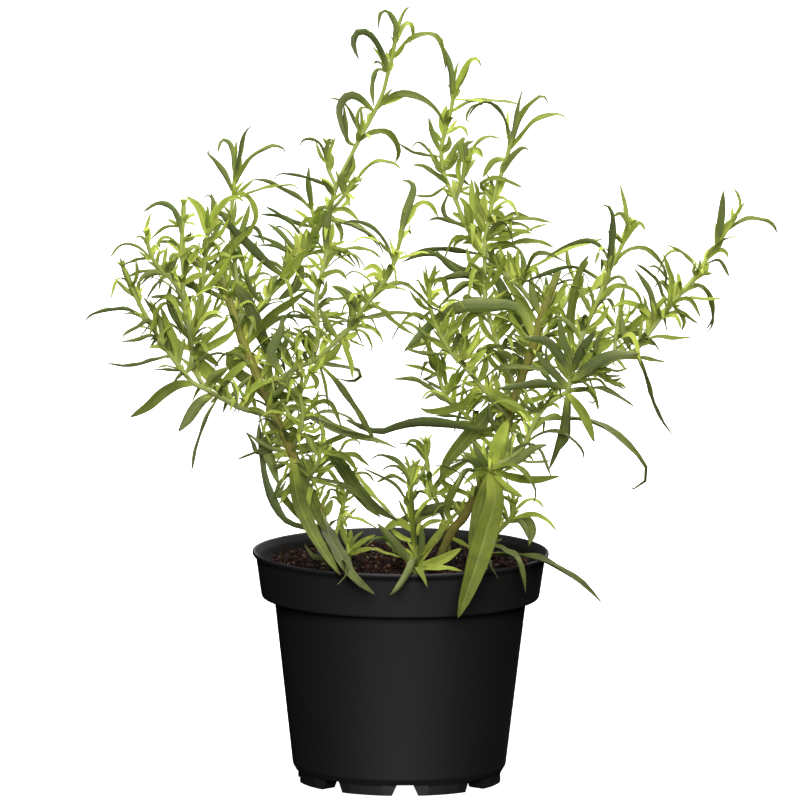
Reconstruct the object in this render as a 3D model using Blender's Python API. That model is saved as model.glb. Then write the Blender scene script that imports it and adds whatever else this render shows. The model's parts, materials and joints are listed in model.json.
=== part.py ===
# A tarragon plant in a black nursery pot, with its soil.
#
# Lengths are millimetres until a mesh is made, where they become metres. +Z is up, and the
# origin is at the middle of the pot's foot, on the surface that it stands on.
# The plant is laid out on an upright sheet that faces the viewer, who looks along +Y and a
# little down. A place on the sheet is (across, up), and a third value is how far away it is.

import math

import bmesh
import bpy
import numpy as np

MM = 0.001
SHEET_TILT = math.radians(8.7)
VIEW = np.array([0.0, math.cos(SHEET_TILT), -math.sin(SHEET_TILT)])
UP = np.array([0.0, 0.0, 1.0])

# The pot, with radii to the outside of its wall
POT_HEIGHT = 101.3
LIP_RADIUS = 65.0
LIP_Z = 100.3
COLLAR_TOP_RADIUS = 63.2
COLLAR_TOP_Z = 98.0
COLLAR_LOW_RADIUS = 60.9
COLLAR_LOW_Z = 80.5
BODY_TOP_RADIUS = 54.6
BODY_TOP_Z = 76.9
BODY_LOW_RADIUS = 46.9
BODY_LOW_Z = 9.0
FOOT_RADIUS = 44.4
FOOT_TOP_Z = 7.2
WALL = 1.3
FLOOR_TOP_Z = 6.9
UNDERSIDE_Z = 5.6
PAD_INNER_RADIUS = 36.4
MIDDLE_PAD_RADIUS = 12.0
POT_SIDES = 40
NOTCH_COUNT = 8
NOTCH_TURN = math.radians(3.4)
NOTCH_WIDTH = 20.4
NOTCH_HEIGHT = 4.9
NOTCH_DEPTH = 1.2
ARCH = ((7.6, 0.0), (6.0, 1.2), (4.6, 3.2), (3.7, NOTCH_HEIGHT))
DRAIN_RADIUS = 3.2
DRAIN_CENTRE_RADIUS = 31.0
DRAIN_SIDES = 6

# The soil, and the holes that the stems stand in
SOIL_TOP_Z = 95.0
SOIL_GAP = 0.35
SOIL_LUMP = 0.45
SOIL_RINGS = (44.0, 22.0)
HOLE_GAP = 0.35
HOLE_SIDES = 10
ROOT_DEPTH = 14.0

# Shoots: each starts inside its parent, ROOT_BITE behind the parent's middle line
TRUNK_SIDES = 6
TRUNK_RADIUS = 1.2
SHOOT_SIDES = 4
SHOOT_STEP = 15.0
LEAST_SHOOT = 1.7
ROOT_BITE = 0.45
PATH_STEP = 1.5

# Leaves: a blade's real width follows its length. It leans out of the sheet by LEAN, and further
# by the first of LEAN_STEPS that brings it clear of the others. One that bends by more than the
# values of CURLED gets more sections.
BLADE_DEPTH = 1.15
TIP_DEPTH = 0.6
LEAST_HALF = 0.5
FOOT_SHARE = 0.25
LEAST_LEAF = 12.5
LONG_LEAF = 27.0
CURLED = (1.7, 3.0)
LEAST_WIDTH = 1.3
WIDTH_PER_LENGTH = 0.075
WIDTH_BASE = 0.9
TWIST = 0.45
MIDRIB_STEPS = 24
LEAN = 0.5
LEAN_STEPS = (0.0, 0.14, -0.14, 0.28, -0.28, 0.42, -0.42, 0.56, -0.56, 0.75, -0.75)
KNOT_TURN = math.radians(137.5)
KNOT_STEP = 8.5
FIRST_KNOT = 10.0
FIRST_TRUNK_KNOT = 22.0
KNOT_LEAF_LONG = 24.0
KNOT_LEAF_SHORTER = 13.0
SIDEWAYS = 0.72
CLEAR_GAP = 0.35
ROOT_ZONE = 4.0
LIP_CLEAR_Z = 102.2
SOIL_CLEAR_Z = 96.6

# Materials: linear colour, roughness
BLACK_PLASTIC = ((0.017, 0.016, 0.016), 0.42)
PEAT = ((0.035, 0.014, 0.009), 0.95)
LEAF_GREEN = ((0.150, 0.205, 0.050), 0.60)

# Each shoot: name, parent, thickness at its two ends, route, leaves.
# A leaf is its width as seen, then the places its midrib passes, root first.
LEFT_STEM = [
    ("left_main", None, (4.0, 3.2),
     [(-24, 91, -15), (-29, 98), (-33, 110), (-37, 120), (-42, 130), (-47, 141), (-51, 150),
      (-55, 157, -8), (-58, 165), (-62, 173), (-66, 183), (-70, 192, 0), (-73, 201), (-76, 210),
      (-79, 219, 2)],
     [(6.0, (-48, 142), (-45.5, 125, -28), (-40, 111, -44), (-33, 99, -56), (-26, 89.5, -64)),
      (5.6, (-47, 140), (-42, 128, -22), (-36, 115, -34), (-32, 108, -38)),
      (3.2, (-36, 108), (-46, 110.5), (-53, 115), (-59, 128), (-61.5, 142), (-62, 155)),
      (5.2, (-38, 120), (-32, 109, -32), (-28.5, 102.5, -47), (-21, 89.8, -69), (-11, 81.6, -75)),
      (1.8, (-47, 143), (-56, 144), (-62, 147), (-68, 151.5)),
      (2.5, (-47, 142), (-38, 144), (-30, 148), (-20, 152)),
      (3.0, (-55, 160), (-46, 162.5), (-38, 157), (-29, 152.5), (-20, 150), (-10, 148), (-1, 144.5)),
      (5.5, (-47, 146), (-34, 145), (-27, 138), (-20, 128), (-12, 119.5), (-1, 113)),
      (1.8, (-42, 132), (-35, 131), (-27, 129), (-19, 124.5), (-14, 119), (-8.5, 114.5)),
      (1.0, (-50, 155), (-41, 161), (-38, 166), (-34, 168), (-30, 165)),
      (1.3, (-50, 154), (-42, 157), (-36, 160), (-30, 160.5), (-23, 158), (-17, 152)),
      (1.0, (-50, 145), (-60, 144), (-72.5, 139)),
      (5.0, (-69, 189), (-76, 184), (-70, 176), (-60, 171), (-50, 167), (-40, 166.5)),
      (5.5, (-78, 219), (-70, 212), (-66, 205), (-62, 195), (-57, 185), (-54, 178)),
      (3.5, (-69, 188), (-57, 202), (-50, 207), (-41, 213.5)),
      (3.0, (-66, 183), (-52, 186), (-60, 192), (-68, 196)),
      (2.6, (-75, 207), (-83, 212), (-90, 214), (-100, 219), (-108, 220.5), (-114.5, 215)),
      (2.6, (-77, 216), (-84, 223), (-92.5, 230)),
      (4.0, (-77, 213), (-78, 228), (-70, 237), (-66, 240)),
      (1.8, (-64, 178), (-75, 166), (-78, 159.5)),
      (3.6, (-66, 184), (-74, 177), (-78, 170), (-74, 162)),
      (2.2, (-36, 117), (-41, 122), (-45, 129)),
      (2.4, (-44, 134), (-48, 128), (-53, 120)),
      (1.6, (-45, 137), (-52, 130), (-56, 122)),
      (2.6, (-26.5, 96), (-31, 95.4, -32), (-38, 97.4, -41), (-42, 103, -44)),
      (2.2, (-25.5, 94.5), (-23.5, 94.4, -62), (-24, 88.5, -71), (-28, 85.5, -73)),
      (2.0, (-30, 101), (-36, 104), (-41, 109))]),
    ("left_reach", "left_main", (2.0, 0.9),
     [(-57, 158), (-63, 160), (-70, 162, -25), (-78, 166), (-85, 170, -38), (-91, 173), (-96, 179),
      (-100, 184), (-104, 190), (-108, 196), (-112, 203), (-116, 211), (-121, 223, -50)],
     [(2.5, (-113, 205), (-117, 213), (-121, 222.5), (-122.5, 227)),
      (1.5, (-112, 204), (-115, 209), (-119, 217)),
      (1.3, (-111, 201), (-118, 204), (-124, 204.5), (-134, 202.5), (-138, 199)),
      (1.8, (-106, 193), (-110, 199.5), (-115, 196.5), (-120.5, 193.5), (-120.5, 191)),
      (1.2, (-102, 187), (-108, 193), (-115, 191.2), (-122.5, 190.3)),
      (1.8, (-101, 186), (-105, 188.5), (-110, 188)),
      (1.2, (-100, 184), (-108, 182.5), (-118, 180), (-128.5, 181)),
      (1.0, (-95, 178), (-103, 178.5), (-108.5, 178.3)),
      (4.5, (-90, 173), (-97, 172), (-104, 168), (-110, 162.5), (-118, 157.5)),
      (1.0, (-95, 177), (-103, 168.5), (-110.5, 165)),
      (4.8, (-82, 168), (-88, 164), (-93, 157), (-97, 151.5)),
      (1.3, (-80, 167), (-85, 157), (-89, 145), (-91.2, 133.5)),
      (3.0, (-97, 180), (-104, 197), (-108, 204), (-112.5, 210)),
      (1.3, (-104, 190), (-106, 202), (-110.5, 209.5)),
      (1.6, (-115, 209), (-120, 213), (-125, 218)),
      (2.4, (-70, 162), (-66, 169), (-60, 176)),
      (2.2, (-86, 170), (-82, 176), (-75, 180))]),
    ("left_rise", "left_reach", (1.5, 0.9),
     [(-85, 170), (-90, 178, -30), (-91.5, 188), (-90, 198), (-89, 206, -22), (-87, 216), (-86, 226),
      (-85, 236), (-84, 241, -18)],
     [(3.5, (-85, 237), (-88, 248), (-94, 254)),
      (2.5, (-84, 239), (-82, 245), (-77, 252), (-72, 253.5), (-69, 251.5)),
      (1.0, (-84, 240), (-83, 252), (-85, 254.5), (-87, 253)),
      (3.0, (-91, 190), (-101, 206), (-100.5, 216.5)),
      (3.4, (-91, 186), (-83, 178), (-76, 170)),
      (1.8, (-90, 198), (-82, 203), (-77, 210)),
      (2.6, (-88, 212), (-80, 219), (-74, 229)),
      (1.8, (-86, 226), (-79, 229), (-73, 227)),
      (2.0, (-86, 222), (-92, 226), (-97, 233)),
      (1.8, (-85, 234), (-79, 238), (-75, 245))]),
    ("left_spire", "left_rise", (1.2, 0.8),
     [(-91.5, 188), (-93, 198, -38), (-95, 208), (-95, 220, -40), (-96, 230), (-95.5, 240),
      (-95, 250, -36)],
     [(2.2, (-96, 236), (-98, 245), (-101, 249), (-106, 250.5), (-113, 246.5)),
      (1.0, (-95, 241), (-103, 240), (-110, 234.5)),
      (2.0, (-95, 240), (-95, 253)),
      (1.0, (-95.5, 235), (-89, 236.5), (-84, 236)),
      (1.0, (-96, 230), (-100, 234.5), (-102.5, 233)),
      (1.5, (-95.5, 228), (-100, 228), (-101, 223)),
      (1.2, (-95, 214), (-103, 219), (-106, 212)),
      (1.8, (-95, 222), (-90, 228), (-88, 234)),
      (1.4, (-94, 204), (-100, 210), (-110, 210))]),
    ("left_wing", "left_spire", (1.0, 0.8),
     [(-95, 208), (-99, 216, -46), (-104, 221), (-108, 226, -50), (-110, 231), (-111, 237, -52)],
     [(2.0, (-110.5, 232), (-110, 240)),
      (1.0, (-110, 231), (-113, 235.8), (-116.5, 235.3)),
      (1.3, (-109, 228), (-107, 231), (-105, 229.5)),
      (1.0, (-106, 224), (-105.5, 228), (-101.5, 230.5)),
      (1.1, (-109, 227), (-115, 226), (-122.5, 223)),
      (1.1, (-105, 221), (-113, 220.8), (-122.5, 217))]),
    ("left_inner", "left_main", (1.3, 0.8),
     [(-70, 192), (-71, 203, 8), (-72, 213, 12), (-73, 223, 16), (-74.5, 235, 20), (-75, 247, 22),
      (-74, 257), (-73.5, 265, 25)],
     [(2.2, (-74.5, 256), (-78, 264), (-82, 269.5), (-85.5, 273), (-85, 275)),
      (1.8, (-73.5, 262), (-75, 275), (-77, 278.5), (-79.5, 278.5), (-81, 273.5)),
      (1.5, (-73.5, 263), (-73, 279)),
      (2.0, (-74, 261), (-71, 275), (-69, 282), (-66, 285.5)),
      (1.4, (-74, 259), (-67, 271), (-60, 275.5), (-56, 276.8), (-51.5, 275), (-52, 272.5)),
      (2.2, (-74, 256), (-68, 254.5), (-64.5, 248), (-65, 243), (-68, 239.5)),
      (1.0, (-74, 253), (-63, 257.5), (-55, 259), (-48, 259.5), (-45, 257)),
      (2.0, (-74, 232), (-67, 239), (-63, 248)),
      (1.8, (-75, 243), (-81, 248), (-84, 256)),
      (2.2, (-72, 213), (-65, 218), (-61, 226)),
      (2.4, (-71, 203), (-77, 210), (-82, 219))]),
    ("left_fork", "left_main", (1.3, 0.8),
     [(-68, 188), (-64, 203, 10), (-58, 211, 18), (-51, 219, 26), (-43, 230, 34), (-38.5, 241, 40),
      (-40, 250, 44)],
     [(1.8, (-40, 248), (-46, 254.5), (-53, 258), (-60, 261.5), (-66.5, 262.2)),
      (2.4, (-40, 248), (-41.5, 260), (-41.3, 268)),
      (2.5, (-41, 235), (-38.5, 242), (-41.5, 245), (-46, 240.5)),
      (2.5, (-41, 234), (-35, 245), (-33, 250)),
      (3.2, (-43.5, 229), (-42, 241)),
      (1.8, (-44, 229), (-36, 230.5), (-30, 230), (-25, 227), (-20, 223.5)),
      (3.8, (-51, 219), (-59, 225), (-66, 232), (-74, 240), (-80, 247)),
      (5.0, (-54, 215), (-48, 224), (-42, 231)),
      (1.2, (-47, 225), (-40, 224), (-34, 226)),
      (2.0, (-61, 207), (-66, 214), (-69, 222))]),
    ("left_sprig", "left_main", (1.1, 0.8),
     [(-47, 144), (-44, 152, -22), (-43, 160), (-44, 168), (-42, 173), (-40, 178, -34)],
     [(1.6, (-43, 160), (-38, 164), (-36, 170)),
      (1.5, (-44, 166), (-49, 170), (-51, 176)),
      (1.6, (-42, 174), (-44, 180), (-47, 185)),
      (1.4, (-41, 176), (-36, 180), (-33, 186)),
      (1.4, (-44, 156), (-49, 159), (-52, 165)),
      (1.6, (-44, 153), (-38, 152), (-33, 156))]),
    ("left_low_sprig", "left_main", (1.1, 0.8),
     [(-42, 130), (-38.5, 134, -28), (-36, 139, -34), (-35, 146, -38)],
     [(1.8, (-37, 137), (-33, 141), (-30, 147)),
      (1.6, (-36, 141), (-40, 146), (-42, 152)),
      (1.8, (-35, 144), (-34, 151), (-36, 157)),
      (1.4, (-38, 134), (-32, 135), (-28, 132))]),
    ("left_thread", "left_main", (1.0, 0.8),
     [(-29, 100), (-28, 108, 4), (-26.5, 115), (-25, 121, 12), (-22.5, 128, 14)],
     [(1.0, (-26.5, 115), (-18, 113.5), (-10, 109.5)),
      (1.0, (-25, 121), (-20, 124), (-16.5, 122.5)),
      (1.0, (-25.5, 119), (-29, 123), (-32, 122)),
      (1.0, (-27, 113), (-24, 116), (-21, 115)),
      (1.0, (-24, 124), (-30, 126.5), (-33, 125)),
      (1.2, (-23, 126), (-22, 134))]),
    ("middle", "left_main", (1.7, 0.9),
     [(-60, 168), (-52, 175.5, -8), (-45, 180, -15), (-38, 183, -18), (-30, 190), (-24, 196, -26),
      (-18, 204), (-12, 212, -34), (-6, 220), (-3, 228, -40), (0, 240), (1, 246, -44)],
     [(2.0, (-22, 199), (-21, 209), (-25, 213.5), (-30.5, 215.5)),
      (1.1, (-9, 216), (0, 216.5), (6, 213), (12, 207), (19, 203.5)),
      (1.3, (-12, 212), (-7, 214.5), (-2, 214.5), (3, 213)),
      (2.2, (-8, 218), (-10, 222), (-13, 224), (-17.5, 222)),
      (1.8, (-9, 217), (-12, 220.5), (-16.5, 218.5)),
      (3.4, (-1, 236), (1, 246), (4.5, 257), (3, 260.5), (-0.5, 261)),
      (2.0, (-0.5, 240), (3, 247), (7, 251), (10, 251.5), (13, 249.5), (15.5, 245)),
      (1.1, (-3, 226), (3, 228.5), (8, 230), (12, 229.5)),
      (1.8, (-24, 196), (-19, 198), (-14, 197.5), (-10, 194.5), (-8, 190.5)),
      (1.0, (-24, 196), (-17, 195.5), (-13, 189), (-14.5, 186.5)),
      (2.2, (-27, 193), (-24, 187), (-22, 181), (-21.5, 175)),
      (1.5, (-40, 182), (-28, 180.5), (-20, 179), (-18, 176.5), (-22, 174), (-30, 175.5)),
      (2.5, (-38, 183), (-28, 173), (-20, 162), (-14, 152), (-10, 146)),
      (1.0, (-36, 184), (-33, 170), (-31.5, 160.5)),
      (1.3, (-4, 225), (-8, 235), (-14, 241), (-22, 243.5), (-27, 242)),
      (4.0, (-52, 176), (-57, 186), (-53, 195), (-52, 203)),
      (1.6, (-44, 181), (-48, 190), (-55, 196)),
      (2.6, (-47, 179), (-52, 171), (-60, 165))]),
    ("tall", "middle", (1.5, 0.8),
     [(-40, 182), (-37, 190, -10), (-37, 200, -5), (-37.5, 210), (-35, 222, 5), (-33, 232),
      (-32, 245, 12), (-31, 252), (-28, 262), (-23, 272, 16), (-19, 280), (-13, 291, 18), (-9, 300),
      (-7, 308), (-5, 316), (-4, 322, 18)],
     [(2.0, (-4.5, 319), (-4, 329), (-7, 335), (-10, 334.5), (-11.5, 327)),
      (1.2, (-4, 320), (-1, 333), (2, 337.5), (5, 337)),
      (1.8, (-4, 320), (0, 329.5), (3, 330), (4, 326), (2.5, 321)),
      (2.6, (-7.5, 309), (-10, 318), (-15, 325), (-20, 326), (-22, 321), (-19.5, 314)),
      (1.8, (-7.5, 309), (-11.5, 310), (-13.5, 303), (-13, 294)),
      (2.0, (-5.5, 314), (0, 321), (6, 325), (12, 325.5), (16, 322), (18.5, 310)),
      (2.6, (-13, 291), (-6, 298), (1, 299.5), (9, 297), (15, 291.5), (18, 285)),
      (2.5, (-20, 279), (-14, 282.5), (-8, 283), (-4, 280), (-2, 274), (-3.5, 269.5)),
      (3.2, (-13, 291), (-20, 298), (-25, 298), (-28, 293), (-27, 286), (-25, 279)),
      (1.2, (-19, 281), (-24, 293), (-29, 297), (-33, 297.5)),
      (1.2, (-19, 281), (-20, 290), (-18, 293.5), (-15, 293)),
      (1.1, (-30, 257), (-40, 262), (-48, 263.8), (-54, 264.3), (-57, 261)),
      (1.5, (-31, 250), (-36, 249.5), (-39.5, 246.5)),
      (2.0, (-31, 249), (-25, 249), (-19, 244)),
      (1.2, (-32, 246), (-20, 242), (-14, 238), (-9, 232), (-9, 228)),
      (2.0, (-32, 247), (-28, 242), (-26.5, 238), (-27.5, 234)),
      (3.0, (-33, 231), (-33.5, 241), (-31, 251)),
      (1.3, (-34, 227), (-28, 231), (-20, 232), (-14, 231), (-9, 227.5)),
      (2.0, (-37, 213), (-35, 219), (-31, 221.5), (-27, 221.5), (-24, 218)),
      (1.0, (-36.5, 216), (-40, 219.5), (-46, 218.5)),
      (1.0, (-37, 207), (-30, 209.5), (-25, 210), (-15, 210)),
      (1.8, (-37.5, 209), (-34, 213), (-33, 218)),
      (1.5, (-37, 191), (-42, 193), (-50, 195), (-58, 197)),
      (1.5, (-38, 188), (-41, 191), (-44, 195), (-48, 197.5)),
      (2.5, (-29, 258), (-25, 264), (-21.5, 273)),
      (1.6, (-35, 222), (-39, 226), (-42, 228.5))]),
    ("tall_bud", "tall", (0.9, 0.7),
     [(-29, 259), (-33, 268, 20), (-33, 277, 24)],
     [(1.0, (-33, 268), (-36, 277), (-40, 279.5), (-44, 279), (-45.3, 276)),
      (1.8, (-33, 268), (-34, 274), (-32, 279.5), (-30, 278.5)),
      (3.0, (-33, 265), (-31, 273))]),
    ("tall_tuft", "tall", (0.9, 0.7),
     [(-32, 248), (-28, 252, 6), (-24, 257), (-21, 261, 2)],
     [(1.0, (-22, 259), (-15, 268), (-10, 270), (-4, 269), (-0.5, 266)),
      (2.5, (-25, 255), (-27, 262), (-24, 266)),
      (2.2, (-24, 256), (-21, 262), (-18, 261)),
      (1.8, (-25, 256), (-24, 252.5), (-27, 250))]),
    ("left_back", "left_main", (1.6, 0.8),
     [(-52, 152), (-55, 166, 18), (-58, 180, 36), (-62, 195, 50), (-67, 211, 60), (-70, 226, 68)],
     [(3.0, (-56, 171), (-62, 178), (-70, 182)),
      (2.6, (-58, 180), (-52, 188), (-49, 198)),
      (2.8, (-61, 191), (-68, 199), (-73, 209)),
      (2.4, (-64, 202), (-59, 210), (-58, 219)),
      (2.2, (-68, 215), (-74, 221), (-78, 230)),
      (1.8, (-70, 222), (-66, 229), (-64, 236)),
      (1.8, (-70, 225), (-73, 235))]),
]

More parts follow.
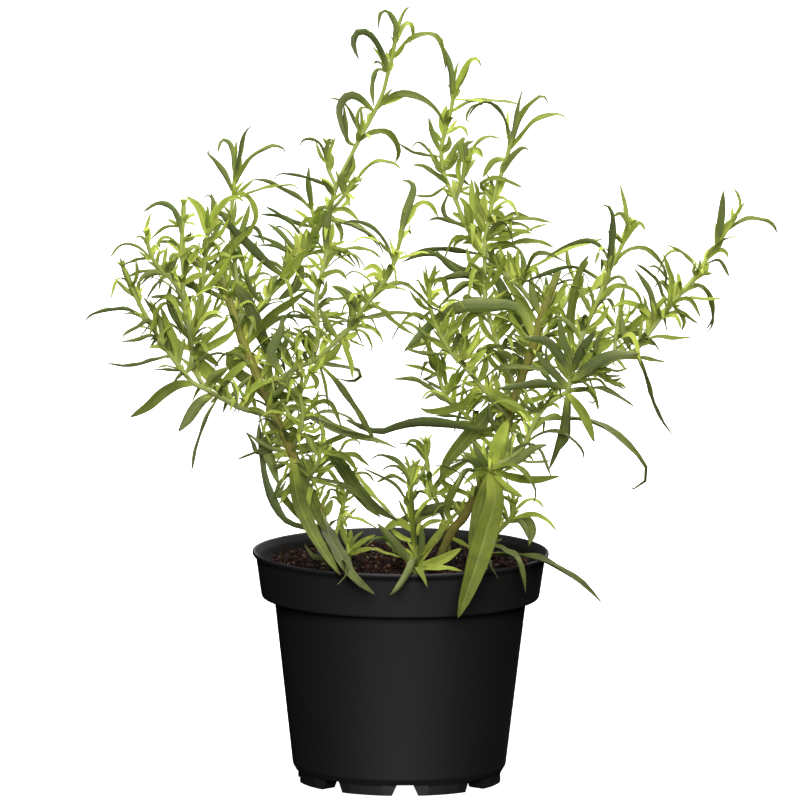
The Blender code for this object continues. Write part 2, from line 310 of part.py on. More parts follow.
RIGHT_STEM = [
    ("right_main", None, (3.8, 3.2),
     [(11, 94.5, 8), (21, 106, 6), (27.5, 115, 5), (34, 127), (41.5, 141, 3), (44.5, 149), (47, 158),
      (49.5, 167.5), (53, 178), (57, 189, 4), (60, 200), (63, 209), (66, 217), (68, 223, 6)],
     [(4.4, (31, 121), (22, 119.5, 16), (12, 117.5, 24), (3, 114, 30), (-7, 109, 34)),
      (3.2, (24, 110), (20, 119), (25, 130), (29, 135.5), (33, 135)),
      (2.4, (23, 109), (18.5, 112), (17, 106)),
      (1.6, (21, 106), (26, 104), (31, 101)),
      (2.5, (26, 113), (28, 117), (28.5, 121)),
      (6.4, (47, 160), (42, 164), (30, 151), (20, 139), (17, 131)),
      (3.4, (46, 154), (33, 153), (26, 154), (10, 156), (0, 154.5), (-11, 151.5), (-25, 157.5)),
      (3.0, (47, 157), (42, 155), (35, 151)),
      (1.8, (47, 158), (55, 157.6), (66, 158), (77, 158.3), (87, 155.5), (97, 148.5), (105, 140),
       (107.5, 134), (104, 128.5), (99.5, 128)),
      (2.2, (48, 162), (57, 166), (63, 168), (66, 172)),
      (2.0, (48, 161), (53, 164), (54.5, 169)),
      (2.0, (47, 158), (58, 161.5), (63, 165)),
      (1.0, (50, 168), (57, 170.5), (61, 167.5), (66, 163.5)),
      (1.8, (55, 184), (61.5, 179), (65, 174), (66, 169)),
      (5.5, (58, 192), (51, 206), (38, 207), (28, 207), (20, 204), (10, 196), (0.5, 186.5)),
      (1.6, (55, 184), (48, 188.5), (38, 189), (30, 184)),
      (3.0, (61, 203), (57, 212), (56, 222)),
      (2.6, (57, 190), (51, 197), (46, 206)),
      (2.8, (62, 205), (68, 211), (72, 219)),
      (2.4, (53, 178), (47, 185), (41, 189)),
      (1.0, (46, 153), (55, 149), (56.5, 141)),
      (2.0, (44, 148), (39, 157), (38, 166)),
      (2.2, (40, 138), (35, 144), (31, 150))]),
    ("right_tall", "right_main", (1.7, 0.8),
     [(60, 203), (52, 215, 12), (45, 221, 20), (38, 228, 26), (32, 235, 32), (27, 244), (23, 254, 38),
      (19, 262), (17, 270, 42), (17, 278), (19, 286), (21, 294), (22, 301, 46)],
     [(2.5, (21.5, 297), (20.5, 310), (17, 320), (14, 324)),
      (2.2, (21.5, 298), (26, 309), (29, 314.5), (32, 315.5), (34, 312)),
      (1.6, (21.5, 299), (24, 306), (26, 312)),
      (1.0, (22, 300), (23, 311), (25, 315.5)),
      (1.5, (20.5, 292), (28, 296.5), (35, 297.5), (45, 297), (53, 295.5)),
      (3.0, (17.5, 281), (17, 288), (19, 295)),
      (1.0, (17, 272), (8, 273.5), (3, 275), (-3, 279)),
      (1.0, (17, 268), (13, 273), (9, 277.5), (6, 279), (3.5, 276)),
      (2.2, (17, 274), (13, 282), (11, 290)),
      (1.2, (18, 282), (24, 285.5), (27, 284.5), (28.5, 281)),
      (1.8, (19.5, 261), (10, 268), (4, 269)),
      (1.0, (20, 260), (14, 256), (10, 255), (5, 255.5)),
      (1.8, (28, 242), (20, 245), (17.5, 250), (20, 257)),
      (1.5, (28, 241), (20, 244.5), (15, 245.5), (11, 244.5)),
      (1.6, (30, 238), (24, 235.5), (22, 232)),
      (2.0, (37, 229), (20, 232), (10, 231.5), (3, 230)),
      (2.0, (35, 231), (30, 226), (27, 220)),
      (2.4, (50, 217), (45, 226), (42, 234)),
      (1.4, (52, 215), (57, 223), (60, 219)),
      (1.5, (52, 216), (57, 228.5), (63, 230), (71.5, 226.5)),
      (2.6, (44, 222), (34, 222.5), (26, 223), (18, 228), (13, 233.5))]),
    ("right_tall_bud", "right_tall", (0.9, 0.7),
     [(23, 254), (26, 262, 34), (27.5, 270, 30)],
     [(2.2, (25, 260), (24, 267), (25.5, 274)),
      (2.5, (26.5, 265), (30, 276)),
      (1.5, (27, 269), (31, 274.5), (35, 272)),
      (1.0, (27, 268), (31, 277), (37, 281.5), (43, 280.5)),
      (2.4, (27, 269), (25, 276), (27, 281))]),
    ("right_spire", "right_main", (1.6, 0.8),
     [(50, 170), (42, 190, 10), (37, 207, 16), (36, 214, 20), (36, 225), (36, 235, 25), (39, 252, 28),
      (42, 262), (45, 271, 30), (47, 279, 30)],
     [(2.0, (46, 276), (49, 288), (50.5, 297), (52, 302)),
      (2.0, (46, 275), (52, 291), (57, 297), (61, 299.5), (63.5, 296)),
      (1.8, (46, 274), (53, 284), (58, 289), (65, 291.5), (70, 291), (72, 288)),
      (1.2, (46.5, 277), (45, 287), (41, 294), (36, 296.5), (31, 294), (28, 289)),
      (2.6, (45, 271), (40, 271), (37, 267.5), (35, 263.5)),
      (2.4, (43, 265), (47, 272), (52, 276.5), (55, 275.5)),
      (1.5, (38.5, 250), (39, 265)),
      (2.5, (39, 252), (45, 264)),
      (1.8, (40, 256), (34, 260), (41, 263), (52.5, 259)),
      (3.0, (37, 243), (31, 251), (30, 263)),
      (1.2, (38, 248), (46, 253), (51, 246)),
      (1.3, (37, 243), (45, 245), (55, 245.5), (62, 244.5), (66, 243.8)),
      (2.0, (36, 231), (44, 233), (52, 235.5), (60, 235.5), (66.5, 233)),
      (2.2, (36.5, 236), (46, 237), (52, 239.5), (57, 239)),
      (2.0, (36, 222), (30, 226), (28, 233)),
      (2.2, (36, 218), (28, 221), (20, 220), (14, 217.5)),
      (1.8, (36, 216), (27, 217), (20, 211)),
      (4.5, (36, 226), (42, 218), (47, 208), (52, 199), (57, 188)),
      (3.5, (38, 205), (29, 202), (27, 191), (26, 184)),
      (2.4, (42, 190), (36, 197), (33, 206)),
      (2.6, (40, 196), (47, 203), (50, 212)),
      (2.2, (36, 213), (42, 221), (45, 230)),
      (2.0, (47, 178), (40, 182), (36, 190))]),
    ("right_left_spray", "right_main", (1.3, 0.8),
     [(47, 158), (40, 166, -6), (33, 174, -9), (27, 181), (22, 186, -13), (16, 196, -15),
      (12, 207, -16), (12, 217, -17)],
     [(1.0, (12, 213), (9, 223)),
      (2.0, (12, 214), (14.5, 225)),
      (1.5, (22, 186), (14, 186), (6, 187), (1, 189)),
      (1.8, (33, 174), (42, 180), (52, 180.5), (62, 179), (68, 176)),
      (3.6, (33, 174), (28, 165), (20, 161.7), (12, 161), (8, 162.5)),
      (4.8, (34, 173), (42, 168), (52, 161.5), (58, 157.5)),
      (1.5, (19, 191), (12, 193), (6, 198)),
      (1.5, (14, 201), (19, 207), (25, 210)),
      (1.3, (13, 205), (7, 208), (3, 214)),
      (1.8, (25, 183), (31, 190), (34, 199)),
      (1.6, (17, 194), (22, 200), (22, 208))]),
    ("right_low_spray", "right_main", (1.2, 0.8),
     [(44, 148), (37, 153, 12), (30, 158, 18), (20, 167, 26), (16, 177, 32), (12, 190, 38),
      (12, 200, 42)],
     [(1.8, (20, 167), (11, 172), (5, 175), (-4, 175)),
      (1.6, (24, 163), (17, 167), (14, 168.5), (9.5, 166)),
      (2.0, (24, 164), (23, 172), (23, 178)),
      (1.4, (17, 175), (18.5, 182), (16, 187)),
      (1.2, (16, 177), (20, 180), (25, 179)),
      (1.4, (13, 188), (9, 194), (7, 201)),
      (1.6, (12, 195), (16, 202), (17, 209)),
      (1.2, (31, 157), (22, 159), (14, 159)),
      (1.2, (27, 161), (33, 166), (39, 168)),
      (1.4, (34, 155), (26, 156.5), (23, 154))]),
    ("right_rosette", "right_main", (1.6, 1.2),
     [(33, 125), (37, 131, -22), (39, 136, -42)],
     [(10.0, (39, 135), (41, 124, -50), (38, 112, -58), (34.5, 100, -66), (31, 89, -72),
       (27.5, 79, -75), (25, 71.6, -76)),
      (5.2, (38.5, 135), (34, 120, -48), (31.5, 106, -54), (30.5, 97, -60)),
      (3.4, (39, 135), (55, 131.5, -50), (69, 133.3, -56)),
      (2.4, (39, 135), (46, 128.5, -50), (53, 124, -58)),
      (3.8, (39, 136), (50, 140, -46), (57, 145, -50), (63.5, 147, -52)),
      (2.4, (38, 135), (32, 133.5, -50), (27, 129.5, -56)),
      (2.0, (39, 136), (45, 138, -52), (51, 137, -58), (55.5, 132.5, -62), (58.5, 126.5, -63),
       (57, 120.3, -62)),
      (6.0, (39.5, 136), (42, 147, -44), (46.5, 158, -42)),
      (3.0, (38, 135), (34, 142, -50), (30.5, 149, -54)),
      (2.0, (38, 135), (31, 139, -38), (25, 143, -34)),
      (1.4, (39, 136), (48, 140.5, -34), (57, 139, -26), (66, 140, -20)),
      (1.8, (39, 136), (36, 142, -36), (36, 149, -32))]),
    ("right_link", "right_rosette", (1.2, 1.3),
     [(39, 136), (51, 144, -45), (55, 150, -48), (59, 159, -50), (64, 165), (72, 170, -50)],
     [(1.3, (53, 147), (61, 152, -54), (68, 152.5, -60), (74, 149.5, -64), (79, 143.5, -66),
       (78.2, 139.3, -66)),
      (1.6, (56, 152), (61.5, 157, -40), (61.5, 151.5, -34)),
      (1.2, (62, 163), (66, 164.5, -58), (69, 162, -62)),
      (1.6, (60, 160), (54, 163, -58), (50, 169, -62))]),
    ("right_star", "right_link", (1.4, 1.3),
     [(72, 170), (74, 178, -49), (76, 188, -45)],
     [(3.4, (72, 170), (70.5, 155, -56), (67.5, 145, -60), (64, 136, -62)),
      (4.0, (72.5, 170), (79, 160, -58), (83.7, 148, -64)),
      (1.6, (72, 171), (73, 157, -46), (72.5, 150, -44), (69, 144.5, -42)),
      (1.8, (73, 174), (85, 178, -40), (92, 174, -32), (98, 170.5, -28)),
      (1.6, (72.5, 171), (80, 171.5, -54), (87, 171.5, -60), (94, 168, -66), (101, 163.5, -70)),
      (1.0, (73, 174), (79, 174, -62), (84, 168, -70), (85.5, 162, -72)),
      (1.0, (73, 173), (84, 175.5, -46), (88, 173, -44), (91, 169.5, -42)),
      (3.2, (72, 171), (60, 173.5, -58), (50, 172, -62), (41, 171, -64)),
      (3.5, (72, 172), (66, 178, -58), (61, 183, -64), (58, 188, -68)),
      (1.2, (72, 173), (66, 179, -44), (62.5, 185, -40), (63, 192, -36)),
      (5.0, (73, 174), (83, 182, -58), (92, 186, -64), (103, 186.5, -68)),
      (2.6, (74, 177), (85, 181, -34), (88, 177, -28), (96, 177, -24)),
      (1.0, (74.5, 180), (86, 180, -54), (94, 179, -58), (99, 181, -60)),
      (4.2, (74, 176), (68, 186, -54), (62, 192, -58), (52, 193, -60)),
      (4.0, (74.5, 178), (78, 188, -60), (84, 197, -68)),
      (3.2, (75, 182), (70, 192, -54), (68, 203, -58)),
      (2.6, (75, 182), (82, 190, -42), (92, 194, -38)),
      (3.8, (75.5, 185), (73, 200, -40), (77, 222, -38), (81, 229.5, -37))]),
    ("right_sweep", "right_star", (1.6, 0.9),
     [(73, 174), (82, 178, -45), (92, 184, -38), (101, 188, -32), (107, 195), (112, 202), (117, 208),
      (122, 214), (128, 221), (133, 229), (138, 236), (144, 246, 0)],
     [(3.2, (137, 234), (138.5, 245), (139.5, 258)),
      (3.2, (137, 234), (141, 242), (146, 247)),
      (1.2, (142, 242), (147, 250), (146.5, 256), (143.5, 260)),
      (1.2, (143, 244), (149, 253)),
      (1.4, (141, 240), (147, 244.5), (153, 246), (160, 244.5), (164, 239.5), (163.5, 236.5)),
      (2.0, (132, 227), (137, 232), (140.5, 231.5), (142, 228.5)),
      (1.1, (129, 222), (124, 229), (120, 232), (114.5, 234.5)),
      (1.4, (120, 211), (126, 215.5), (130, 216.5), (134, 212), (135.5, 203), (132, 196.8)),
      (1.1, (118, 209), (126, 211), (132, 210.5), (139, 211)),
      (1.9, (120, 212), (118, 218), (115.5, 225), (113.5, 230.5)),
      (2.5, (110, 199), (108.5, 211), (105, 218), (100.5, 224)),
      (1.0, (115, 206), (111, 218), (105, 224), (101, 226)),
      (1.6, (114, 204), (121, 205), (125, 202.5), (129, 200)),
      (1.5, (113, 203), (119, 203), (121.5, 197.5)),
      (1.5, (104, 191), (110, 194), (118, 193.5), (126.5, 194)),
      (1.6, (101, 188), (105, 180), (108, 170), (112, 160), (118.6, 150.7)),
      (3.5, (111, 201), (106, 203), (99, 197.5), (91, 192)),
      (1.6, (92, 184), (103, 185), (115, 183)),
      (2.4, (100, 187.5), (96, 196), (95, 206)),
      (2.0, (86, 180), (84, 190), (88, 198)),
      (1.6, (124, 216.5), (130, 221), (134, 221))]),
    ("right_crown", "right_star", (1.4, 0.8),
     [(76, 187), (79, 196, -43), (82, 203, -40), (85, 210), (88, 218, -35), (91, 225), (95, 233, -30),
      (99, 243, -28)],
     [(2.8, (89.5, 221), (90.5, 235), (91, 245), (89, 250.5), (86, 251)),
      (1.8, (95, 233), (97, 240), (99.5, 247)),
      (1.6, (98.5, 242), (95, 247.5), (91, 246)),
      (2.2, (95, 233), (99, 240), (103, 243.5), (105.5, 240)),
      (1.8, (91, 225), (97, 231), (104, 232.5), (110, 229), (114.5, 222), (114, 214.5)),
      (3.0, (90, 222), (86, 219), (82, 213.5)),
      (2.0, (84.5, 208), (90, 214.5), (95, 216), (101, 213.5), (105, 206)),
      (1.6, (88, 217), (75, 224), (62, 221), (50, 216)),
      (1.3, (82, 203), (79, 209), (76, 215)),
      (1.2, (83, 205), (88, 204), (93, 199)),
      (1.6, (91, 226), (83, 235), (73, 234), (62, 228)),
      (2.0, (78, 194), (73, 199), (66, 204)),
      (2.4, (79, 196), (86, 201), (90, 208))]),
    ("right_bud", "right_sweep", (0.9, 0.7),
     [(92, 184), (93, 195, -34), (95, 203, -30)],
     [(2.0, (94, 200), (96.5, 216)),
      (1.4, (93, 196), (98, 202), (99, 208)),
      (1.4, (93, 197), (89, 203), (87, 210))]),
    ("right_back", "right_main", (1.6, 0.8),
     [(51, 172), (55, 182, 22), (60, 191, 40), (66, 200, 54), (72, 210, 64), (77, 221, 72)],
     [(3.0, (54, 179), (61, 182), (68, 188)),
      (2.6, (58, 187), (54, 196), (53, 206)),
      (2.8, (62, 194), (71, 197), (79, 203)),
      (2.4, (68, 203), (64, 212), (63, 221)),
      (2.2, (72, 210), (79, 213), (86, 217)),
      (1.8, (76, 218), (73, 226), (72, 234)),
      (1.8, (77, 220), (82, 228))]),
]

FRONT_ROSETTE = [
    ("front_rosette", None, (2.6, 1.6),
     [(6, 88, -38), (6.5, 91, -38), (6.6, 95, -38)],
     [(3.6, (6.5, 93), (-2.5, 103.5, -46), (-10.4, 112.5, -50)),
      (2.0, (6.5, 94.5), (6, 106, -33)),
      (3.0, (6.6, 94), (12.8, 102.6, -32), (18.4, 107.5, -28)),
      (4.0, (6.6, 93.5), (17.2, 96.2, -36), (26.5, 101.5, -34)),
      (2.2, (6.5, 92.8), (13, 92.9, -48), (20, 93, -50), (27.3, 91.6, -51)),
      (3.6, (6.5, 94), (5.4, 95, -62), (0.7, 87, -73), (-4.6, 81.1, -77)),
      (3.0, (6.6, 93.4), (7.6, 93, -63), (10.3, 88, -70), (11.8, 84.6, -72)),
      (2.0, (6.5, 94), (-2, 100.5, -30), (-7, 104, -26)),
      (2.4, (6.5, 94), (1, 99, -30), (-4, 100.5, -24)),
      (1.6, (6.5, 94), (-4, 104, -38), (-11, 105.5, -42), (-15, 102, -46)),
      (2.6, (6.6, 94), (9, 103, -44), (9, 112, -50))]),
]

LEFT_ROSETTE = [
    ("left_rosette", None, (1.8, 1.2),
     [(-22.5, 86, -12), (-22.5, 94, -13), (-23, 103, -14)],
     [(2.2, (-22.8, 101), (-25, 107, -16), (-26, 113, -18)),
      (2.0, (-22.9, 101), (-21.5, 109, -16)),
      (1.8, (-22.7, 98), (-17, 100, -24), (-12, 101, -30)),
      (1.2, (-22.7, 99), (-13, 100.8, -17), (-5, 98.6, -12), (1, 97, -8)),
      (2.0, (-22.8, 100), (-16, 104.5, -18), (-11, 107, -20))]),
]

MIDDLE_SHOOT = [
    ("middle_shoot", None, (1.6, 0.9),
     [(6, 92, 14), (5.5, 105, 14), (4.3, 116), (3.7, 127, 12), (6, 137, 10)],
     [(1.2, (3.8, 125), (3, 131), (-0.5, 136), (-5, 137), (-9, 134.5)),
      (1.5, (4, 128), (-3, 132.5), (-8, 131), (-11, 129.5)),
      (1.0, (4.2, 119), (-2, 128), (-8, 132), (-17, 136)),
      (1.1, (5, 110), (1, 118), (-1, 122.5)),
      (2.2, (4, 129), (7.5, 136), (10, 137)),
      (2.6, (4.2, 129), (5, 136), (8.5, 140)),
      (1.4, (5, 112), (11, 121), (17, 124)),
      (3.4, (5.3, 108), (-1, 112.5), (-8, 108.5)),
      (1.8, (5.4, 106), (12, 112), (20, 113.5)),
      (2.0, (5.5, 104), (0, 106), (-5, 110))]),
]

THIN_SHOOT = [
    ("thin_shoot", None, (1.4, 0.8),
     [(20, 92, 30), (21, 106, 29), (18, 116, 28), (14, 126, 26), (12, 134), (11, 141, 22),
      (10.5, 147, 20)],
     [(1.5, (11, 141), (8, 147), (4, 148), (2, 145)),
      (1.8, (11, 140), (12.5, 149)),
      (1.0, (12, 135), (5, 136), (0.5, 139)),
      (2.8, (14, 126), (19, 133), (25, 137.5), (30, 140)),
      (1.3, (13, 130), (9, 131.5), (3, 134), (-1, 133)),
      (1.2, (13, 131), (20, 138.5), (27, 140)),
      (1.6, (15, 124), (20, 126), (25, 126.5)),
      (1.4, (17, 118), (11, 119), (7, 115))]),
]

RIGHT_SHOOT = [
    ("right_shoot", None, (1.8, 0.9),
     [(35.5, 91, -12), (38, 99, -13), (41.5, 107.3, -14), (47.5, 114, -16), (49.7, 121, -18)],
     [(2.0, (47.5, 114), (57.6, 116.3), (64, 113.5), (68, 109)),
      (3.8, (47, 113.5), (54, 114.5), (57.5, 109.6), (56, 102.5)),
      (2.0, (48, 115), (48, 122), (43, 124.6)),
      (1.3, (48.8, 117.5), (55, 122.5), (60, 122), (62.5, 118.5)),
      (1.2, (49, 119), (49, 124), (51.5, 127)),
      (1.6, (38.5, 100), (50, 98.8, -28), (57, 98, -38), (64, 95.8, -44), (77.8, 87.5, -52),
       (87.9, 78.1, -56)),
      (2.6, (40, 104), (50, 98, -45), (53.2, 90, -54), (54.4, 82.4, -57)),
      (1.8, (37.5, 98), (38.5, 95.3, -54), (42.7, 88.4, -61)),
      (1.6, (39, 102), (34, 104), (30, 101))]),
]

PLANTS = [
    ("left_stem", LEFT_STEM),
    ("right_stem", RIGHT_STEM),
    ("front_rosette", FRONT_ROSETTE),
    ("left_rosette", LEFT_ROSETTE),
    ("middle_shoot", MIDDLE_SHOOT),
    ("thin_shoot", THIN_SHOOT),
    ("right_shoot", RIGHT_SHOOT),
]


def clear_scene():
    """Remove every object that the file opened with."""
    for thing in list(bpy.data.objects):
        bpy.data.objects.remove(thing, do_unlink=True)


def material(name, colour, roughness):
    """A plain Principled material."""
    finish = bpy.data.materials.new(name)
    finish.use_nodes = True
    shader = finish.node_tree.nodes["Principled BSDF"]
    shader.inputs["Base Color"].default_value = (*colour, 1.0)
    shader.inputs["Roughness"].default_value = roughness
    return finish


def mesh_object(name, points, faces, finish=None):
    """An object from points in millimetres."""
    mesh = bpy.data.meshes.new(name)
    mesh.from_pydata((np.asarray(points) * MM).tolist(), [], [list(map(int, face)) for face in faces])
    mesh.update()
    if finish:
        mesh.materials.append(finish)
    thing = bpy.data.objects.new(name, mesh)
    bpy.context.scene.collection.objects.link(thing)
    return thing


def boolean(thing, operation, others, solver):
    """Join others to thing, or cut them from it, and remove them."""
    group = bpy.data.collections.new(thing.name + "_others")
    bpy.context.scene.collection.children.link(group)
    for other in others:
        bpy.context.scene.collection.objects.unlink(other)
        group.objects.link(other)
    step = thing.modifiers.new("join", "BOOLEAN")
    step.operation = operation
    step.solver = solver
    step.operand_type = "COLLECTION"
    step.collection = group
    bpy.context.view_layer.update()
    shaped = thing.evaluated_get(bpy.context.evaluated_depsgraph_get())
    mesh = bpy.data.meshes.new_from_object(shaped)
    thing.modifiers.remove(step)
    old = thing.data
    thing.data = mesh
    bpy.data.meshes.remove(old)
    mesh.name = thing.name
    for other in others:
        bpy.data.objects.remove(other, do_unlink=True)
    bpy.data.collections.remove(group)


def connected_verts(start, unseen):
    """The vertices that edges join to start, taken out of the unseen ones."""
    body = [start]
    for vert in body:
        for edge in vert.link_edges:
            other = edge.other_vert(vert)
            if other in unseen:
                unseen.discard(other)
                body.append(other)
    return body


def keep_largest(thing):
    """Keep the largest body, drop every loose scrap, and leave only triangles."""
    work = bmesh.new()
    work.from_mesh(thing.data)
    unseen = set(work.verts)
    bodies = []
    while unseen:
        bodies.append(connected_verts(unseen.pop(), unseen))
    bodies.sort(key=len)
    for body in bodies[:-1]:
        bmesh.ops.delete(work, geom=body, context="VERTS")
    bmesh.ops.triangulate(work, faces=work.faces)
    work.to_mesh(thing.data)
    work.free()


def turned(name, profile, sides, finish):
    """A closed solid turned about Z. The profile is (radius, height), up the outside and down
    the inside, and a radius of 0 at each end closes it with a pole."""
    angle = np.arange(sides) * 2 * math.pi / sides
    points = []
    rings = []
    for radius, height in profile:
        if radius == 0:
            rings.append([len(points)] * sides)
            points.append((0, 0, height))
        else:
            rings.append([len(points) + k for k in range(sides)])
            points.extend(zip(radius * np.cos(angle), radius * np.sin(angle), np.full(sides, height)))
    faces = []
    for low, high in zip(rings, rings[1:]):
        for k in range(sides):
            after = (k + 1) % sides
            corners = [low[k], low[after], high[after], high[k]]
            faces.append(list(dict.fromkeys(corners)))
    thing = mesh_object(name, points, faces, finish)
    thing.data.shade_smooth()
    thing.data.set_sharp_from_angle(angle=math.radians(30))
    return thing


def pot_outside():
    """The pot's outside in section, from the middle of its underside up to the lip. It stands on
    a ring that notches divide into pads, and on a small pad in the middle."""
    return [
        (0, 0),
        (MIDDLE_PAD_RADIUS, 0),
        (MIDDLE_PAD_RADIUS + 0.6, UNDERSIDE_Z),
        (PAD_INNER_RADIUS - 0.6, UNDERSIDE_Z),
        (PAD_INNER_RADIUS, 0),
        (FOOT_RADIUS, 0),
        (FOOT_RADIUS + 0.2, FOOT_TOP_Z),
        (BODY_LOW_RADIUS - 0.4, FOOT_TOP_Z + 0.5),
        (BODY_LOW_RADIUS, BODY_LOW_Z),
        (BODY_TOP_RADIUS, BODY_TOP_Z),
        (COLLAR_LOW_RADIUS - 2.6, BODY_TOP_Z + 1.3),
        (COLLAR_LOW_RADIUS - 0.3, COLLAR_LOW_Z - 0.5),
        (COLLAR_TOP_RADIUS, COLLAR_TOP_Z),
        (LIP_RADIUS - 0.3, LIP_Z - 1.1),
        (LIP_RADIUS, LIP_Z),
        (LIP_RADIUS - 0.8, POT_HEIGHT),
    ]


def pot_inside():
    """The pot's inside in section, from the lip down to the middle of the floor."""
    return [
        (COLLAR_TOP_RADIUS - WALL, POT_HEIGHT - 0.3),
        (COLLAR_LOW_RADIUS - WALL, COLLAR_LOW_Z),
        (BODY_TOP_RADIUS - WALL, BODY_TOP_Z),
        (FOOT_RADIUS - WALL, FLOOR_TOP_Z),
        (0, FLOOR_TOP_Z),
    ]


def make_pot(finish):
    """The turned pot, with notches cut in its foot and a drain hole behind each."""
    pot = turned("pot", pot_outside() + pot_inside(), POT_SIDES, finish)
    cutters = []
    for k in range(NOTCH_COUNT):
        turn = NOTCH_TURN - math.pi / 2 + k * 2 * math.pi / NOTCH_COUNT
        radial = np.array([math.cos(turn), math.sin(turn), 0.0])
        cutters += notch(radial)
        cutters.append(round_hole("drain", DRAIN_RADIUS, DRAIN_SIDES, UNDERSIDE_Z - 2, FLOOR_TOP_Z + 2,
                                  DRAIN_CENTRE_RADIUS * radial))
    boolean(pot, "DIFFERENCE", cutters, "EXACT")
    keep_largest(pot)


def notch(radial):
    """A notch through the foot's ring: a wide recess in its outer face, and behind that an arch
    which narrows upwards."""
    axes = (np.cross(UP, radial), UP, radial)
    half = NOTCH_WIDTH / 2
    recess = [(-half, -2), (half, -2), (half, NOTCH_HEIGHT), (-half, NOTCH_HEIGHT)]
    arch = [(ARCH[0][0], -2.5)] + list(ARCH)
    arch += [(-across, up) for across, up in arch[::-1]]
    return [prism("recess", recess, FOOT_RADIUS - NOTCH_DEPTH, FOOT_RADIUS + 4, axes),
            prism("arch", arch, PAD_INNER_RADIUS - 4, FOOT_RADIUS + 3, axes)]


def round_hole(name, radius, sides, low, high, middle):
    """An upright cutter with many sides."""
    angle = np.arange(sides) * 2 * math.pi / sides
    outline = list(zip(radius * np.cos(angle), radius * np.sin(angle)))
    return prism(name, outline, low, high, np.identity(3), (middle[0], middle[1], 0.0))


def prism(name, outline, start, end, axes, origin=(0.0, 0.0, 0.0)):
    """A straight-sided solid: an outline drawn anticlockwise on the first two axes, carried along
    the third one."""
    flat = np.asarray(outline, dtype=float) @ np.asarray(axes[:2]) + np.asarray(origin)
    along = np.asarray(axes[2])
    points = np.concatenate([flat + start * along, flat + end * along])
    count = len(flat)
    faces = [list(range(count))[::-1], list(range(count, 2 * count))]
    faces += [[k, (k + 1) % count, count + (k + 1) % count, count + k] for k in range(count)]
    return mesh_object(name, points, faces)


def soil_height(radius, angle):
    """The soil's lumpy top, in low waves."""
    waves = math.sin(3 * angle + radius * 0.11) + math.sin(5 * angle - radius * 0.23 + 1.3)
    return SOIL_TOP_Z + SOIL_LUMP * waves * radius / COLLAR_LOW_RADIUS


def make_soil(finish, stems):
    """The block of soil: it fills the pot, and each stem stands in a plain hole in its top."""
    radius, height = np.array(pot_inside()[::-1]).T
    rim_z = SOIL_TOP_Z - 1
    rim = float(np.interp(rim_z, height[-3:], radius[-3:])) - SOIL_GAP
    profile = [(max(0, r - SOIL_GAP), z + SOIL_GAP) for r, z in zip(radius, height) if z < rim_z]
    profile += [(rim, rim_z)] + [(ring, SOIL_TOP_Z) for ring in SOIL_RINGS] + [(0, SOIL_TOP_Z)]
    soil = turned("soil", profile, POT_SIDES, finish)
    for vert in soil.data.vertices:
        reach = math.hypot(vert.co.x, vert.co.y) / MM
        if vert.co.z / MM > rim_z + 0.5 and reach > 1:
            vert.co.z = soil_height(reach, math.atan2(vert.co.y, vert.co.x)) * MM
    boolean(soil, "DIFFERENCE", [stem_hole(path, radii[0]) for path, radii in stems], "EXACT")
    keep_largest(soil)


def stem_hole(path, radius):
    """A plain upright hole that clears a stem where it stands in the soil."""
    buried = path[path[:, 2] < SOIL_TOP_Z + 3]
    middle = 0.5 * (buried.min(axis=0) + buried.max(axis=0))
    reach = np.hypot(*(buried - middle)[:, :2].T).max()
    wide = (reach + max(radius, 0.5 * LEAST_SHOOT) + HOLE_GAP) / math.cos(math.pi / HOLE_SIDES)
    return round_hole("hole", wide, HOLE_SIDES, buried[:, 2].min() - 1.5, SOIL_TOP_Z + 6, middle)


def sheet_to_space(across, up, away):
    """Places on the tilted sheet as x, y, z."""
    height = (np.asarray(up) - np.asarray(away) * math.sin(SHEET_TILT)) / math.cos(SHEET_TILT)
    return np.column_stack([across, away, height])


def running_length(points):
    """How far along a row of points each one lies."""
    return np.concatenate([[0.0], np.cumsum(np.linalg.norm(np.diff(points, axis=0), axis=1))])


def smooth(points, count):
    """Evenly spaced places on a Catmull-Rom curve through the points."""
    points = np.asarray(points, dtype=float)
    if len(points) == 2:
        points = np.array([points[0], points.mean(axis=0), points[1]])
    padded = np.concatenate([[2 * points[0] - points[1]], points, [2 * points[-1] - points[-2]]])
    place = np.linspace(0, len(points) - 1, MIDRIB_STEPS * len(points))
    part = np.minimum(place.astype(int), len(points) - 2)
    t = (place - part)[:, None]
    a, b, c, d = (padded[part + k] for k in range(4))
    curve = 0.5 * (2 * b + (c - a) * t + (2 * a - 5 * b + 4 * c - d) * t**2
                   + (3 * b - a - 3 * c + d) * t**3)
    along = running_length(curve)
    even = np.linspace(0, along[-1], count)
    return np.column_stack([np.interp(even, along, curve[:, k]) for k in range(3)])


def fill_away(places, start):
    """The away value of each place: those given, and the others in between by distance."""
    along = running_length(np.array([place[:2] for place in places], dtype=float))
    known = [0] + [k for k, place in enumerate(places) if len(place) == 3 and k > 0]
    values = [start] + [places[k][2] for k in known[1:]]
    return np.interp(along, along[known], values)


def shoot_path(route, parent_path):
    """A shoot's middle line in space, from its parent's middle line or from below the soil."""
    root = None if parent_path is None else nearest_on_sheet(parent_path, route[0])
    away = fill_away(route, route[0][2] if root is None else root[1])
    points = sheet_to_space([place[0] for place in route], [place[1] for place in route], away)
    if root is None:
        points[0, 2] = SOIL_TOP_Z - ROOT_DEPTH
    else:
        ahead = points[1] - root
        points[0] = root - ahead * (ROOT_BITE / np.linalg.norm(ahead))
    return smooth(points, max(8, int(running_length(points)[-1] / PATH_STEP)))


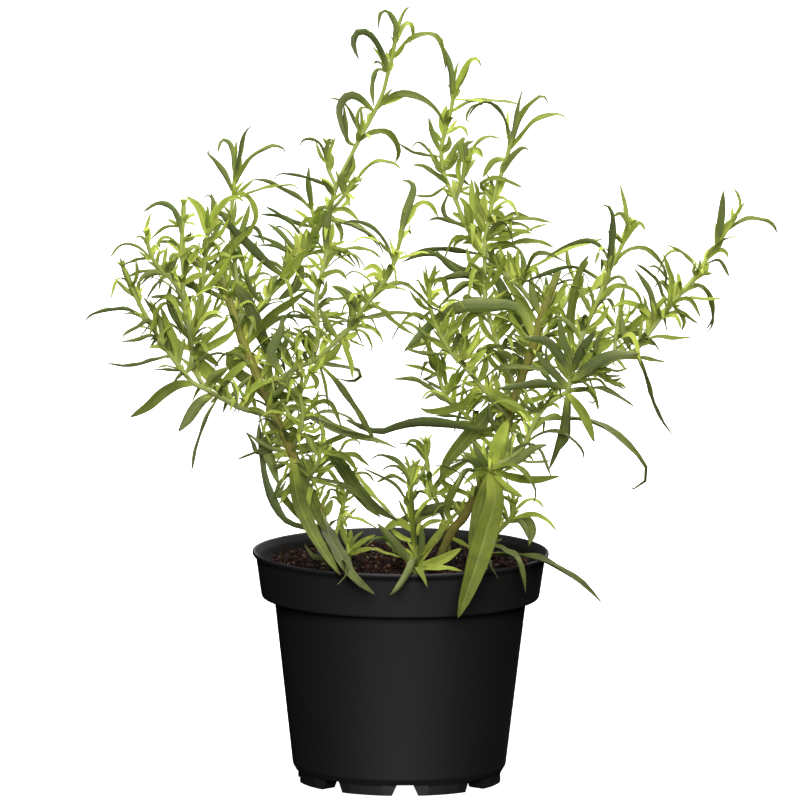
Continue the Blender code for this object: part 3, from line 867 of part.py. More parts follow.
def nearest_on_sheet(path, place):
    """The point of a path that looks nearest to a place on the sheet."""
    up = path[:, 2] * math.cos(SHEET_TILT) + path[:, 1] * math.sin(SHEET_TILT)
    return path[np.argmin((path[:, 0] - place[0])**2 + (up - place[1])**2)]


def leaf_path(places, shoot, lean):
    """A leaf's midrib in space. Where no away value is given, it leans out of the sheet by lean
    times its length, less towards the tip."""
    root = nearest_on_sheet(shoot, places[0])
    flat = np.array([place[:2] for place in places], dtype=float)
    along = running_length(flat)
    if given_depth(places):
        away = fill_away(places, root[1])
    else:
        away = root[1] + lean * along * (1 - 0.35 * along / along[-1])
    points = sheet_to_space(flat[:, 0], flat[:, 1], away)
    points[0] = root
    return smooth(points, MIDRIB_STEPS + 1)


def given_depth(places):
    """Whether a leaf's own places say how far away they are."""
    return any(len(place) == 3 for place in places[1:])


def lance(t):
    """A narrow leaf's half outline: a slim base, widest before the middle, a drawn-out tip."""
    return 0.94 * np.sin(math.pi * t**0.8)**0.85 + 0.28 * (1 - t)**3


def blade_frame(leaf):
    """Across and upper-side directions along a midrib. At no turn the blade faces the leaf's
    facing direction, and a turn swings it about its midrib."""
    ahead = np.gradient(leaf["midrib"], axis=0)
    ahead /= np.linalg.norm(ahead, axis=1)[:, None]
    flat = np.cross(ahead, leaf["facing"])
    flat = flat + 0.3 * flat.mean(axis=0)
    flat -= np.sum(flat * ahead, axis=1)[:, None] * ahead
    flat /= np.linalg.norm(flat, axis=1)[:, None] + 1e-9
    deep = np.cross(ahead, flat)
    turn = leaf["turn"][:, None]
    side = np.cos(turn) * flat + np.sin(turn) * deep
    upper = np.cross(ahead, side)
    if upper[:, 2].mean() < 0:
        side, upper = -side, -upper
    return side, upper


def traced_leaf(stroke, shoot, index, lean):
    """A leaf of the sheet: its real width follows its length, and it is turned about its midrib
    until it looks as wide as it is drawn."""
    seen = stroke[0]
    midrib = leaf_path(stroke[1:], shoot, lean)
    length = running_length(midrib)[-1]
    width = max(seen, LEAST_WIDTH, WIDTH_PER_LENGTH * length + WIDTH_BASE)
    turn = -math.acos(min(1.0, seen / width))
    twist = TWIST * math.sin(index * 2.1 + length)
    t = np.linspace(0, 1, len(midrib))
    return {"midrib": midrib, "width": width, "facing": VIEW, "turn": turn + twist * (t - 0.45)}


def knot_leaves(name, path, first):
    """Leaves that the sheet can't show, as they point towards the viewer or away: one at each knot
    whose turn round the shoot lies that way, shorter towards the tip."""
    leaves = []
    along = running_length(path)
    draw = np.random.default_rng(sum(map(ord, name)))
    for k in range(int((along[-1] - first) / KNOT_STEP)):
        distance = first + k * KNOT_STEP
        angle = k * KNOT_TURN + len(name)
        length = (KNOT_LEAF_LONG - KNOT_LEAF_SHORTER * distance / along[-1]) * draw.uniform(0.75, 1.1)
        droop = draw.uniform(-0.35, 0.35)
        if abs(math.sin(angle)) < SIDEWAYS:
            continue
        root = path[np.searchsorted(along, distance)]
        out = np.array([0.8 * math.cos(angle), math.sin(angle), 0.0])
        out /= np.linalg.norm(out)
        rise = 0.75 * UP
        midrib = smooth([root,
                         root + length * (0.35 * out + 0.35 * rise),
                         root + length * (0.70 * out + (0.52 + 0.2 * droop) * rise),
                         root + length * (0.98 * out + (0.50 + droop) * rise)], MIDRIB_STEPS + 1)
        turn = np.full(len(midrib), draw.uniform(-0.5, 0.5))
        leaves.append({"midrib": midrib, "width": 1.1 + 0.085 * length, "facing": UP, "turn": turn})
    return leaves


def swung(leaf):
    """The same leaf swung round its shoot by a few steps."""
    options = []
    root = leaf["midrib"][0]
    for step in LEAN_STEPS:
        cos, sin = math.cos(step), math.sin(step)
        swing = np.array([[cos, -sin, 0], [sin, cos, 0], [0, 0, 1]])
        options.append({**leaf, "midrib": root + (leaf["midrib"] - root) @ swing.T})
    return options


def balls_on_leaf(leaf):
    """Balls that cover a blade, as centres and radii."""
    side, upper = blade_frame(leaf)
    pick = np.arange(0, MIDRIB_STEPS + 1, 2)
    half = 0.5 * leaf["width"] * lance(pick / MIDRIB_STEPS)
    across = half[:, None] * np.array([-0.72, 0.0, 0.72])
    centres = leaf["midrib"][pick][:, None] + side[pick][:, None] * across[..., None]
    radii = np.repeat(half[:, None] * 0.34 + 0.42, 3, axis=1)
    return centres.reshape(-1, 3), radii.reshape(-1)


def pot_trouble(centres, radii):
    """How deep balls sink into the pot's wall and lip, or into the soil."""
    wall_radius, wall_z = np.array(pot_outside()[5:]).T
    reach = np.hypot(centres[:, 0], centres[:, 1])
    height = centres[:, 2]
    outer = np.interp(height, wall_z, wall_radius) + radii + CLEAR_GAP
    inner = outer - 2 * (WALL + radii + CLEAR_GAP)
    low = height < LIP_CLEAR_Z + radii
    wall = np.where(low & (reach > inner) & (reach < outer), np.minimum(outer - reach, reach - inner), 0)
    soil = np.where((reach <= inner) & (height < SOIL_CLEAR_Z + radii), SOIL_CLEAR_Z + radii - height, 0)
    return float(wall.sum() + soil.sum())


def overlap_depth(centres, radii, others, gap):
    """The sum of how far balls reach into other balls."""
    if others is None or len(centres) == 0:
        return 0.0
    other_centres, other_radii = others
    low, high = centres.min(axis=0) - 8, centres.max(axis=0) + 8
    near = np.all((other_centres > low) & (other_centres < high), axis=1)
    if not near.any():
        return 0.0
    apart = np.linalg.norm(centres[:, None] - other_centres[near][None], axis=2)
    return float(-np.minimum(apart - radii[:, None] - other_radii[near][None] - gap, 0).sum())


def gather(pairs):
    """Join lists of balls into one pair of arrays."""
    if not pairs:
        return None
    return np.concatenate([pair[0] for pair in pairs]), np.concatenate([pair[1] for pair in pairs])


def grow(plants):
    """Place every shoot and leaf. Returns each plant's shoots, as paths and radii, and leaves."""
    paths = {}
    grown = {plant: {"shoots": [], "leaves": []} for plant, shoots in plants}
    for plant, shoots in plants:
        for name, parent, thick, route, strokes in shoots:
            paths[name] = shoot_path(route, paths.get(parent))
            radii = 0.5 * np.linspace(thick[0], thick[1], len(paths[name]))
            grown[plant]["shoots"].append((paths[name], radii))
    leaf_balls = {plant: [] for plant in grown}
    for plant, shoots in plants:
        strangers = gather([(path, radii + 0.15) for other in grown if other != plant
                            for path, radii in grown[other]["shoots"]])
        for name, parent, thick, route, strokes in shoots:
            choices = []
            for index, stroke in enumerate(strokes):
                base = LEAN * math.sin(KNOT_TURN * index + len(name))
                steps = LEAN_STEPS[:1] if given_depth(stroke[1:]) else LEAN_STEPS
                choices.append([traced_leaf(stroke, paths[name], index, base + step) for step in steps])
            first = FIRST_KNOT if parent else FIRST_TRUNK_KNOT
            choices += [swung(leaf) for leaf in knot_leaves(name, paths[name], first)]
            for options in choices:
                leaf = clearest(options, plant, strangers, leaf_balls)
                if leaf:
                    grown[plant]["leaves"].append(leaf)
    return grown


def clearest(options, plant, strangers, leaf_balls):
    """The clearest of a leaf's options, or none if each one touches the pot, the soil or another
    plant. Crossing a leaf of its own plant is allowed, and avoided where it can be."""
    foreign = gather([pair for other in leaf_balls if other != plant for pair in leaf_balls[other]])
    own = gather(leaf_balls[plant])
    best = None
    for leaf in options:
        centres, radii = balls_on_leaf(leaf)
        blocked = (pot_trouble(centres[3:], radii[3:])
                   + overlap_depth(centres, radii, strangers, CLEAR_GAP)
                   + overlap_depth(centres, radii, foreign, CLEAR_GAP))
        far = np.linalg.norm(centres - leaf["midrib"][0], axis=1) > ROOT_ZONE
        crossed = overlap_depth(centres[far], radii[far], own, 0.0)
        score = (blocked > 0, blocked + crossed)
        if best is None or score < best[0]:
            best = (score, leaf, (centres, radii))
        if score == (False, 0.0):
            break
    score, leaf, balls = best
    if score[0]:
        return None
    leaf_balls[plant].append(balls)
    return leaf


def tube(name, path, radii, sides):
    """A closed round shoot along a path, in triangles, with flat ends."""
    count = max(3, int(round(running_length(path)[-1] / SHOOT_STEP)) + 1)
    pick = np.linspace(0, len(path) - 1, count).round().astype(int)
    ahead = np.gradient(path, axis=0)[pick]
    ahead /= np.linalg.norm(ahead, axis=1)[:, None]
    side = np.cross(ahead, (0.0, 1.0, 0.0))
    side /= np.linalg.norm(side, axis=1)[:, None]
    deep = np.cross(ahead, side)
    angle = np.arange(sides) * 2 * math.pi / sides
    ring = np.cos(angle)[None, :, None] * side[:, None] + np.sin(angle)[None, :, None] * deep[:, None]
    wide = np.maximum(radii[pick], 0.5 * LEAST_SHOOT)
    points = path[pick][:, None] + ring * wide[:, None, None]
    return mesh_object(name, points.reshape(-1, 3), tube_faces(count, sides, 0))


def tube_faces(count, sides, flat_bands):
    """Triangles round a tube of count rings, with both ends closed. Its first bands, where they
    are flat-sided, stay in quads."""
    faces = []
    for k in range(count - 1):
        for j in range(sides):
            a = k * sides + j
            b = k * sides + (j + 1) % sides
            if k < flat_bands:
                faces.append((a, b, b + sides, a + sides))
            else:
                faces.append((a, b, b + sides))
                faces.append((a, b + sides, a + sides))
    last = (count - 1) * sides
    faces += [(0, j + 1, j) for j in range(1, sides - 1)]
    faces += [(last, last + j, last + j + 1) for j in range(1, sides - 1)]
    return faces


def blade(name, leaf):
    """A leaf as a long three-sided solid: flat above, keeled below, with a point at its tip. Its
    foot is a smaller copy of the next section, so its first faces are flat and join the stem in
    few triangles."""
    midrib = leaf["midrib"]
    length = running_length(midrib)[-1]
    bends = np.linalg.norm(np.diff(midrib, 2, axis=0), axis=1).sum() / (length / MIDRIB_STEPS)
    rings = 3 + (length > LONG_LEAF) + sum(bends > limit for limit in CURLED)
    t = np.linspace(0, 1, rings + 1)[:-1]
    pick = np.round(t * MIDRIB_STEPS).astype(int)
    half = np.maximum(0.5 * leaf["width"] * lance(t), LEAST_HALF)
    depth = np.interp(t, (0, 0.3, 1), (BLADE_DEPTH, BLADE_DEPTH, TIP_DEPTH))
    half[0] = FOOT_SHARE * half[1]
    depth[0] = FOOT_SHARE * depth[1]
    side, upper = (direction[pick] for direction in blade_frame(leaf))
    side[0], upper[0] = side[1], upper[1]
    middle = midrib[pick]
    left = middle + side * half[:, None]
    right = middle - side * half[:, None]
    keel = middle - upper * depth[:, None]
    points = np.stack([left, right, keel], axis=1).reshape(-1, 3)
    tip = len(points)
    points = np.concatenate([points, midrib[-1:]])
    faces = tube_faces(rings, 3, 1)[:-1]
    faces += [(tip - 3, tip - 2, tip), (tip - 2, tip - 1, tip), (tip - 1, tip - 3, tip)]
    return mesh_object(name, points, faces)


def make_plant(name, pieces, finish):
    """One plant: its shoots and its larger leaves joined in a single body. EXACT leaves edges open
    among so many thin blades, so they are joined by MANIFOLD."""
    path, radii = pieces["shoots"][0]
    sides = TRUNK_SIDES if radii[0] > TRUNK_RADIUS else SHOOT_SIDES + 1
    plant = tube(name, path, radii, sides)
    plant.data.materials.append(finish)
    others = [tube("shoot", path, radii, SHOOT_SIDES) for path, radii in pieces["shoots"][1:]]
    others += [blade("leaf", leaf) for leaf in pieces["leaves"]
               if running_length(leaf["midrib"])[-1] > LEAST_LEAF]
    boolean(plant, "UNION", others, "MANIFOLD")
    keep_largest(plant)


def main():
    clear_scene()
    leaf_green = material("leaf_green", *LEAF_GREEN)
    grown = grow(PLANTS)
    make_pot(material("black_plastic", *BLACK_PLASTIC))
    make_soil(material("peat", *PEAT), [grown[plant]["shoots"][0] for plant in grown])
    for plant in grown:
        make_plant(plant, grown[plant], leaf_green)


if __name__ == "__main__":
    main()
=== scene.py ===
# A potted tarragon plant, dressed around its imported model.
#
# Lengths are millimetres until a mesh is made, where they become metres. +Z is up, and the
# origin is at the middle of the pot's foot, on the surface that it stands on.
# The plant is laid out on an upright sheet that faces the viewer, who looks along +Y and a
# little down. A place on the sheet is (across, up), and a third value is how far away it is.

import json
import math

import bpy
import numpy as np
from bpy.props import FloatProperty, FloatVectorProperty, IntProperty, PointerProperty
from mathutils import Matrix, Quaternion, Vector

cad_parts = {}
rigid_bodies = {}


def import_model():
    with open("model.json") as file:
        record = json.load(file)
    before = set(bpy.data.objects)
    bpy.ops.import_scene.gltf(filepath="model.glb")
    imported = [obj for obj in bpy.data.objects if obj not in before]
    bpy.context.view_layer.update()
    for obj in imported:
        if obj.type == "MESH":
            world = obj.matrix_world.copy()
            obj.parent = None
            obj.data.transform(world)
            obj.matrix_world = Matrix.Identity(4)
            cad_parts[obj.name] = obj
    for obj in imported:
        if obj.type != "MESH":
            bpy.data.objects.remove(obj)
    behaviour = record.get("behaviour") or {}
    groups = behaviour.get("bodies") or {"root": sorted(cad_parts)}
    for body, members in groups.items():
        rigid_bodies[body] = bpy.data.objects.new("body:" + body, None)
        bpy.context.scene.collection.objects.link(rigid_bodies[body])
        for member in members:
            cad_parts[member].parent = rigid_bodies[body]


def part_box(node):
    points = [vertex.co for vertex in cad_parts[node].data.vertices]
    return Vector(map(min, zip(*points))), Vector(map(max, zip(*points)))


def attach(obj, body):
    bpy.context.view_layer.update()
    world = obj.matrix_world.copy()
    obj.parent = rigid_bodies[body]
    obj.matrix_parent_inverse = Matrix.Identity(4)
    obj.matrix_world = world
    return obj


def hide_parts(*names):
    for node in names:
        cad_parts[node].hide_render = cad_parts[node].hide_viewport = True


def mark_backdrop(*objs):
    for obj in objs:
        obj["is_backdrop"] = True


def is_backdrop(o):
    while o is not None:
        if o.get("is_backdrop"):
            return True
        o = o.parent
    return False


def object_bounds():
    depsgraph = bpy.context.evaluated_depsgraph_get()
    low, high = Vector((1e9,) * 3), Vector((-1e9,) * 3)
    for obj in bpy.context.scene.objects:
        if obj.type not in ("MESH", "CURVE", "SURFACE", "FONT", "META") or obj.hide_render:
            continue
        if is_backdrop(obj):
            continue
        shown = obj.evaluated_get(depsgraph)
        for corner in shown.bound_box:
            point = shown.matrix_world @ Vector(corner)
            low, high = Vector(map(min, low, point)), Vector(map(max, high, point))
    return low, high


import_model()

bl_info = {
    "name": "Potted tarragon",
    "version": (1, 0, 0),
    "blender": (4, 5, 0),
    "location": "3D View > Sidebar > Tarragon",
    "description": "Makes a tarragon plant in a black nursery pot, with its soil and studio",
    "category": "Object",
}

MM = 0.001
SHEET_TILT = math.radians(8.7)
VIEW = np.array([0.0, math.cos(SHEET_TILT), -math.sin(SHEET_TILT)])
UP = np.array([0.0, 0.0, 1.0])
CAD_LOW, CAD_HIGH = (np.array(corner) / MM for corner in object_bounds())

# The pot, with radii to the outside of its wall
POT_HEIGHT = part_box("pot")[1].z / MM
LIP_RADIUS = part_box("pot")[1].x / MM
LIP_Z = POT_HEIGHT - 1.0
COLLAR_TOP_RADIUS = 63.2
COLLAR_TOP_Z = 98.0
COLLAR_LOW_RADIUS = 60.9
COLLAR_LOW_Z = 80.5
BODY_TOP_RADIUS = 54.6
BODY_TOP_Z = 76.9
BODY_LOW_RADIUS = 46.9
BODY_LOW_Z = 9.0
FOOT_RADIUS = 44.4
FOOT_TOP_Z = 7.2
WALL = 1.3
FLOOR_TOP_Z = 6.9
UNDERSIDE_Z = 5.6
PAD_INNER_RADIUS = 36.4
MIDDLE_PAD_RADIUS = 12.0
NOTCH_COUNT = 8
NOTCH_TURN = math.radians(3.4)
NOTCH_WIDTH = 20.4
NOTCH_HEIGHT = 4.9
NOTCH_DEPTH = 0.6
ARCH = ((5.7, 0.0), (5.2, 1.2), (4.3, 3.2), (3.5, NOTCH_HEIGHT))
DRAIN_RADIUS = 3.2
DRAIN_CENTRE_RADIUS = 31.0
DRAIN_SIDES = 24
CORNER_STEPS = 5

# The finer pot: its foot's face, the slope from there to the body, the collar's lower edge and the
# body's radius under it
FOOT_FACE = 44.9
SLOPE_LOW_Z = 4.3
SLOPE_TOP_Z = 7.3
EDGE_Z = 81.5
EDGE_BODY_RADIUS = 55.2

# The soil
SOIL_TOP_Z = 95.0
SOIL_GAP = 0.35
SOIL_LUMP = 0.45
ROOT_DEPTH = 14.0

# Shoots
ROOT_BITE = 0.45
PATH_STEP = 1.5

# Leaves: a blade's real width follows its length. It leans out of the sheet by LEAN, and further
# by the first of LEAN_STEPS that brings it clear of the others. A LONG, DROOP or AGE is a range, and
# a WIDTH is that of a leaf of no length and how much is added for each unit of length.
LEAST_WIDTH = 1.3
WIDTH_PER_LENGTH = 0.075
WIDTH_BASE = 0.9
TWIST = 0.45
MIDRIB_STEPS = 24
LEAN = 0.5
LEAN_STEPS = (0.0, 0.14, -0.14, 0.28, -0.28, 0.42, -0.42, 0.56, -0.56, 0.75, -0.75)
KNOT_TURN = math.radians(137.5)
KNOT_STEP = 8.5
FIRST_KNOT = 10.0
FIRST_TRUNK_KNOT = 22.0
KNOT_LEAF_LONG = 24.0
KNOT_LEAF_SHORTER = 13.0
SIDEWAYS = 0.72
CLEAR_GAP = 0.35
ROOT_ZONE = 4.0
OLD_LENGTH = 40.0
KNOT_WIDTH = (1.1, 0.085)
FILL_STEP = 6.5
FILL_LOW = 115.0
FILL_HIGH = 240.0
FILL_LONG = (13.0, 27.0)
FILL_DROOP = (-0.60, 0.10)
FILL_AGE = (0.35, 0.75)
FILL_WIDTH = (0.9, 0.055)
AXIL_LONG = (5.0, 13.0)
AXIL_AGE = (0.05, 0.4)
AXIL_WIDTH = (0.7, 0.065)
BUD_COUNT = 6
BUD_LONG = 7.0
BUD_AGE = (0.0, 0.25)
BUD_WIDTH = (0.9, 0.11)
LIP_CLEAR_Z = 102.2
SOIL_CLEAR_Z = 96.6

# The finer leaves: how much wider they are than the solid's, and the places across a blade's upper
# and lower sides, from one margin to the other. Stations lie along it, up to LAST_STATION.
BLADE_EXTRA = 0.3
UPPER_PLACES = np.array([1, 0.55, 0.12, 0, -0.12, -0.55, -1])
LOWER_PLACES = np.array([-1, -0.5, 0, 0.5, 1])
TINY_UPPER_PLACES = np.array([1, 0, -1])
TINY_LOWER_PLACES = np.array([-1, 0, 1])
TINY_STATIONS = 6
LAST_STATION = 0.975

# A blade in section: how much its margins rise, its waves along the leaf, the half width from which
# it has its full thickness, how much thinner the margin is, and the midrib's groove and ridge as
# shares of the half width and of the thickness
FOLD_RANGE = (0.10, 0.45)
FOLD_CURVE = 1.3
FOLD_LEVEL = 0.4
WAVES = (1.5, 3.5)
SIDE_SHIFT = 1.9
FULL_HALF = 1.2
THIN_MARGIN = 0.65
GROOVE_REACH = 0.10
GROOVE_DEPTH = 0.5
RIDGE_REACH = 0.16
RIDGE_HEIGHT = 0.9

# The finer shoots: those under FULL_RADIUS are made fuller. A youth is given for foot and tip.
FULL_RADIUS = 1.3
KNOT_REACH = 1.6
PRUNED_YOUTH = (0.0, 0.5)
SHOOT_YOUTH = (0.55, 1.0)
PRUNED_PLANTS = ("left_stem", "right_stem")

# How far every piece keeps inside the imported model's box, and how far a small leaf does
BOX_INSET = 0.02
BOX_CLEAR = 0.6

# The leaf's pattern: how much of the midrib's, the foot's, the margin's and the dried tip's colour
# shows, and where each one sets in and is full, across or along the leaf. The margin's darker colour
# is painted shade along the leaf's edges. DRY_TONES is the same for the tones of leaves with a dried
# tip. Then how bright the dullest leaf is, and how much brighter the brightest one.
MIDRIB_SHARE = 0.22
MIDRIB_BAND = (0.13, 0.03)
FOOT_SHARE = 0.5
FOOT_BAND = (0.30, 0.02)
MARGIN_SHADE_SHARE = 0.30
MARGIN_SHADE_BAND = (0.82, 1.0)
TIP_SHARE = 0.75
TIP_BAND = (0.90, 1.0)
DRY_TONES = (0.35, 0.75)
VEINS = 17.0
VEIN_SHARE = 0.3
DULLEST = 0.70
BRIGHTER = 0.56
DULL_SHINE = 0.2

# The soil's lumps, as size, share of the height and seed, and its loose parts
LUMPS = ((9.0, 1.0, 1), (4.0, 0.6, 2), (1.8, 0.4, 3), (0.9, 0.25, 4))
LATTICE = 64
SINK_START = 0.93
SINK_DEPTH = 1.2
CRUMB_SEED = 7
CRUMB_MARGIN = 2.2
FIBRE_SEED = 11
FIBRE_POINTS = 9
FIBRE_SIDES = 3

# Edges sharper than these stay sharp
POT_SHARP = math.radians(30)
SHOOT_SHARP = math.radians(50)
SOIL_SHARP = math.radians(60)
LEAF_SHARP = math.radians(65)

# The stage: the sheet's place at the middle of the photo's frame, how far the upright leans to the
# right, the floor, and the lights' size and place in metres
FRAME_MIDDLE = (-0.7, 165.9)
CAMERA_ROLL = math.radians(0.37)
SENSOR = 36.0
WHITE = (1.0, 1.0, 1.0, 1.0)
FLOOR_HALF = 6000.0
FLOOR_Z = -0.05
LIGHTS = {
    "key": (1.6, (0.05, -3.2, 1.5)),
    "top": (1.4, (0.2, 0.3, 2.2)),
    "back": (1.2, (0.6, 2.0, 1.4)),
}

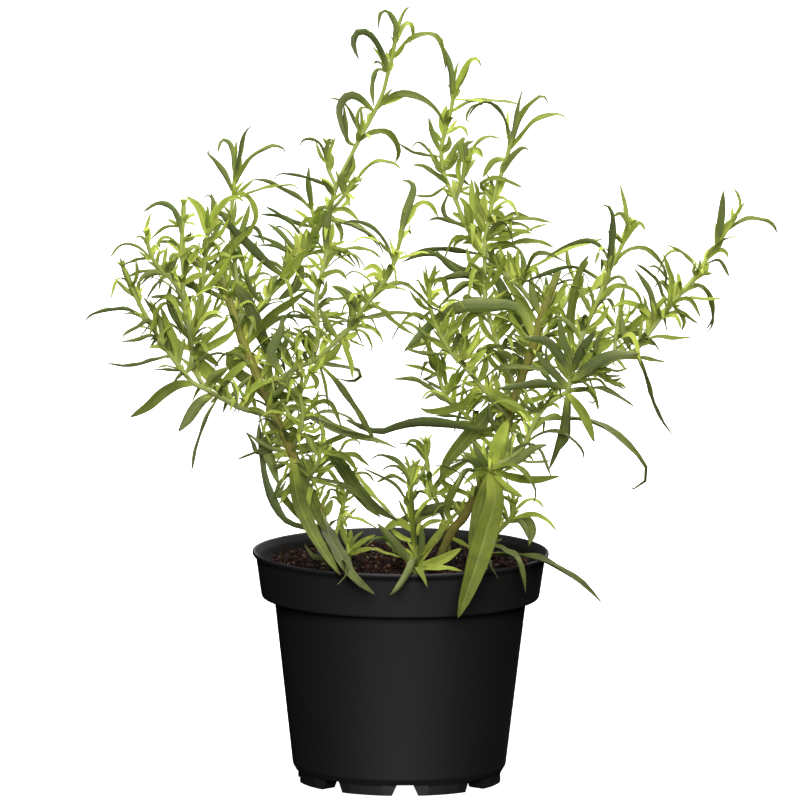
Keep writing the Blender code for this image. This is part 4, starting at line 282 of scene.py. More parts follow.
# The shoots of each plant: name, parent, thickness at foot and tip, route and leaves. A leaf is the
# width seen and the places from its foot to its tip. All places are on the sheet.
LEFT_STEM = [
    ("left_main", None, (4.0, 3.2),
     [(-24, 91, -15), (-29, 98), (-33, 110), (-37, 120), (-42, 130), (-47, 141), (-51, 150),
      (-55, 157, -8), (-58, 165), (-62, 173), (-66, 183), (-70, 192, 0), (-73, 201), (-76, 210),
      (-79, 219, 2)],
     [(6.0, (-48, 142), (-45.5, 125, -28), (-40, 111, -44), (-33, 99, -56), (-26, 89.5, -64)),
      (5.6, (-47, 140), (-42, 128, -22), (-36, 115, -34), (-32, 108, -38)),
      (3.2, (-36, 108), (-46, 110.5), (-53, 115), (-59, 128), (-61.5, 142), (-62, 155)),
      (5.2, (-38, 120), (-32, 109, -32), (-28.5, 102.5, -47), (-21, 89.8, -69), (-11, 81.6, -75)),
      (1.8, (-47, 143), (-56, 144), (-62, 147), (-68, 151.5)),
      (2.5, (-47, 142), (-38, 144), (-30, 148), (-20, 152)),
      (3.0, (-55, 160), (-46, 162.5), (-38, 157), (-29, 152.5), (-20, 150), (-10, 148), (-1, 144.5)),
      (5.5, (-47, 146), (-34, 145), (-27, 138), (-20, 128), (-12, 119.5), (-1, 113)),
      (1.8, (-42, 132), (-35, 131), (-27, 129), (-19, 124.5), (-14, 119), (-8.5, 114.5)),
      (1.0, (-50, 155), (-41, 161), (-38, 166), (-34, 168), (-30, 165)),
      (1.3, (-50, 154), (-42, 157), (-36, 160), (-30, 160.5), (-23, 158), (-17, 152)),
      (1.0, (-50, 145), (-60, 144), (-72.5, 139)),
      (5.0, (-69, 189), (-76, 184), (-70, 176), (-60, 171), (-50, 167), (-40, 166.5)),
      (5.5, (-78, 219), (-70, 212), (-66, 205), (-62, 195), (-57, 185), (-54, 178)),
      (3.5, (-69, 188), (-57, 202), (-50, 207), (-41, 213.5)),
      (3.0, (-66, 183), (-52, 186), (-60, 192), (-68, 196)),
      (2.6, (-75, 207), (-83, 212), (-90, 214), (-100, 219), (-108, 220.5), (-114.5, 215)),
      (2.6, (-77, 216), (-84, 223), (-92.5, 230)),
      (4.0, (-77, 213), (-78, 228), (-70, 237), (-66, 240)),
      (1.8, (-64, 178), (-75, 166), (-78, 159.5)),
      (3.6, (-66, 184), (-74, 177), (-78, 170), (-74, 162)),
      (2.2, (-36, 117), (-41, 122), (-45, 129)),
      (2.4, (-44, 134), (-48, 128), (-53, 120)),
      (1.6, (-45, 137), (-52, 130), (-56, 122)),
      (2.6, (-26.5, 96), (-31, 95.4, -32), (-38, 97.4, -41), (-42, 103, -44)),
      (2.2, (-25.5, 94.5), (-23.5, 94.4, -62), (-24, 88.5, -71), (-28, 85.5, -73)),
      (2.0, (-30, 101), (-36, 104), (-41, 109))]),
    ("left_reach", "left_main", (2.0, 0.9),
     [(-57, 158), (-63, 160), (-70, 162, -25), (-78, 166), (-85, 170, -38), (-91, 173), (-96, 179),
      (-100, 184), (-104, 190), (-108, 196), (-112, 203), (-116, 211), (-121, 223, -50)],
     [(2.5, (-113, 205), (-117, 213), (-121, 222.5), (-122.5, 227)),
      (1.5, (-112, 204), (-115, 209), (-119, 217)),
      (1.3, (-111, 201), (-118, 204), (-124, 204.5), (-134, 202.5), (-138, 199)),
      (1.8, (-106, 193), (-110, 199.5), (-115, 196.5), (-120.5, 193.5), (-120.5, 191)),
      (1.2, (-102, 187), (-108, 193), (-115, 191.2), (-122.5, 190.3)),
      (1.8, (-101, 186), (-105, 188.5), (-110, 188)),
      (1.2, (-100, 184), (-108, 182.5), (-118, 180), (-128.5, 181)),
      (1.0, (-95, 178), (-103, 178.5), (-108.5, 178.3)),
      (4.5, (-90, 173), (-97, 172), (-104, 168), (-110, 162.5), (-118, 157.5)),
      (1.0, (-95, 177), (-103, 168.5), (-110.5, 165)),
      (4.8, (-82, 168), (-88, 164), (-93, 157), (-97, 151.5)),
      (1.3, (-80, 167), (-85, 157), (-89, 145), (-91.2, 133.5)),
      (3.0, (-97, 180), (-104, 197), (-108, 204), (-112.5, 210)),
      (1.3, (-104, 190), (-106, 202), (-110.5, 209.5)),
      (1.6, (-115, 209), (-120, 213), (-125, 218)),
      (2.4, (-70, 162), (-66, 169), (-60, 176)),
      (2.2, (-86, 170), (-82, 176), (-75, 180))]),
    ("left_rise", "left_reach", (1.5, 0.9),
     [(-85, 170), (-90, 178, -30), (-91.5, 188), (-90, 198), (-89, 206, -22), (-87, 216), (-86, 226),
      (-85, 236), (-84, 241, -18)],
     [(3.5, (-85, 237), (-88, 248), (-94, 254)),
      (2.5, (-84, 239), (-82, 245), (-77, 252), (-72, 253.5), (-69, 251.5)),
      (1.0, (-84, 240), (-83, 252), (-85, 254.5), (-87, 253)),
      (3.0, (-91, 190), (-101, 206), (-100.5, 216.5)),
      (3.4, (-91, 186), (-83, 178), (-76, 170)),
      (1.8, (-90, 198), (-82, 203), (-77, 210)),
      (2.6, (-88, 212), (-80, 219), (-74, 229)),
      (1.8, (-86, 226), (-79, 229), (-73, 227)),
      (2.0, (-86, 222), (-92, 226), (-97, 233)),
      (1.8, (-85, 234), (-79, 238), (-75, 245))]),
    ("left_spire", "left_rise", (1.2, 0.8),
     [(-91.5, 188), (-93, 198, -38), (-95, 208), (-95, 220, -40), (-96, 230), (-95.5, 240),
      (-95, 250, -36)],
     [(2.2, (-96, 236), (-98, 245), (-101, 249), (-106, 250.5), (-113, 246.5)),
      (1.0, (-95, 241), (-103, 240), (-110, 234.5)),
      (2.0, (-95, 240), (-95, 253)),
      (1.0, (-95.5, 235), (-89, 236.5), (-84, 236)),
      (1.0, (-96, 230), (-100, 234.5), (-102.5, 233)),
      (1.5, (-95.5, 228), (-100, 228), (-101, 223)),
      (1.2, (-95, 214), (-103, 219), (-106, 212)),
      (1.8, (-95, 222), (-90, 228), (-88, 234)),
      (1.4, (-94, 204), (-100, 210), (-110, 210))]),
    ("left_wing", "left_spire", (1.0, 0.8),
     [(-95, 208), (-99, 216, -46), (-104, 221), (-108, 226, -50), (-110, 231), (-111, 237, -52)],
     [(2.0, (-110.5, 232), (-110, 240)),
      (1.0, (-110, 231), (-113, 235.8), (-116.5, 235.3)),
      (1.3, (-109, 228), (-107, 231), (-105, 229.5)),
      (1.0, (-106, 224), (-105.5, 228), (-101.5, 230.5)),
      (1.1, (-109, 227), (-115, 226), (-122.5, 223)),
      (1.1, (-105, 221), (-113, 220.8), (-122.5, 217))]),
    ("left_inner", "left_main", (1.3, 0.8),
     [(-70, 192), (-71, 203, 8), (-72, 213, 12), (-73, 223, 16), (-74.5, 235, 20), (-75, 247, 22),
      (-74, 257), (-73.5, 265, 25)],
     [(2.2, (-74.5, 256), (-78, 264), (-82, 269.5), (-85.5, 273), (-85, 275)),
      (1.8, (-73.5, 262), (-75, 275), (-77, 278.5), (-79.5, 278.5), (-81, 273.5)),
      (1.5, (-73.5, 263), (-73, 279)),
      (2.0, (-74, 261), (-71, 275), (-69, 282), (-66, 285.5)),
      (1.4, (-74, 259), (-67, 271), (-60, 275.5), (-56, 276.8), (-51.5, 275), (-52, 272.5)),
      (2.2, (-74, 256), (-68, 254.5), (-64.5, 248), (-65, 243), (-68, 239.5)),
      (1.0, (-74, 253), (-63, 257.5), (-55, 259), (-48, 259.5), (-45, 257)),
      (2.0, (-74, 232), (-67, 239), (-63, 248)),
      (1.8, (-75, 243), (-81, 248), (-84, 256)),
      (2.2, (-72, 213), (-65, 218), (-61, 226)),
      (2.4, (-71, 203), (-77, 210), (-82, 219))]),
    ("left_fork", "left_main", (1.3, 0.8),
     [(-68, 188), (-64, 203, 10), (-58, 211, 18), (-51, 219, 26), (-43, 230, 34), (-38.5, 241, 40),
      (-40, 250, 44)],
     [(1.8, (-40, 248), (-46, 254.5), (-53, 258), (-60, 261.5), (-66.5, 262.2)),
      (2.4, (-40, 248), (-41.5, 260), (-41.3, 268)),
      (2.5, (-41, 235), (-38.5, 242), (-41.5, 245), (-46, 240.5)),
      (2.5, (-41, 234), (-35, 245), (-33, 250)),
      (3.2, (-43.5, 229), (-42, 241)),
      (1.8, (-44, 229), (-36, 230.5), (-30, 230), (-25, 227), (-20, 223.5)),
      (3.8, (-51, 219), (-59, 225), (-66, 232), (-74, 240), (-80, 247)),
      (5.0, (-54, 215), (-48, 224), (-42, 231)),
      (1.2, (-47, 225), (-40, 224), (-34, 226)),
      (2.0, (-61, 207), (-66, 214), (-69, 222))]),
    ("left_sprig", "left_main", (1.1, 0.8),
     [(-47, 144), (-44, 152, -22), (-43, 160), (-44, 168), (-42, 173), (-40, 178, -34)],
     [(1.6, (-43, 160), (-38, 164), (-36, 170)),
      (1.5, (-44, 166), (-49, 170), (-51, 176)),
      (1.6, (-42, 174), (-44, 180), (-47, 185)),
      (1.4, (-41, 176), (-36, 180), (-33, 186)),
      (1.4, (-44, 156), (-49, 159), (-52, 165)),
      (1.6, (-44, 153), (-38, 152), (-33, 156))]),
    ("left_low_sprig", "left_main", (1.1, 0.8),
     [(-42, 130), (-38.5, 134, -28), (-36, 139, -34), (-35, 146, -38)],
     [(1.8, (-37, 137), (-33, 141), (-30, 147)),
      (1.6, (-36, 141), (-40, 146), (-42, 152)),
      (1.8, (-35, 144), (-34, 151), (-36, 157)),
      (1.4, (-38, 134), (-32, 135), (-28, 132))]),
    ("left_thread", "left_main", (1.0, 0.8),
     [(-29, 100), (-28, 108, 4), (-26.5, 115), (-25, 121, 12), (-22.5, 128, 14)],
     [(1.0, (-26.5, 115), (-18, 113.5), (-10, 109.5)),
      (1.0, (-25, 121), (-20, 124), (-16.5, 122.5)),
      (1.0, (-25.5, 119), (-29, 123), (-32, 122)),
      (1.0, (-27, 113), (-24, 116), (-21, 115)),
      (1.0, (-24, 124), (-30, 126.5), (-33, 125)),
      (1.2, (-23, 126), (-22, 134))]),
    ("middle", "left_main", (1.7, 0.9),
     [(-60, 168), (-52, 175.5, -8), (-45, 180, -15), (-38, 183, -18), (-30, 190), (-24, 196, -26),
      (-18, 204), (-12, 212, -34), (-6, 220), (-3, 228, -40), (0, 240), (1, 246, -44)],
     [(2.0, (-22, 199), (-21, 209), (-25, 213.5), (-30.5, 215.5)),
      (1.1, (-9, 216), (0, 216.5), (6, 213), (12, 207), (19, 203.5)),
      (1.3, (-12, 212), (-7, 214.5), (-2, 214.5), (3, 213)),
      (2.2, (-8, 218), (-10, 222), (-13, 224), (-17.5, 222)),
      (1.8, (-9, 217), (-12, 220.5), (-16.5, 218.5)),
      (3.4, (-1, 236), (1, 246), (4.5, 257), (3, 260.5), (-0.5, 261)),
      (2.0, (-0.5, 240), (3, 247), (7, 251), (10, 251.5), (13, 249.5), (15.5, 245)),
      (1.1, (-3, 226), (3, 228.5), (8, 230), (12, 229.5)),
      (1.8, (-24, 196), (-19, 198), (-14, 197.5), (-10, 194.5), (-8, 190.5)),
      (1.0, (-24, 196), (-17, 195.5), (-13, 189), (-14.5, 186.5)),
      (2.2, (-27, 193), (-24, 187), (-22, 181), (-21.5, 175)),
      (1.5, (-40, 182), (-28, 180.5), (-20, 179), (-18, 176.5), (-22, 174), (-30, 175.5)),
      (2.5, (-38, 183), (-28, 173), (-20, 162), (-14, 152), (-10, 146)),
      (1.0, (-36, 184), (-33, 170), (-31.5, 160.5)),
      (1.3, (-4, 225), (-8, 235), (-14, 241), (-22, 243.5), (-27, 242)),
      (4.0, (-52, 176), (-57, 186), (-53, 195), (-52, 203)),
      (1.6, (-44, 181), (-48, 190), (-55, 196)),
      (2.6, (-47, 179), (-52, 171), (-60, 165))]),
    ("tall", "middle", (1.5, 0.8),
     [(-40, 182), (-37, 190, -10), (-37, 200, -5), (-37.5, 210), (-35, 222, 5), (-33, 232),
      (-32, 245, 12), (-31, 252), (-28, 262), (-23, 272, 16), (-19, 280), (-13, 291, 18), (-9, 300),
      (-7, 308), (-5, 316), (-4, 322, 18)],
     [(2.0, (-4.5, 319), (-4, 329), (-7, 335), (-10, 334.5), (-11.5, 327)),
      (1.2, (-4, 320), (-1, 333), (2, 337.5), (5, 337)),
      (1.8, (-4, 320), (0, 329.5), (3, 330), (4, 326), (2.5, 321)),
      (2.6, (-7.5, 309), (-10, 318), (-15, 325), (-20, 326), (-22, 321), (-19.5, 314)),
      (1.8, (-7.5, 309), (-11.5, 310), (-13.5, 303), (-13, 294)),
      (2.0, (-5.5, 314), (0, 321), (6, 325), (12, 325.5), (16, 322), (18.5, 310)),
      (2.6, (-13, 291), (-6, 298), (1, 299.5), (9, 297), (15, 291.5), (18, 285)),
      (2.5, (-20, 279), (-14, 282.5), (-8, 283), (-4, 280), (-2, 274), (-3.5, 269.5)),
      (3.2, (-13, 291), (-20, 298), (-25, 298), (-28, 293), (-27, 286), (-25, 279)),
      (1.2, (-19, 281), (-24, 293), (-29, 297), (-33, 297.5)),
      (1.2, (-19, 281), (-20, 290), (-18, 293.5), (-15, 293)),
      (1.1, (-30, 257), (-40, 262), (-48, 263.8), (-54, 264.3), (-57, 261)),
      (1.5, (-31, 250), (-36, 249.5), (-39.5, 246.5)),
      (2.0, (-31, 249), (-25, 249), (-19, 244)),
      (1.2, (-32, 246), (-20, 242), (-14, 238), (-9, 232), (-9, 228)),
      (2.0, (-32, 247), (-28, 242), (-26.5, 238), (-27.5, 234)),
      (3.0, (-33, 231), (-33.5, 241), (-31, 251)),
      (1.3, (-34, 227), (-28, 231), (-20, 232), (-14, 231), (-9, 227.5)),
      (2.0, (-37, 213), (-35, 219), (-31, 221.5), (-27, 221.5), (-24, 218)),
      (1.0, (-36.5, 216), (-40, 219.5), (-46, 218.5)),
      (1.0, (-37, 207), (-30, 209.5), (-25, 210), (-15, 210)),
      (1.8, (-37.5, 209), (-34, 213), (-33, 218)),
      (1.5, (-37, 191), (-42, 193), (-50, 195), (-58, 197)),
      (1.5, (-38, 188), (-41, 191), (-44, 195), (-48, 197.5)),
      (2.5, (-29, 258), (-25, 264), (-21.5, 273)),
      (1.6, (-35, 222), (-39, 226), (-42, 228.5))]),
    ("tall_bud", "tall", (0.9, 0.7),
     [(-29, 259), (-33, 268, 20), (-33, 277, 24)],
     [(1.0, (-33, 268), (-36, 277), (-40, 279.5), (-44, 279), (-45.3, 276)),
      (1.8, (-33, 268), (-34, 274), (-32, 279.5), (-30, 278.5)),
      (3.0, (-33, 265), (-31, 273))]),
    ("tall_tuft", "tall", (0.9, 0.7),
     [(-32, 248), (-28, 252, 6), (-24, 257), (-21, 261, 2)],
     [(1.0, (-22, 259), (-15, 268), (-10, 270), (-4, 269), (-0.5, 266)),
      (2.5, (-25, 255), (-27, 262), (-24, 266)),
      (2.2, (-24, 256), (-21, 262), (-18, 261)),
      (1.8, (-25, 256), (-24, 252.5), (-27, 250))]),
    ("left_back", "left_main", (1.6, 0.8),
     [(-52, 152), (-55, 166, 18), (-58, 180, 36), (-62, 195, 50), (-67, 211, 60), (-70, 226, 68)],
     [(3.0, (-56, 171), (-62, 178), (-70, 182)),
      (2.6, (-58, 180), (-52, 188), (-49, 198)),
      (2.8, (-61, 191), (-68, 199), (-73, 209)),
      (2.4, (-64, 202), (-59, 210), (-58, 219)),
      (2.2, (-68, 215), (-74, 221), (-78, 230)),
      (1.8, (-70, 222), (-66, 229), (-64, 236)),
      (1.8, (-70, 225), (-73, 235))]),
]

RIGHT_STEM = [
    ("right_main", None, (3.8, 3.2),
     [(11, 94.5, 8), (21, 106, 6), (27.5, 115, 5), (34, 127), (41.5, 141, 3), (44.5, 149), (47, 158),
      (49.5, 167.5), (53, 178), (57, 189, 4), (60, 200), (63, 209), (66, 217), (68, 223, 6)],
     [(4.4, (31, 121), (22, 119.5, 16), (12, 117.5, 24), (3, 114, 30), (-7, 109, 34)),
      (3.2, (24, 110), (20, 119), (25, 130), (29, 135.5), (33, 135)),
      (2.4, (23, 109), (18.5, 112), (17, 106)),
      (1.6, (21, 106), (26, 104), (31, 101)),
      (2.5, (26, 113), (28, 117), (28.5, 121)),
      (6.4, (47, 160), (42, 164), (30, 151), (20, 139), (17, 131)),
      (3.4, (46, 154), (33, 153), (26, 154), (10, 156), (0, 154.5), (-11, 151.5), (-25, 157.5)),
      (3.0, (47, 157), (42, 155), (35, 151)),
      (1.8, (47, 158), (55, 157.6), (66, 158), (77, 158.3), (87, 155.5), (97, 148.5), (105, 140),
       (107.5, 134), (104, 128.5), (99.5, 128)),
      (2.2, (48, 162), (57, 166), (63, 168), (66, 172)),
      (2.0, (48, 161), (53, 164), (54.5, 169)),
      (2.0, (47, 158), (58, 161.5), (63, 165)),
      (1.0, (50, 168), (57, 170.5), (61, 167.5), (66, 163.5)),
      (1.8, (55, 184), (61.5, 179), (65, 174), (66, 169)),
      (5.5, (58, 192), (51, 206), (38, 207), (28, 207), (20, 204), (10, 196), (0.5, 186.5)),
      (1.6, (55, 184), (48, 188.5), (38, 189), (30, 184)),
      (3.0, (61, 203), (57, 212), (56, 222)),
      (2.6, (57, 190), (51, 197), (46, 206)),
      (2.8, (62, 205), (68, 211), (72, 219)),
      (2.4, (53, 178), (47, 185), (41, 189)),
      (1.0, (46, 153), (55, 149), (56.5, 141)),
      (2.0, (44, 148), (39, 157), (38, 166)),
      (2.2, (40, 138), (35, 144), (31, 150))]),
    ("right_tall", "right_main", (1.7, 0.8),
     [(60, 203), (52, 215, 12), (45, 221, 20), (38, 228, 26), (32, 235, 32), (27, 244), (23, 254, 38),
      (19, 262), (17, 270, 42), (17, 278), (19, 286), (21, 294), (22, 301, 46)],
     [(2.5, (21.5, 297), (20.5, 310), (17, 320), (14, 324)),
      (2.2, (21.5, 298), (26, 309), (29, 314.5), (32, 315.5), (34, 312)),
      (1.6, (21.5, 299), (24, 306), (26, 312)),
      (1.0, (22, 300), (23, 311), (25, 315.5)),
      (1.5, (20.5, 292), (28, 296.5), (35, 297.5), (45, 297), (53, 295.5)),
      (3.0, (17.5, 281), (17, 288), (19, 295)),
      (1.0, (17, 272), (8, 273.5), (3, 275), (-3, 279)),
      (1.0, (17, 268), (13, 273), (9, 277.5), (6, 279), (3.5, 276)),
      (2.2, (17, 274), (13, 282), (11, 290)),
      (1.2, (18, 282), (24, 285.5), (27, 284.5), (28.5, 281)),
      (1.8, (19.5, 261), (10, 268), (4, 269)),
      (1.0, (20, 260), (14, 256), (10, 255), (5, 255.5)),
      (1.8, (28, 242), (20, 245), (17.5, 250), (20, 257)),
      (1.5, (28, 241), (20, 244.5), (15, 245.5), (11, 244.5)),
      (1.6, (30, 238), (24, 235.5), (22, 232)),
      (2.0, (37, 229), (20, 232), (10, 231.5), (3, 230)),
      (2.0, (35, 231), (30, 226), (27, 220)),
      (2.4, (50, 217), (45, 226), (42, 234)),
      (1.4, (52, 215), (57, 223), (60, 219)),
      (1.5, (52, 216), (57, 228.5), (63, 230), (71.5, 226.5)),
      (2.6, (44, 222), (34, 222.5), (26, 223), (18, 228), (13, 233.5))]),
    ("right_tall_bud", "right_tall", (0.9, 0.7),
     [(23, 254), (26, 262, 34), (27.5, 270, 30)],
     [(2.2, (25, 260), (24, 267), (25.5, 274)),
      (2.5, (26.5, 265), (30, 276)),
      (1.5, (27, 269), (31, 274.5), (35, 272)),
      (1.0, (27, 268), (31, 277), (37, 281.5), (43, 280.5)),
      (2.4, (27, 269), (25, 276), (27, 281))]),
    ("right_spire", "right_main", (1.6, 0.8),
     [(50, 170), (42, 190, 10), (37, 207, 16), (36, 214, 20), (36, 225), (36, 235, 25), (39, 252, 28),
      (42, 262), (45, 271, 30), (47, 279, 30)],
     [(2.0, (46, 276), (49, 288), (50.5, 297), (52, 302)),
      (2.0, (46, 275), (52, 291), (57, 297), (61, 299.5), (63.5, 296)),
      (1.8, (46, 274), (53, 284), (58, 289), (65, 291.5), (70, 291), (72, 288)),
      (1.2, (46.5, 277), (45, 287), (41, 294), (36, 296.5), (31, 294), (28, 289)),
      (2.6, (45, 271), (40, 271), (37, 267.5), (35, 263.5)),
      (2.4, (43, 265), (47, 272), (52, 276.5), (55, 275.5)),
      (1.5, (38.5, 250), (39, 265)),
      (2.5, (39, 252), (45, 264)),
      (1.8, (40, 256), (34, 260), (41, 263), (52.5, 259)),
      (3.0, (37, 243), (31, 251), (30, 263)),
      (1.2, (38, 248), (46, 253), (51, 246)),
      (1.3, (37, 243), (45, 245), (55, 245.5), (62, 244.5), (66, 243.8)),
      (2.0, (36, 231), (44, 233), (52, 235.5), (60, 235.5), (66.5, 233)),
      (2.2, (36.5, 236), (46, 237), (52, 239.5), (57, 239)),
      (2.0, (36, 222), (30, 226), (28, 233)),
      (2.2, (36, 218), (28, 221), (20, 220), (14, 217.5)),
      (1.8, (36, 216), (27, 217), (20, 211)),
      (4.5, (36, 226), (42, 218), (47, 208), (52, 199), (57, 188)),
      (3.5, (38, 205), (29, 202), (27, 191), (26, 184)),
      (2.4, (42, 190), (36, 197), (33, 206)),
      (2.6, (40, 196), (47, 203), (50, 212)),
      (2.2, (36, 213), (42, 221), (45, 230)),
      (2.0, (47, 178), (40, 182), (36, 190))]),
    ("right_left_spray", "right_main", (1.3, 0.8),
     [(47, 158), (40, 166, -6), (33, 174, -9), (27, 181), (22, 186, -13), (16, 196, -15),
      (12, 207, -16), (12, 217, -17)],
     [(1.0, (12, 213), (9, 223)),
      (2.0, (12, 214), (14.5, 225)),
      (1.5, (22, 186), (14, 186), (6, 187), (1, 189)),
      (1.8, (33, 174), (42, 180), (52, 180.5), (62, 179), (68, 176)),
      (3.6, (33, 174), (28, 165), (20, 161.7), (12, 161), (8, 162.5)),
      (4.8, (34, 173), (42, 168), (52, 161.5), (58, 157.5)),
      (1.5, (19, 191), (12, 193), (6, 198)),
      (1.5, (14, 201), (19, 207), (25, 210)),
      (1.3, (13, 205), (7, 208), (3, 214)),
      (1.8, (25, 183), (31, 190), (34, 199)),
      (1.6, (17, 194), (22, 200), (22, 208))]),
    ("right_low_spray", "right_main", (1.2, 0.8),
     [(44, 148), (37, 153, 12), (30, 158, 18), (20, 167, 26), (16, 177, 32), (12, 190, 38),
      (12, 200, 42)],
     [(1.8, (20, 167), (11, 172), (5, 175), (-4, 175)),
      (1.6, (24, 163), (17, 167), (14, 168.5), (9.5, 166)),
      (2.0, (24, 164), (23, 172), (23, 178)),
      (1.4, (17, 175), (18.5, 182), (16, 187)),
      (1.2, (16, 177), (20, 180), (25, 179)),
      (1.4, (13, 188), (9, 194), (7, 201)),
      (1.6, (12, 195), (16, 202), (17, 209)),
      (1.2, (31, 157), (22, 159), (14, 159)),
      (1.2, (27, 161), (33, 166), (39, 168)),
      (1.4, (34, 155), (26, 156.5), (23, 154))]),
    ("right_rosette", "right_main", (1.6, 1.2),
     [(33, 125), (37, 131, -22), (39, 136, -42)],
     [(10.0, (39, 135), (41, 124, -50), (38, 112, -58), (34.5, 100, -66), (31, 89, -72),
       (27.5, 79, -75), (25, 71.6, -76)),
      (5.2, (38.5, 135), (34, 120, -48), (31.5, 106, -54), (30.5, 97, -60)),
      (3.4, (39, 135), (55, 131.5, -50), (69, 133.3, -56)),
      (2.4, (39, 135), (46, 128.5, -50), (53, 124, -58)),
      (3.8, (39, 136), (50, 140, -46), (57, 145, -50), (63.5, 147, -52)),
      (2.4, (38, 135), (32, 133.5, -50), (27, 129.5, -56)),
      (2.0, (39, 136), (45, 138, -52), (51, 137, -58), (55.5, 132.5, -62), (58.5, 126.5, -63),
       (57, 120.3, -62)),
      (6.0, (39.5, 136), (42, 147, -44), (46.5, 158, -42)),
      (3.0, (38, 135), (34, 142, -50), (30.5, 149, -54)),
      (2.0, (38, 135), (31, 139, -38), (25, 143, -34)),
      (1.4, (39, 136), (48, 140.5, -34), (57, 139, -26), (66, 140, -20)),
      (1.8, (39, 136), (36, 142, -36), (36, 149, -32))]),
    ("right_link", "right_rosette", (1.2, 1.3),
     [(39, 136), (51, 144, -45), (55, 150, -48), (59, 159, -50), (64, 165), (72, 170, -50)],
     [(1.3, (53, 147), (61, 152, -54), (68, 152.5, -60), (74, 149.5, -64), (79, 143.5, -66),
       (78.2, 139.3, -66)),
      (1.6, (56, 152), (61.5, 157, -40), (61.5, 151.5, -34)),
      (1.2, (62, 163), (66, 164.5, -58), (69, 162, -62)),
      (1.6, (60, 160), (54, 163, -58), (50, 169, -62))]),
    ("right_star", "right_link", (1.4, 1.3),
     [(72, 170), (74, 178, -49), (76, 188, -45)],
     [(3.4, (72, 170), (70.5, 155, -56), (67.5, 145, -60), (64, 136, -62)),
      (4.0, (72.5, 170), (79, 160, -58), (83.7, 148, -64)),
      (1.6, (72, 171), (73, 157, -46), (72.5, 150, -44), (69, 144.5, -42)),
      (1.8, (73, 174), (85, 178, -40), (92, 174, -32), (98, 170.5, -28)),
      (1.6, (72.5, 171), (80, 171.5, -54), (87, 171.5, -60), (94, 168, -66), (101, 163.5, -70)),
      (1.0, (73, 174), (79, 174, -62), (84, 168, -70), (85.5, 162, -72)),
      (1.0, (73, 173), (84, 175.5, -46), (88, 173, -44), (91, 169.5, -42)),
      (3.2, (72, 171), (60, 173.5, -58), (50, 172, -62), (41, 171, -64)),
      (3.5, (72, 172), (66, 178, -58), (61, 183, -64), (58, 188, -68)),
      (1.2, (72, 173), (66, 179, -44), (62.5, 185, -40), (63, 192, -36)),
      (5.0, (73, 174), (83, 182, -58), (92, 186, -64), (103, 186.5, -68)),
      (2.6, (74, 177), (85, 181, -34), (88, 177, -28), (96, 177, -24)),
      (1.0, (74.5, 180), (86, 180, -54), (94, 179, -58), (99, 181, -60)),
      (4.2, (74, 176), (68, 186, -54), (62, 192, -58), (52, 193, -60)),
      (4.0, (74.5, 178), (78, 188, -60), (84, 197, -68)),
      (3.2, (75, 182), (70, 192, -54), (68, 203, -58)),
      (2.6, (75, 182), (82, 190, -42), (92, 194, -38)),
      (3.8, (75.5, 185), (73, 200, -40), (77, 222, -38), (81, 229.5, -37))]),
    ("right_sweep", "right_star", (1.6, 0.9),
     [(73, 174), (82, 178, -45), (92, 184, -38), (101, 188, -32), (107, 195), (112, 202), (117, 208),
      (122, 214), (128, 221), (133, 229), (138, 236), (144, 246, 0)],
     [(3.2, (137, 234), (138.5, 245), (139.5, 258)),
      (3.2, (137, 234), (141, 242), (146, 247)),
      (1.2, (142, 242), (147, 250), (146.5, 256), (143.5, 260)),
      (1.2, (143, 244), (149, 253)),
      (1.4, (141, 240), (147, 244.5), (153, 246), (160, 244.5), (164, 239.5), (163.5, 236.5)),
      (2.0, (132, 227), (137, 232), (140.5, 231.5), (142, 228.5)),
      (1.1, (129, 222), (124, 229), (120, 232), (114.5, 234.5)),
      (1.4, (120, 211), (126, 215.5), (130, 216.5), (134, 212), (135.5, 203), (132, 196.8)),
      (1.1, (118, 209), (126, 211), (132, 210.5), (139, 211)),
      (1.9, (120, 212), (118, 218), (115.5, 225), (113.5, 230.5)),
      (2.5, (110, 199), (108.5, 211), (105, 218), (100.5, 224)),
      (1.0, (115, 206), (111, 218), (105, 224), (101, 226)),
      (1.6, (114, 204), (121, 205), (125, 202.5), (129, 200)),
      (1.5, (113, 203), (119, 203), (121.5, 197.5)),
      (1.5, (104, 191), (110, 194), (118, 193.5), (126.5, 194)),
      (1.6, (101, 188), (105, 180), (108, 170), (112, 160), (118.6, 150.7)),
      (3.5, (111, 201), (106, 203), (99, 197.5), (91, 192)),
      (1.6, (92, 184), (103, 185), (115, 183)),
      (2.4, (100, 187.5), (96, 196), (95, 206)),
      (2.0, (86, 180), (84, 190), (88, 198)),
      (1.6, (124, 216.5), (130, 221), (134, 221))]),
    ("right_crown", "right_star", (1.4, 0.8),
     [(76, 187), (79, 196, -43), (82, 203, -40), (85, 210), (88, 218, -35), (91, 225), (95, 233, -30),
      (99, 243, -28)],
     [(2.8, (89.5, 221), (90.5, 235), (91, 245), (89, 250.5), (86, 251)),
      (1.8, (95, 233), (97, 240), (99.5, 247)),
      (1.6, (98.5, 242), (95, 247.5), (91, 246)),
      (2.2, (95, 233), (99, 240), (103, 243.5), (105.5, 240)),
      (1.8, (91, 225), (97, 231), (104, 232.5), (110, 229), (114.5, 222), (114, 214.5)),
      (3.0, (90, 222), (86, 219), (82, 213.5)),
      (2.0, (84.5, 208), (90, 214.5), (95, 216), (101, 213.5), (105, 206)),
      (1.6, (88, 217), (75, 224), (62, 221), (50, 216)),
      (1.3, (82, 203), (79, 209), (76, 215)),
      (1.2, (83, 205), (88, 204), (93, 199)),
      (1.6, (91, 226), (83, 235), (73, 234), (62, 228)),
      (2.0, (78, 194), (73, 199), (66, 204)),
      (2.4, (79, 196), (86, 201), (90, 208))]),
